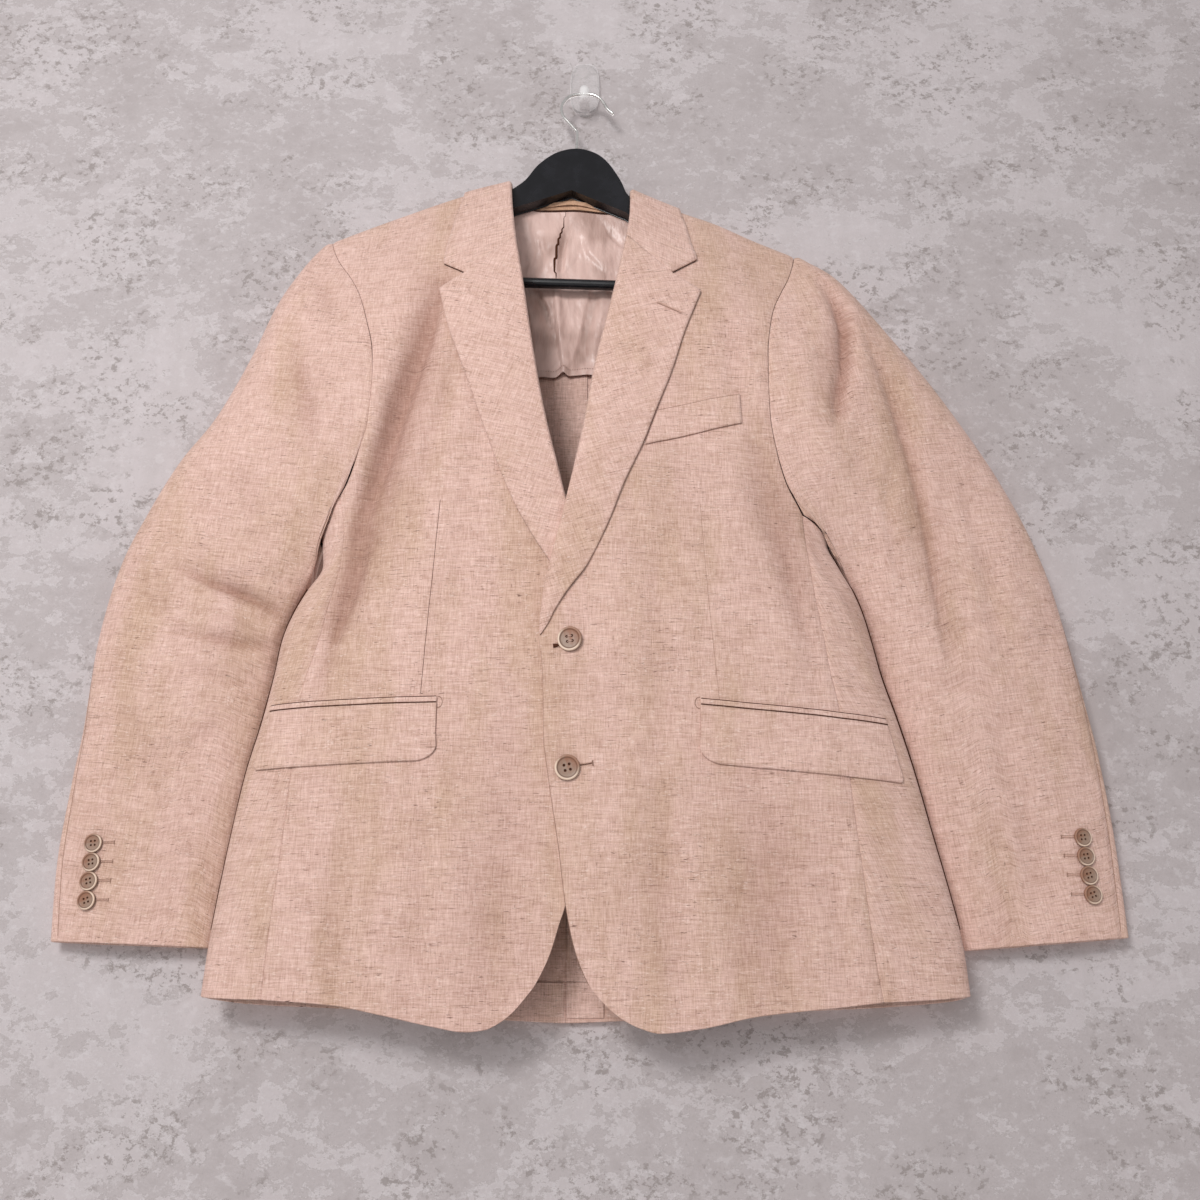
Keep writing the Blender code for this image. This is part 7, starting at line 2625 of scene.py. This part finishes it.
@dataclass
class Sewing:
    """Darts, buttonholes and tacks of thread on the cloth, and dark cords of painted shade along seams, slits and
    edges.
    """

    tools: Haberdashery
    thread: Finish
    shade: Finish
    pale: Finish
    dart_right: tuple = ((-118.5, -516), (-122, -585), (-125, -640), (-127, -684))
    dart_left: tuple = ((100, -519), (104, -595), (108, -650), (111, -690))
    lapel_slit: tuple = ((67, -324.5), (78, -330), (88.5, -335))
    upper_slit: tuple = ((-21.4, -647.6), (-15, -646.6), (-8, -645.4))
    lower_slit: tuple = ((-4, -742.6), (3, -741.8), (9.8, -740.6))
    lower_tack: tuple = ((10.2, -738.6), (10.6, -742.6))
    welt_top: tuple = ((66.3, -432.6), (137.6, -414.8))
    # x, y, z and relative thickness of the dark cords of painted shadow where the sleeves lie against the body.
    beside_left: tuple = (
        (214, -44.2, -544.7, 0.6), (223.2, -41, -562, 1.0), (232.1, -41.8, -580.8, 1.0),
        (239.4, -38.9, -597.9, 0.8), (244.4, -36.3, -615.1, 0.7), (248.5, -33.6, -632.2, 0.8),
        (252.3, -31.6, -649.3, 0.9), (256.8, -30.6, -666.5, 1.0), (261.8, -30.3, -683.8, 1.2),
        (266.3, -29.7, -700.8, 1.3), (270.7, -28.7, -717.6, 1.2), (275, -27.4, -734.1, 1.0),
        (278.8, -26, -750.4, 0.9), (282.4, -24.5, -766.6, 0.9), (286, -22.9, -782.7, 0.8),
        (289.8, -21.3, -798.6, 0.7), (293.5, -19.8, -814.4, 0.7), (297.1, -18.1, -830, 0.6),
        (300.4, -16.7, -845.6, 0.6), (303.4, -15.8, -861, 0.5),
    )
    beside_right: tuple = (
        (-234.9, -41.7, -580.7, 1.0), (-244.2, -40.1, -598.4, 0.8), (-251.3, -38.2, -615.8, 0.6),
        (-255.8, -35.2, -632.7, 0.5), (-258, -33.6, -649.9, 0.5), (-261, -32.4, -667, 0.6),
        (-264.2, -31.5, -684.1, 0.7), (-267.5, -30.8, -701.1, 0.7), (-271.5, -30, -717.9, 0.6),
        (-275.4, -28.7, -734.4, 0.5),
        (-278.5, -27.1, -750.7, 0.5), (-281.2, -25.4, -766.8, 0.4), (-283.7, -23.8, -782.8, 0.4),
        (-286.2, -22.1, -798.7, 0.4), (-288.4, -20.4, -814.5, 0.5), (-290.6, -18.9, -830.1, 0.5),
        (-292.4, -17.9, -845.7, 0.5), (-294.1, -17.5, -861.2, 0.4),
    )

    def seam(self, name: str, lines: Sequence[Line], radius: float, finish: Finish) -> None:
        """Thin cords that lie in seams or under edges; all but the welt's top stitching paint shade."""
        self.tools.cord(name, lines, radius, finish, Slot.LINEN, sides=6, step=2.0)

    def darts(self) -> None:
        """Cords of painted shade along the seam lines of the two front darts."""
        self.seam("dart_seam_right", [on_form(BODY.front, self.dart_right, 0.02, 60)], 0.21, self.shade)
        self.seam("dart_seam_left", [on_form(BODY.left_front, self.dart_left, 0.02, 60)], 0.14, self.thread)

    def sleeve_lines(self, sleeves: Sequence["Sleeve"]) -> None:
        """Cords of painted shade along the sleeves' hind seams, and dark cords of painted shadow where the sleeves
        lie against the body.

        Args:
            sleeves: Both sleeves, which are built.
        """
        self.seam("hind_seams", [sleeve.hind_seam for sleeve in sleeves], 0.22, self.thread)
        lines = []
        for table in (self.beside_left, self.beside_right):
            rows, at = np.array(table), np.linspace(0, len(table) - 1, 120)
            x, y, z, thick = (Curve(range(len(rows)), column)(at) for column in rows.T)
            lines.append(Line(np.stack([x, y, z], 1), AHEAD, thick))
        self.tools.cord("beside_body", lines, 0.6, self.shade, Slot.LINEN, sides=8, step=2.0)

    def lapel_hole(self) -> None:
        """The buttonhole on the wearer's left lapel."""
        line = on_form(BODY.calm_left_front, self.lapel_slit, LEAF + 1.3, 24)
        self.tools.stitches("lapel_buttonhole", [line], 0.55, 2.2, 0.22, self.pale)
        lip = Line(line.points + line.out * 0.12 + [0, 0, -1.1], line.out)
        self.tools.cord("lapel_buttonhole_lip", [lip], 0.16, self.thread, Slot.LINEN, sides=6)

    def front_holes(self) -> None:
        """The two buttonholes of the front edge, with dark cords of painted shade in their slits."""
        top = on_form(BODY.calm_left_front, self.upper_slit, 0.25, 16)
        self.tools.stitches("front_buttonhole_1_stitches", [top], 0.5, 4.2, 0.22, self.thread)
        eye = np.linspace(0, 1, 16)
        # Painted shade: a dark cord in the upper buttonhole's slit, swollen at its eye.
        swollen = Line(top.points - top.out * 0.5, top.out, mix(1.75, 0.6, eased(eye * 1.6)))
        self.tools.cord("front_buttonhole_1_slit", [swollen], 1.0, self.shade, Slot.LINEN, sides=10, step=0.4)
        low = on_form(BODY.calm_left_front, self.lower_slit, 0.2, 20)
        self.tools.stitches("front_buttonhole_2_stitches", [low], 0.5, 2.4, 0.2, self.thread)
        # Painted shade: a thin dark cord in the lower buttonhole's slit.
        slit = Line(low.points + low.out * 0.22, low.out)
        self.tools.cord("front_buttonhole_2_slit", [slit], 0.3, self.shade, Slot.LINEN, sides=6)
        bar = on_form(BODY.calm_left_front, self.lower_tack, 0.25, 6)
        self.tools.stitches("front_buttonhole_2_tack", [bar], 0.42, 1.4, 0.22, self.thread)

    def cuff_holes(self, sleeve: "Sleeve", places: Sequence[tuple]) -> None:
        """The cuff's four buttonholes, on the buttons' inner side.

        Args:
            sleeve: The sleeve, which is built.
            places: x and z of each button.
        """
        word, sign = sleeve.half.arm.word, sleeve.half.sign
        slits, bars = [], []
        for x, z in places:
            slit = np.stack([np.linspace(5, 16.5, 14), np.zeros(14)], 1)
            bar = np.stack([np.full(5, 17.0), np.linspace(-1.5, 1.5, 5)], 1)
            for kind, steps in ((slits, slit), (bars, bar)):
                feet = [sleeve.foot_at(x - sign * dx, z + dz + 0.4) for dx, dz in steps]
                out = unit(np.mean([way for _, way in feet], axis=0))
                kind.append(Line(np.array([foot for foot, _ in feet]) + out * 0.15, out))
        self.tools.stitches(f"cuff_buttonholes_{word}", slits, 0.55, 1.7, 0.16, self.pale)
        self.tools.stitches(f"cuff_tacks_{word}", bars, 0.42, 1.0, 0.15, self.thread)
        lips = [Line(s.points + s.out * 0.1 + [0, 0, way], s.out) for s in slits for way in (-0.85, 0.85)]
        self.tools.cord(f"cuff_lips_{word}", lips, 0.13, self.thread, Slot.LINEN, sides=6)

    def pocket_tacks(self) -> None:
        """The half-round tacks at the pockets' inner ends, with a dark cord of painted shade under each."""
        lines = []
        for form, x, z, way in ((BODY.front, -113.0, -691.0, 1), (BODY.left_front, 95.0, -692.0, -1)):
            turn = np.linspace(-math.pi / 2, math.pi / 2, 18)
            places = np.stack([x + way * 3.6 * np.cos(turn), z + 4.6 * np.sin(turn)], 1)
            lines.append(on_form(form, places, 0.15))
        self.tools.stitches("pocket_tacks", lines, 1.1, 1.25, 0.26, self.thread, across=False)
        # Painted shade: a dark cord just under each tack.
        self.tools.cord("pocket_tack_folds", [Line(l.points - l.out * 0.1, l.out) for l in lines], 0.2,
                        self.shade, Slot.LINEN, sides=6)

    def pocket_seams(self, pockets: Sequence[Pocket]) -> None:
        """Dark cords of painted shade along the jets' lower and upper edges.

        Args:
            pockets: Both pockets, which are built.
        """
        low, high = ([pocket.seams[row] for pocket in pockets] for row in (0, 1))
        self.seam("jet_lower_seams", low, 0.42, self.shade)
        self.seam("jet_upper_seams", high, 0.34, self.shade)

    def edges(self, lines: Sequence[Line], inside: "NeckInside") -> None:
        """The dark lines of painted shadow under the edges of the lapels, the collar, the front and the back's turned
        hems, the painted shade in the lining's pleat, and the lining's sewing.

        Args:
            lines: The edges' lines.
            inside: The pieces inside the neck, which are built.
        """
        self.seam("edge_shadows", lines, 0.2, self.shade)
        z = np.linspace(-650, -905, 120)
        x = LEFT_HALF.inner_edge(z) - 0.45
        self.seam("front_edge_shadow", [on_form(BODY.front, np.stack([x, z], 1), 0.15)], 0.2, self.thread)
        turned = [on_form(BODY.calm_back, ((left, -900.2), (right, -900.8)), CLOTH + height, 60)
                  for left, right, height in ((-110, -13, 1.25), (-10.5, 18.5, 1.98), (21, 100, 1.25))]
        self.seam("turned_hem_shadows", turned, 0.17, self.shade)
        top = on_form(BODY.left_front, self.welt_top, ON_FRONT + Welt.thick, 60)
        self.seam("welt_top_stitching", [top], 0.2, self.thread)
        # Painted shade: a dark cord in the lining's pleat.
        self.tools.cord("lining_pleat", [inside.pleat], 1.1, self.shade, Slot.LINING, sides=8, step=1.5)
        self.tools.stitches("lining_hem_stitches", [inside.hem_line], 2.4, 1.5, 0.2, self.thread, across=False)

    def build(self, sleeves: Sequence["Sleeve"], pockets: Sequence[Pocket]) -> None:
        """Make all the sewing.

        Args:
            sleeves: Both sleeves, which are built.
            pockets: Both pockets, which are built.
        """
        self.darts()
        self.pocket_seams(pockets)
        self.lapel_hole()
        self.front_holes()
        self.pocket_tacks()
        self.sleeve_lines(sleeves)
        for sleeve in sleeves:
            self.cuff_holes(sleeve, CUFF_BUTTONS[sleeve.half.arm])


# ---------------------------------------------------------------- buttons

FRONT_BUTTONS = ((-8, -642), (-9.5, -744))
CUFF_BUTTONS = {
    Arm.RIGHT: ((-393, -794), (-393, -809), (-393, -824), (-393, -839)),
    Arm.LEFT: ((406, -789.5), (407, -804.5), (408, -819.5), (409.5, -834.5)),
}


@dataclass
class ButtonShape:
    """A four-hole button, turned with a dish and a raised rim."""

    radius: float
    hole: float
    spread: float
    sides: int = 56
    profile: tuple = ((0.0, 0.0), (0.4, 0.0), (0.74, 0.05), (0.93, 0.55), (1.0, 1.3), (1.0, 2.05),
                      (0.965, 2.7), (0.9, 3.05), (0.83, 2.98), (0.76, 2.6), (0.68, 2.3), (0.5, 2.18),
                      (0.25, 2.12), (0.0, 2.1))

    def blank(self) -> Piece:
        """The turned shape before its holes.

        Returns:
            The object, in millimetres.
        """
        rows = refined(np.array(self.profile), fine_places(len(self.profile) - 1, 3))
        turn = np.linspace(0, 2 * math.pi, self.sides, endpoint=False)
        rings = rows[1:-1]
        points = np.stack([
            rings[:, :1] * self.radius * np.cos(turn), rings[:, :1] * self.radius * np.sin(turn),
            np.broadcast_to(rings[:, 1:], (len(rings), self.sides)),
        ], -1).reshape(-1, 3)
        count, faces = len(points), []
        points = np.concatenate([points, [[0, 0, rows[0, 1]], [0, 0, rows[-1, 1]]]])
        last = (len(rings) - 1) * self.sides
        for i in range(self.sides):
            k = (i + 1) % self.sides
            faces += [[count, k, i], [count + 1, last + i, last + k]]
            faces += [[r + i, r + k, r + k + self.sides, r + i + self.sides] for r in range(0, last, self.sides)]
        return new_shape("button_blank", points.tolist(), faces)

    def drill(self) -> Piece:
        """Four pins that cut the holes.

        Returns:
            The object, in millimetres.
        """
        count = 20
        turn = np.linspace(0, 2 * math.pi, count, endpoint=False)
        points, faces = [], []
        for x in (-self.spread, self.spread):
            for y in (-self.spread, self.spread):
                low, high = len(points), len(points) + count
                for z in (-1.0, 4.0):
                    points += [(x + self.hole * math.cos(t), y + self.hole * math.sin(t), z) for t in turn]
                faces += [[high - 1 - i for i in range(count)], [high + i for i in range(count)]]
                nxt = [(i + 1) % count for i in range(count)]
                faces += [[low + i, low + k, high + k, high + i] for i, k in enumerate(nxt)]
        return new_shape("button_drill", points, faces)

    def pattern(self) -> bpy.types.Mesh:
        """The drilled button, in millimetres, lying at the origin and facing up.

        Returns:
            The mesh.
        """
        blank, drill = self.blank(), self.drill()
        cut = blank.modifiers.new("holes", "BOOLEAN")
        cut.operation, cut.object, cut.solver = "DIFFERENCE", drill, "EXACT"
        mesh = finished_mesh(blank)
        bpy.data.objects.remove(drill)
        return mesh


@dataclass
class Buttons:
    """The front and cuff buttons with their thread, and dark plugs of painted shade in their holes."""

    tools: Haberdashery
    horn: Finish
    thread: Finish
    shade: Finish
    front: ButtonShape = field(default_factory=lambda: ButtonShape(10.0, 1.15, 2.1))
    cuff: ButtonShape = field(default_factory=lambda: ButtonShape(7.5, 0.9, 1.6))
    sewn: list = field(default_factory=list)
    plugs: list = field(default_factory=list)

    def place(self, node: str, shape: ButtonShape, pattern: bpy.types.Mesh, foot: Array, out: Array,
              spin: float) -> None:
        """Sew one button on.

        Args:
            node: The solid that it replaces.
            shape: The button's sizes.
            pattern: The drilled shape.
            foot: Where it stands.
            out: The way it faces.
            spin: How far its holes are turned.
        """
        local = np.empty(len(pattern.vertices) * 3)
        pattern.vertices.foreach_get("co", local)
        local = local.reshape(-1, 3)
        out = unit(out)
        side = unit(np.cross(np.array([0.0, 0.0, 1.0]), out))
        up = np.cross(out, side)
        c, s = math.cos(spin), math.sin(spin)
        basis = np.stack([side * c + up * s, up * c - side * s, out])
        mesh = pattern.copy()
        mesh.vertices.foreach_set("co", ((local @ basis + foot) * MM).ravel())
        keep_values(mesh, "spot", local)
        keep_values(mesh, "reach", np.full(len(local), shape.radius))
        mesh.shade_smooth()
        mesh.set_sharp_from_angle(angle=math.radians(38))
        mesh.update()
        dress(new_object(f"{node}_turned", mesh), self.horn, Slot.HORN, node)
        a = shape.spread
        across, height = np.array([-a, -a, -a * 0.82, 0, a * 0.82, a, a]), (0.9, 2.0, 2.42, 2.55, 2.42, 2.0, 0.9)
        for y in (-a, a):
            for x in (-a, a):
                # Painted shade: a dark plug inside each hole.
                plug = np.array([(x, y, rise) for rise in (0.3, 0.8, 1.3)])
                self.plugs.append(Line(plug @ basis + foot, out, np.full(3, shape.hole)))
            if node.endswith("front_1"):
                way = np.stack([across, np.full(len(across), y), height], 1)
                self.sewn.append(Line(way @ basis + foot, out))

    def build(self, sleeves: Sequence["Sleeve"]) -> None:
        """Make the ten buttons.

        Args:
            sleeves: Both sleeves, which are built.
        """
        pattern = self.front.pattern()
        tilts = ((0.16, 0.06), (0.0, 0.03))
        for number, ((x, z), (dx, dz)) in enumerate(zip(FRONT_BUTTONS, tilts), 1):
            foot = raised(BODY.calm_left_front, x, z, 0.4)
            out = unit(raised(BODY.calm_left_front, x, z, 1.4) - foot) + np.array([-dx, 0, -dz])
            self.place(f"button_front_{number}", self.front, pattern, foot, out, 0.12 * number)
        pattern = self.cuff.pattern()
        for sleeve in sleeves:
            word = sleeve.half.arm.word
            for number, (x, z) in enumerate(CUFF_BUTTONS[sleeve.half.arm], 1):
                foot, out = sleeve.foot_at(x, z)
                self.place(f"button_cuff_{word}_{number}", self.cuff, pattern, foot + out * 0.5,
                           out + np.array([0, 0, 0.03]), math.pi / 2 + 0.08 * number)
        self.tools.cord("button_thread", self.sewn, 0.26, self.thread, Slot.LINEN, sides=6, step=0.5)
        self.tools.cord("button_shanks", self.plugs, 0.86, self.shade, Slot.LINEN, sides=8, step=0.5)


# ---------------------------------------------------------------- hanger and hooks


def cut_plate(name: str, outline: Array, y_front: float, y_back: float, soft: float) -> Piece:
    """A plate cut to an outline of x and z, with its edges rounded.

    Args:
        name: The piece's name.
        outline: The outline's points, in millimetres.
        y_front: Where the front face lies.
        y_back: Where the back face lies.
        soft: The radius of the edges.

    Returns:
        The plate.
    """
    count = len(outline)
    points = [(x * MM, y * MM, z * MM) for y in (y_front, y_back) for x, z in outline]
    faces = [list(range(count)), list(range(2 * count - 1, count - 1, -1))]
    faces += [[i, (i + 1) % count, count + (i + 1) % count, count + i] for i in range(count)]
    area = sum(a[0] * b[1] - b[0] * a[1] for a, b in zip(outline, np.roll(outline, -1, axis=0)))
    if area < 0:
        faces = [face[::-1] for face in faces]
    plate = new_shape(name, points, faces)
    bevel = plate.modifiers.new("soft_edges", "BEVEL")
    bevel.width, bevel.segments = soft * MM, 5
    bevel.limit_method, bevel.angle_limit = "ANGLE", math.radians(40)
    return plate


def as_plain(plate: Piece, name: str, angle: float = 35) -> Piece:
    """An object of a plate's finished mesh, smooth between its edges.

    Args:
        plate: The plate, which is used up.
        name: The new object's name.
        angle: The widest turn between two faces that is drawn smooth, in degrees.

    Returns:
        The object.
    """
    mesh = finished_mesh(plate)
    mesh.name = name
    mesh.shade_smooth()
    mesh.set_sharp_from_angle(angle=math.radians(angle))
    return new_object(name, mesh)


def rounded_line(points: Array, fine: int) -> Array:
    """A Catmull-Rom curve through points.

    Args:
        points: The points that the curve passes through.
        fine: The number of steps between two points.

    Returns:
        The curve's points.
    """
    points = np.asarray(points, float)
    at = fine_places(len(points) - 1, fine)
    i = np.minimum(at.astype(int), len(points) - 2)
    t = (at - i)[:, None]
    p0, p1 = points[np.maximum(i - 1, 0)], points[i]
    p2, p3 = points[i + 1], points[np.minimum(i + 2, len(points) - 1)]
    square, cube = 2 * p0 - 5 * p1 + 4 * p2 - p3, 3 * p1 - p0 - 3 * p2 + p3
    return 0.5 * (2 * p1 + (p2 - p0) * t + square * t**2 + cube * t**3)


@dataclass
class Hanger:
    """The moulded hanger, its wire hook and the wall hook."""

    tools: Haberdashery
    clear_of_cloth: float = 4.3
    arm_height: float = 35.0
    ends: tuple = (-233.0, 194.0)
    bar_ends: tuple = ((-206.5, -253.5), (167.5, -267.5))
    tab: float = 26.0
    front_y: float = -31.0
    back_y: float = -18.0
    crown: tuple = ((-72, -158), (-57, -145), (-44, -126), (-27, -112), (-8, -107), (10, -112), (23, -124),
                    (35, -145), (41, -160.5), (50, -171))
    wire: tuple = ((-8, -106.6), (-7.4, -98), (-7, -86), (-7.2, -79.5), (-9.5, -76), (-15, -68.5), (-21, -60.5),
                   (-23.2, -53), (-22.6, -45), (-19.5, -38.5), (-15, -34.3), (-9, -32), (0, -31), (9, -32),
                   (15.5, -36.4), (20, -43), (23.5, -50), (30, -57))
    v_shape: tuple = ((42, -181), (-12, -154.5), (-70, -176))
    wire_radius: float = 1.75
    wire_y: float = -24.5
    ferrule: tuple = (-107.2, -103.0)
    ferrule_radius: float = 3.2
    body_edge: float = 2.6
    plate_edge: float = 1.3
    crown_sides: tuple = (-80, 64)
    plate: tuple = (14.0, 30.5, -3.5, 4.0)
    shelf: tuple = ((-3.0, -33.6), (-24.5, -33.6), (-27.2, -32.4), (-28.0, -30.4), (-28.0, -26.6), (-28.6, -25.2),
                    (-29.8, -25.0), (-30.9, -25.4), (-31.5, -26.6), (-31.5, -37.0), (-30.4, -40.4), (-27.6, -42.4),
                    (-24.0, -42.6), (-3.0, -40.9))

    def body(self, finish: Finish) -> None:
        """The moulded body, with rounded edges.

        Args:
            finish: The finish that it takes.
        """
        left, right = self.ends
        clear, height = self.clear_of_cloth, self.arm_height
        first, last = np.linspace(left, self.crown_sides[0], 24), np.linspace(self.crown_sides[1], right, 24)
        top = [np.stack([first, RIDGE(first) - clear], 1), rounded_line(self.crown, 6),
               np.stack([last, RIDGE(last) - clear], 1)]
        tabs = (right - self.tab, left + self.tab)
        low_right, low_left = self.bar_ends[1][1], self.bar_ends[0][1]
        under = [(right, low_right - 7), (tabs[0], low_right - 9)]
        below = [[(x, float(RIDGE(x)) - clear - height) for x in arm]
                 for arm in ((tabs[0], 120, 76), (-110, -160, tabs[1]))]
        under += [*below[0], *self.v_shape, *below[1]]
        under += [(tabs[1], low_left - 9), (left, low_left - 7)]
        plate = cut_plate("hanger_body", np.concatenate([*top, under]), self.front_y, self.back_y, self.body_edge)
        dress(as_plain(plate, "hanger_body"), finish, Slot.BLACK, "hanger")

    def hook(self, finish: Finish) -> None:
        """The wire hook, with a rounded tip.

        Args:
            finish: The finish that it takes.
        """
        path = rounded_line(self.wire, 16)
        points = np.stack([path[:, 0], np.full(len(path), self.wire_y), path[:, 1]], 1)
        way = np.linalg.norm(points - points[-1], axis=1)
        thick = np.sqrt(np.clip(1 - (1 - np.clip(way / 1.6, 0, 1)) ** 2, 0.02, 1))
        self.tools.cord("wire_hook_drawn", [Line(points, AHEAD, thick)], self.wire_radius,
                        finish, Slot.CHROME, "wire_hook", sides=24, step=0.8)
        turn = np.linspace(0, 1, 8)
        collar = np.stack([np.full(8, self.wire[0][0]), np.full(8, self.wire_y), mix(*self.ferrule, turn)], 1)
        ring = Line(collar, AHEAD, np.sqrt(np.clip(1 - (2 * turn - 1) ** 4, 0.1, 1)))
        self.tools.cord("hook_ferrule", [ring], self.ferrule_radius, finish, Slot.CHROME, sides=24, step=0.5)

    def shelf_solid(self) -> Piece:
        """The wall hook's shelf and its lip, which bow back at the sides.

        Returns:
            The object.
        """
        count, across = len(self.shelf), np.linspace(-1, 1, 15)
        points = [(5.0 * side * MM, (y + (3.0 * side * side if y < -24 else 0.0)) * MM, z * MM)
                  for side in across for y, z in np.array(self.shelf)]
        last = len(points) - count
        faces = [list(range(count)), list(range(last + count - 1, last - 1, -1))]
        faces += [[row + i, row + count + i, row + count + (i + 1) % count, row + (i + 1) % count]
                  for row in range(0, last, count) for i in range(count)]
        made = new_shape("wall_shelf", points, faces)
        p = np.array(points)
        volume = sum(np.dot(p[f[0]], np.cross(p[f[k]], p[f[k + 1]])) for f in faces for k in range(1, len(f) - 1))
        if volume < 0:
            made.data.flip_normals()
        return made

    def wall_hook(self, finish: Finish) -> None:
        """The clear plate with its shelf and lip.

        Args:
            finish: The finish that it takes.
        """
        turn = np.linspace(0, 2 * math.pi, 72, endpoint=False)
        c, s = np.cos(turn), np.sin(turn)
        half_width, half_height, middle_z, thick = self.plate
        x = half_width * np.sign(c) * np.abs(c) ** 0.55
        z = middle_z + half_height * np.sign(s) * np.abs(s) ** 0.75
        plate = cut_plate("wall_plate", np.stack([x, z], 1), -thick, 0.0, self.plate_edge)
        shelf = self.shelf_solid()
        joined = plate.modifiers.new("shelf", "BOOLEAN")
        joined.operation, joined.object, joined.solver = "UNION", shelf, "EXACT"
        made = as_plain(plate, "wall_hook_clear")
        bpy.data.objects.remove(shelf)
        dress(made, finish, Slot.CLEAR, "wall_hook")

    def bar(self, finish: Finish) -> None:
        """The straight bar keeps its solid and takes a better finish.

        Args:
            finish: The finish that it takes.
        """
        bar = bpy.data.objects["trouser_bar"]
        for place in bar.material_slots:
            place.material = finish


# ---------------------------------------------------------------- the stage


@dataclass(frozen=True)
class Studio:
    """The wall, the floor, the lights and the camera."""

    eye: tuple = (0.016, -1.008, -0.942)
    pitch: float = 20.0
    aim: tuple = (0, 0, -0.5)
    lens: float = 36.09
    floor_z: float = -1.75
    wall_y: float = 0.0006
    sky: tuple = (1, 0.985, 0.99, 1)
    sky_strength: float = 0.44

    def camera(self) -> None:
        """Set the camera level with the hem, turned up."""
        data = bpy.data.cameras.new("camera")
        data.lens, data.sensor_width = self.lens, 36.0
        data.clip_start, data.clip_end = 0.01, 50.0
        made = new_object("camera", data)
        made.location = self.eye
        made.rotation_euler = (math.radians(90 + self.pitch), 0, 0)
        bpy.context.scene.camera = made

    def lamp(self, name: str, place: tuple, size: float, power: float, past: Piece | None = None) -> None:
        """A soft square lamp, aimed at the middle of the jacket.

        Args:
            name: The lamp's name.
            place: Where it stands, in metres.
            size: Its side.
            power: Its power in watts.
            past: An object that doesn't block it.
        """
        data = bpy.data.lights.new(name, "AREA")
        data.size, data.energy = size, power
        made = new_object(name, data)
        made.location = place
        made.rotation_euler = (Vector(self.aim) - Vector(place)).to_track_quat("-Z", "Y").to_euler()
        if past:
            unblocked = bpy.data.collections.new(f"{name}_unblocked")
            unblocked.objects.link(past)
            made.light_linking.blocker_collection = unblocked
            unblocked.collection_objects[0].light_linking.link_state = "EXCLUDE"

    def sheet(self, name: str, corners: Sequence[tuple], finish: Finish) -> Piece:
        """A flat face of the stage.

        Args:
            name: The face's name.
            corners: Its corners, in metres.
            finish: The finish that it takes.

        Returns:
            The object.
        """
        made = new_shape(name, list(corners), [(0, 1, 2, 3)])
        made.data.materials.append(finish)
        return made

    def build(self) -> None:
        """Set up the stage."""
        self.camera()
        z = self.floor_z
        y = self.wall_y
        wall = self.sheet("wall", ((-3, y, z), (3, y, z), (3, y, 2), (-3, y, 2)), Plaster().make())
        self.sheet("floor", ((-3, -4, z), (3, -4, z), (3, 2, z), (-3, 2, z)), PaleFloor().make())
        self.lamp("key", (-0.75, -2.1, 0.1), 0.55, 26)
        self.lamp("fill", (-0.6, -2.4, -0.5), 1.4, 16)
        self.lamp("back", (0.3, 2.2, 0.4), 2.0, 40, past=wall)
        world = bpy.data.worlds.new("soft_light")
        world.use_nodes = True
        shade = world.node_tree.nodes["Background"]
        shade.inputs[0].default_value, shade.inputs[1].default_value = self.sky, self.sky_strength
        scene = bpy.context.scene
        scene.world = world
        scene.view_settings.view_transform = "Standard"


# ---------------------------------------------------------------- all of it


def main() -> None:
    """Build the blazer, its hanger and its hooks."""
    logging.basicConfig(level=logging.INFO, format="%(message)s")
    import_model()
    linen, satin, facing = Linen().make(), Satin().make(), Facing().make()
    thread = Thread("brown_thread", (0.30, 0.18, 0.135)).make()
    pale = Thread("pale_thread", (0.56, 0.37, 0.30)).make()
    # The dark finish of the cords that paint shade in slits, holes, folds and seams and under edges.
    shade = Thread("dark_thread", (0.065, 0.022, 0.011)).make()
    tools = Haberdashery()
    sleeves, pockets, edges = [], [], []
    for half in HALVES:
        panels = Panels(half)
        panels.build(linen)
        sleeves.append(Sleeve(half, panels))
        sleeves[-1].build(linen)
        lapel = Lapel(half)
        lapel.build(linen)
        edges.append(lapel.edge)
        pockets.append(Pocket(half))
        pockets[-1].build(linen)
    collar = Collar()
    collar.build(linen)
    Welt().build(linen)
    Vent().build(linen)
    inside = NeckInside()
    inside.build(satin, facing)
    inside.seams(linen)
    sewing = Sewing(tools, thread, shade, pale)
    sewing.build(sleeves, pockets)
    sewing.edges([*edges, collar.edge], inside)
    Buttons(tools, Horn().make(), pale, shade).build(sleeves)
    hanger, black = Hanger(tools), Moulding().make()
    hanger.body(black)
    hanger.bar(black)
    hanger.hook(Chrome().make())
    hanger.wall_hook(ClearPlastic().make())
    Studio().build()


if __name__ == "__main__":
    main()
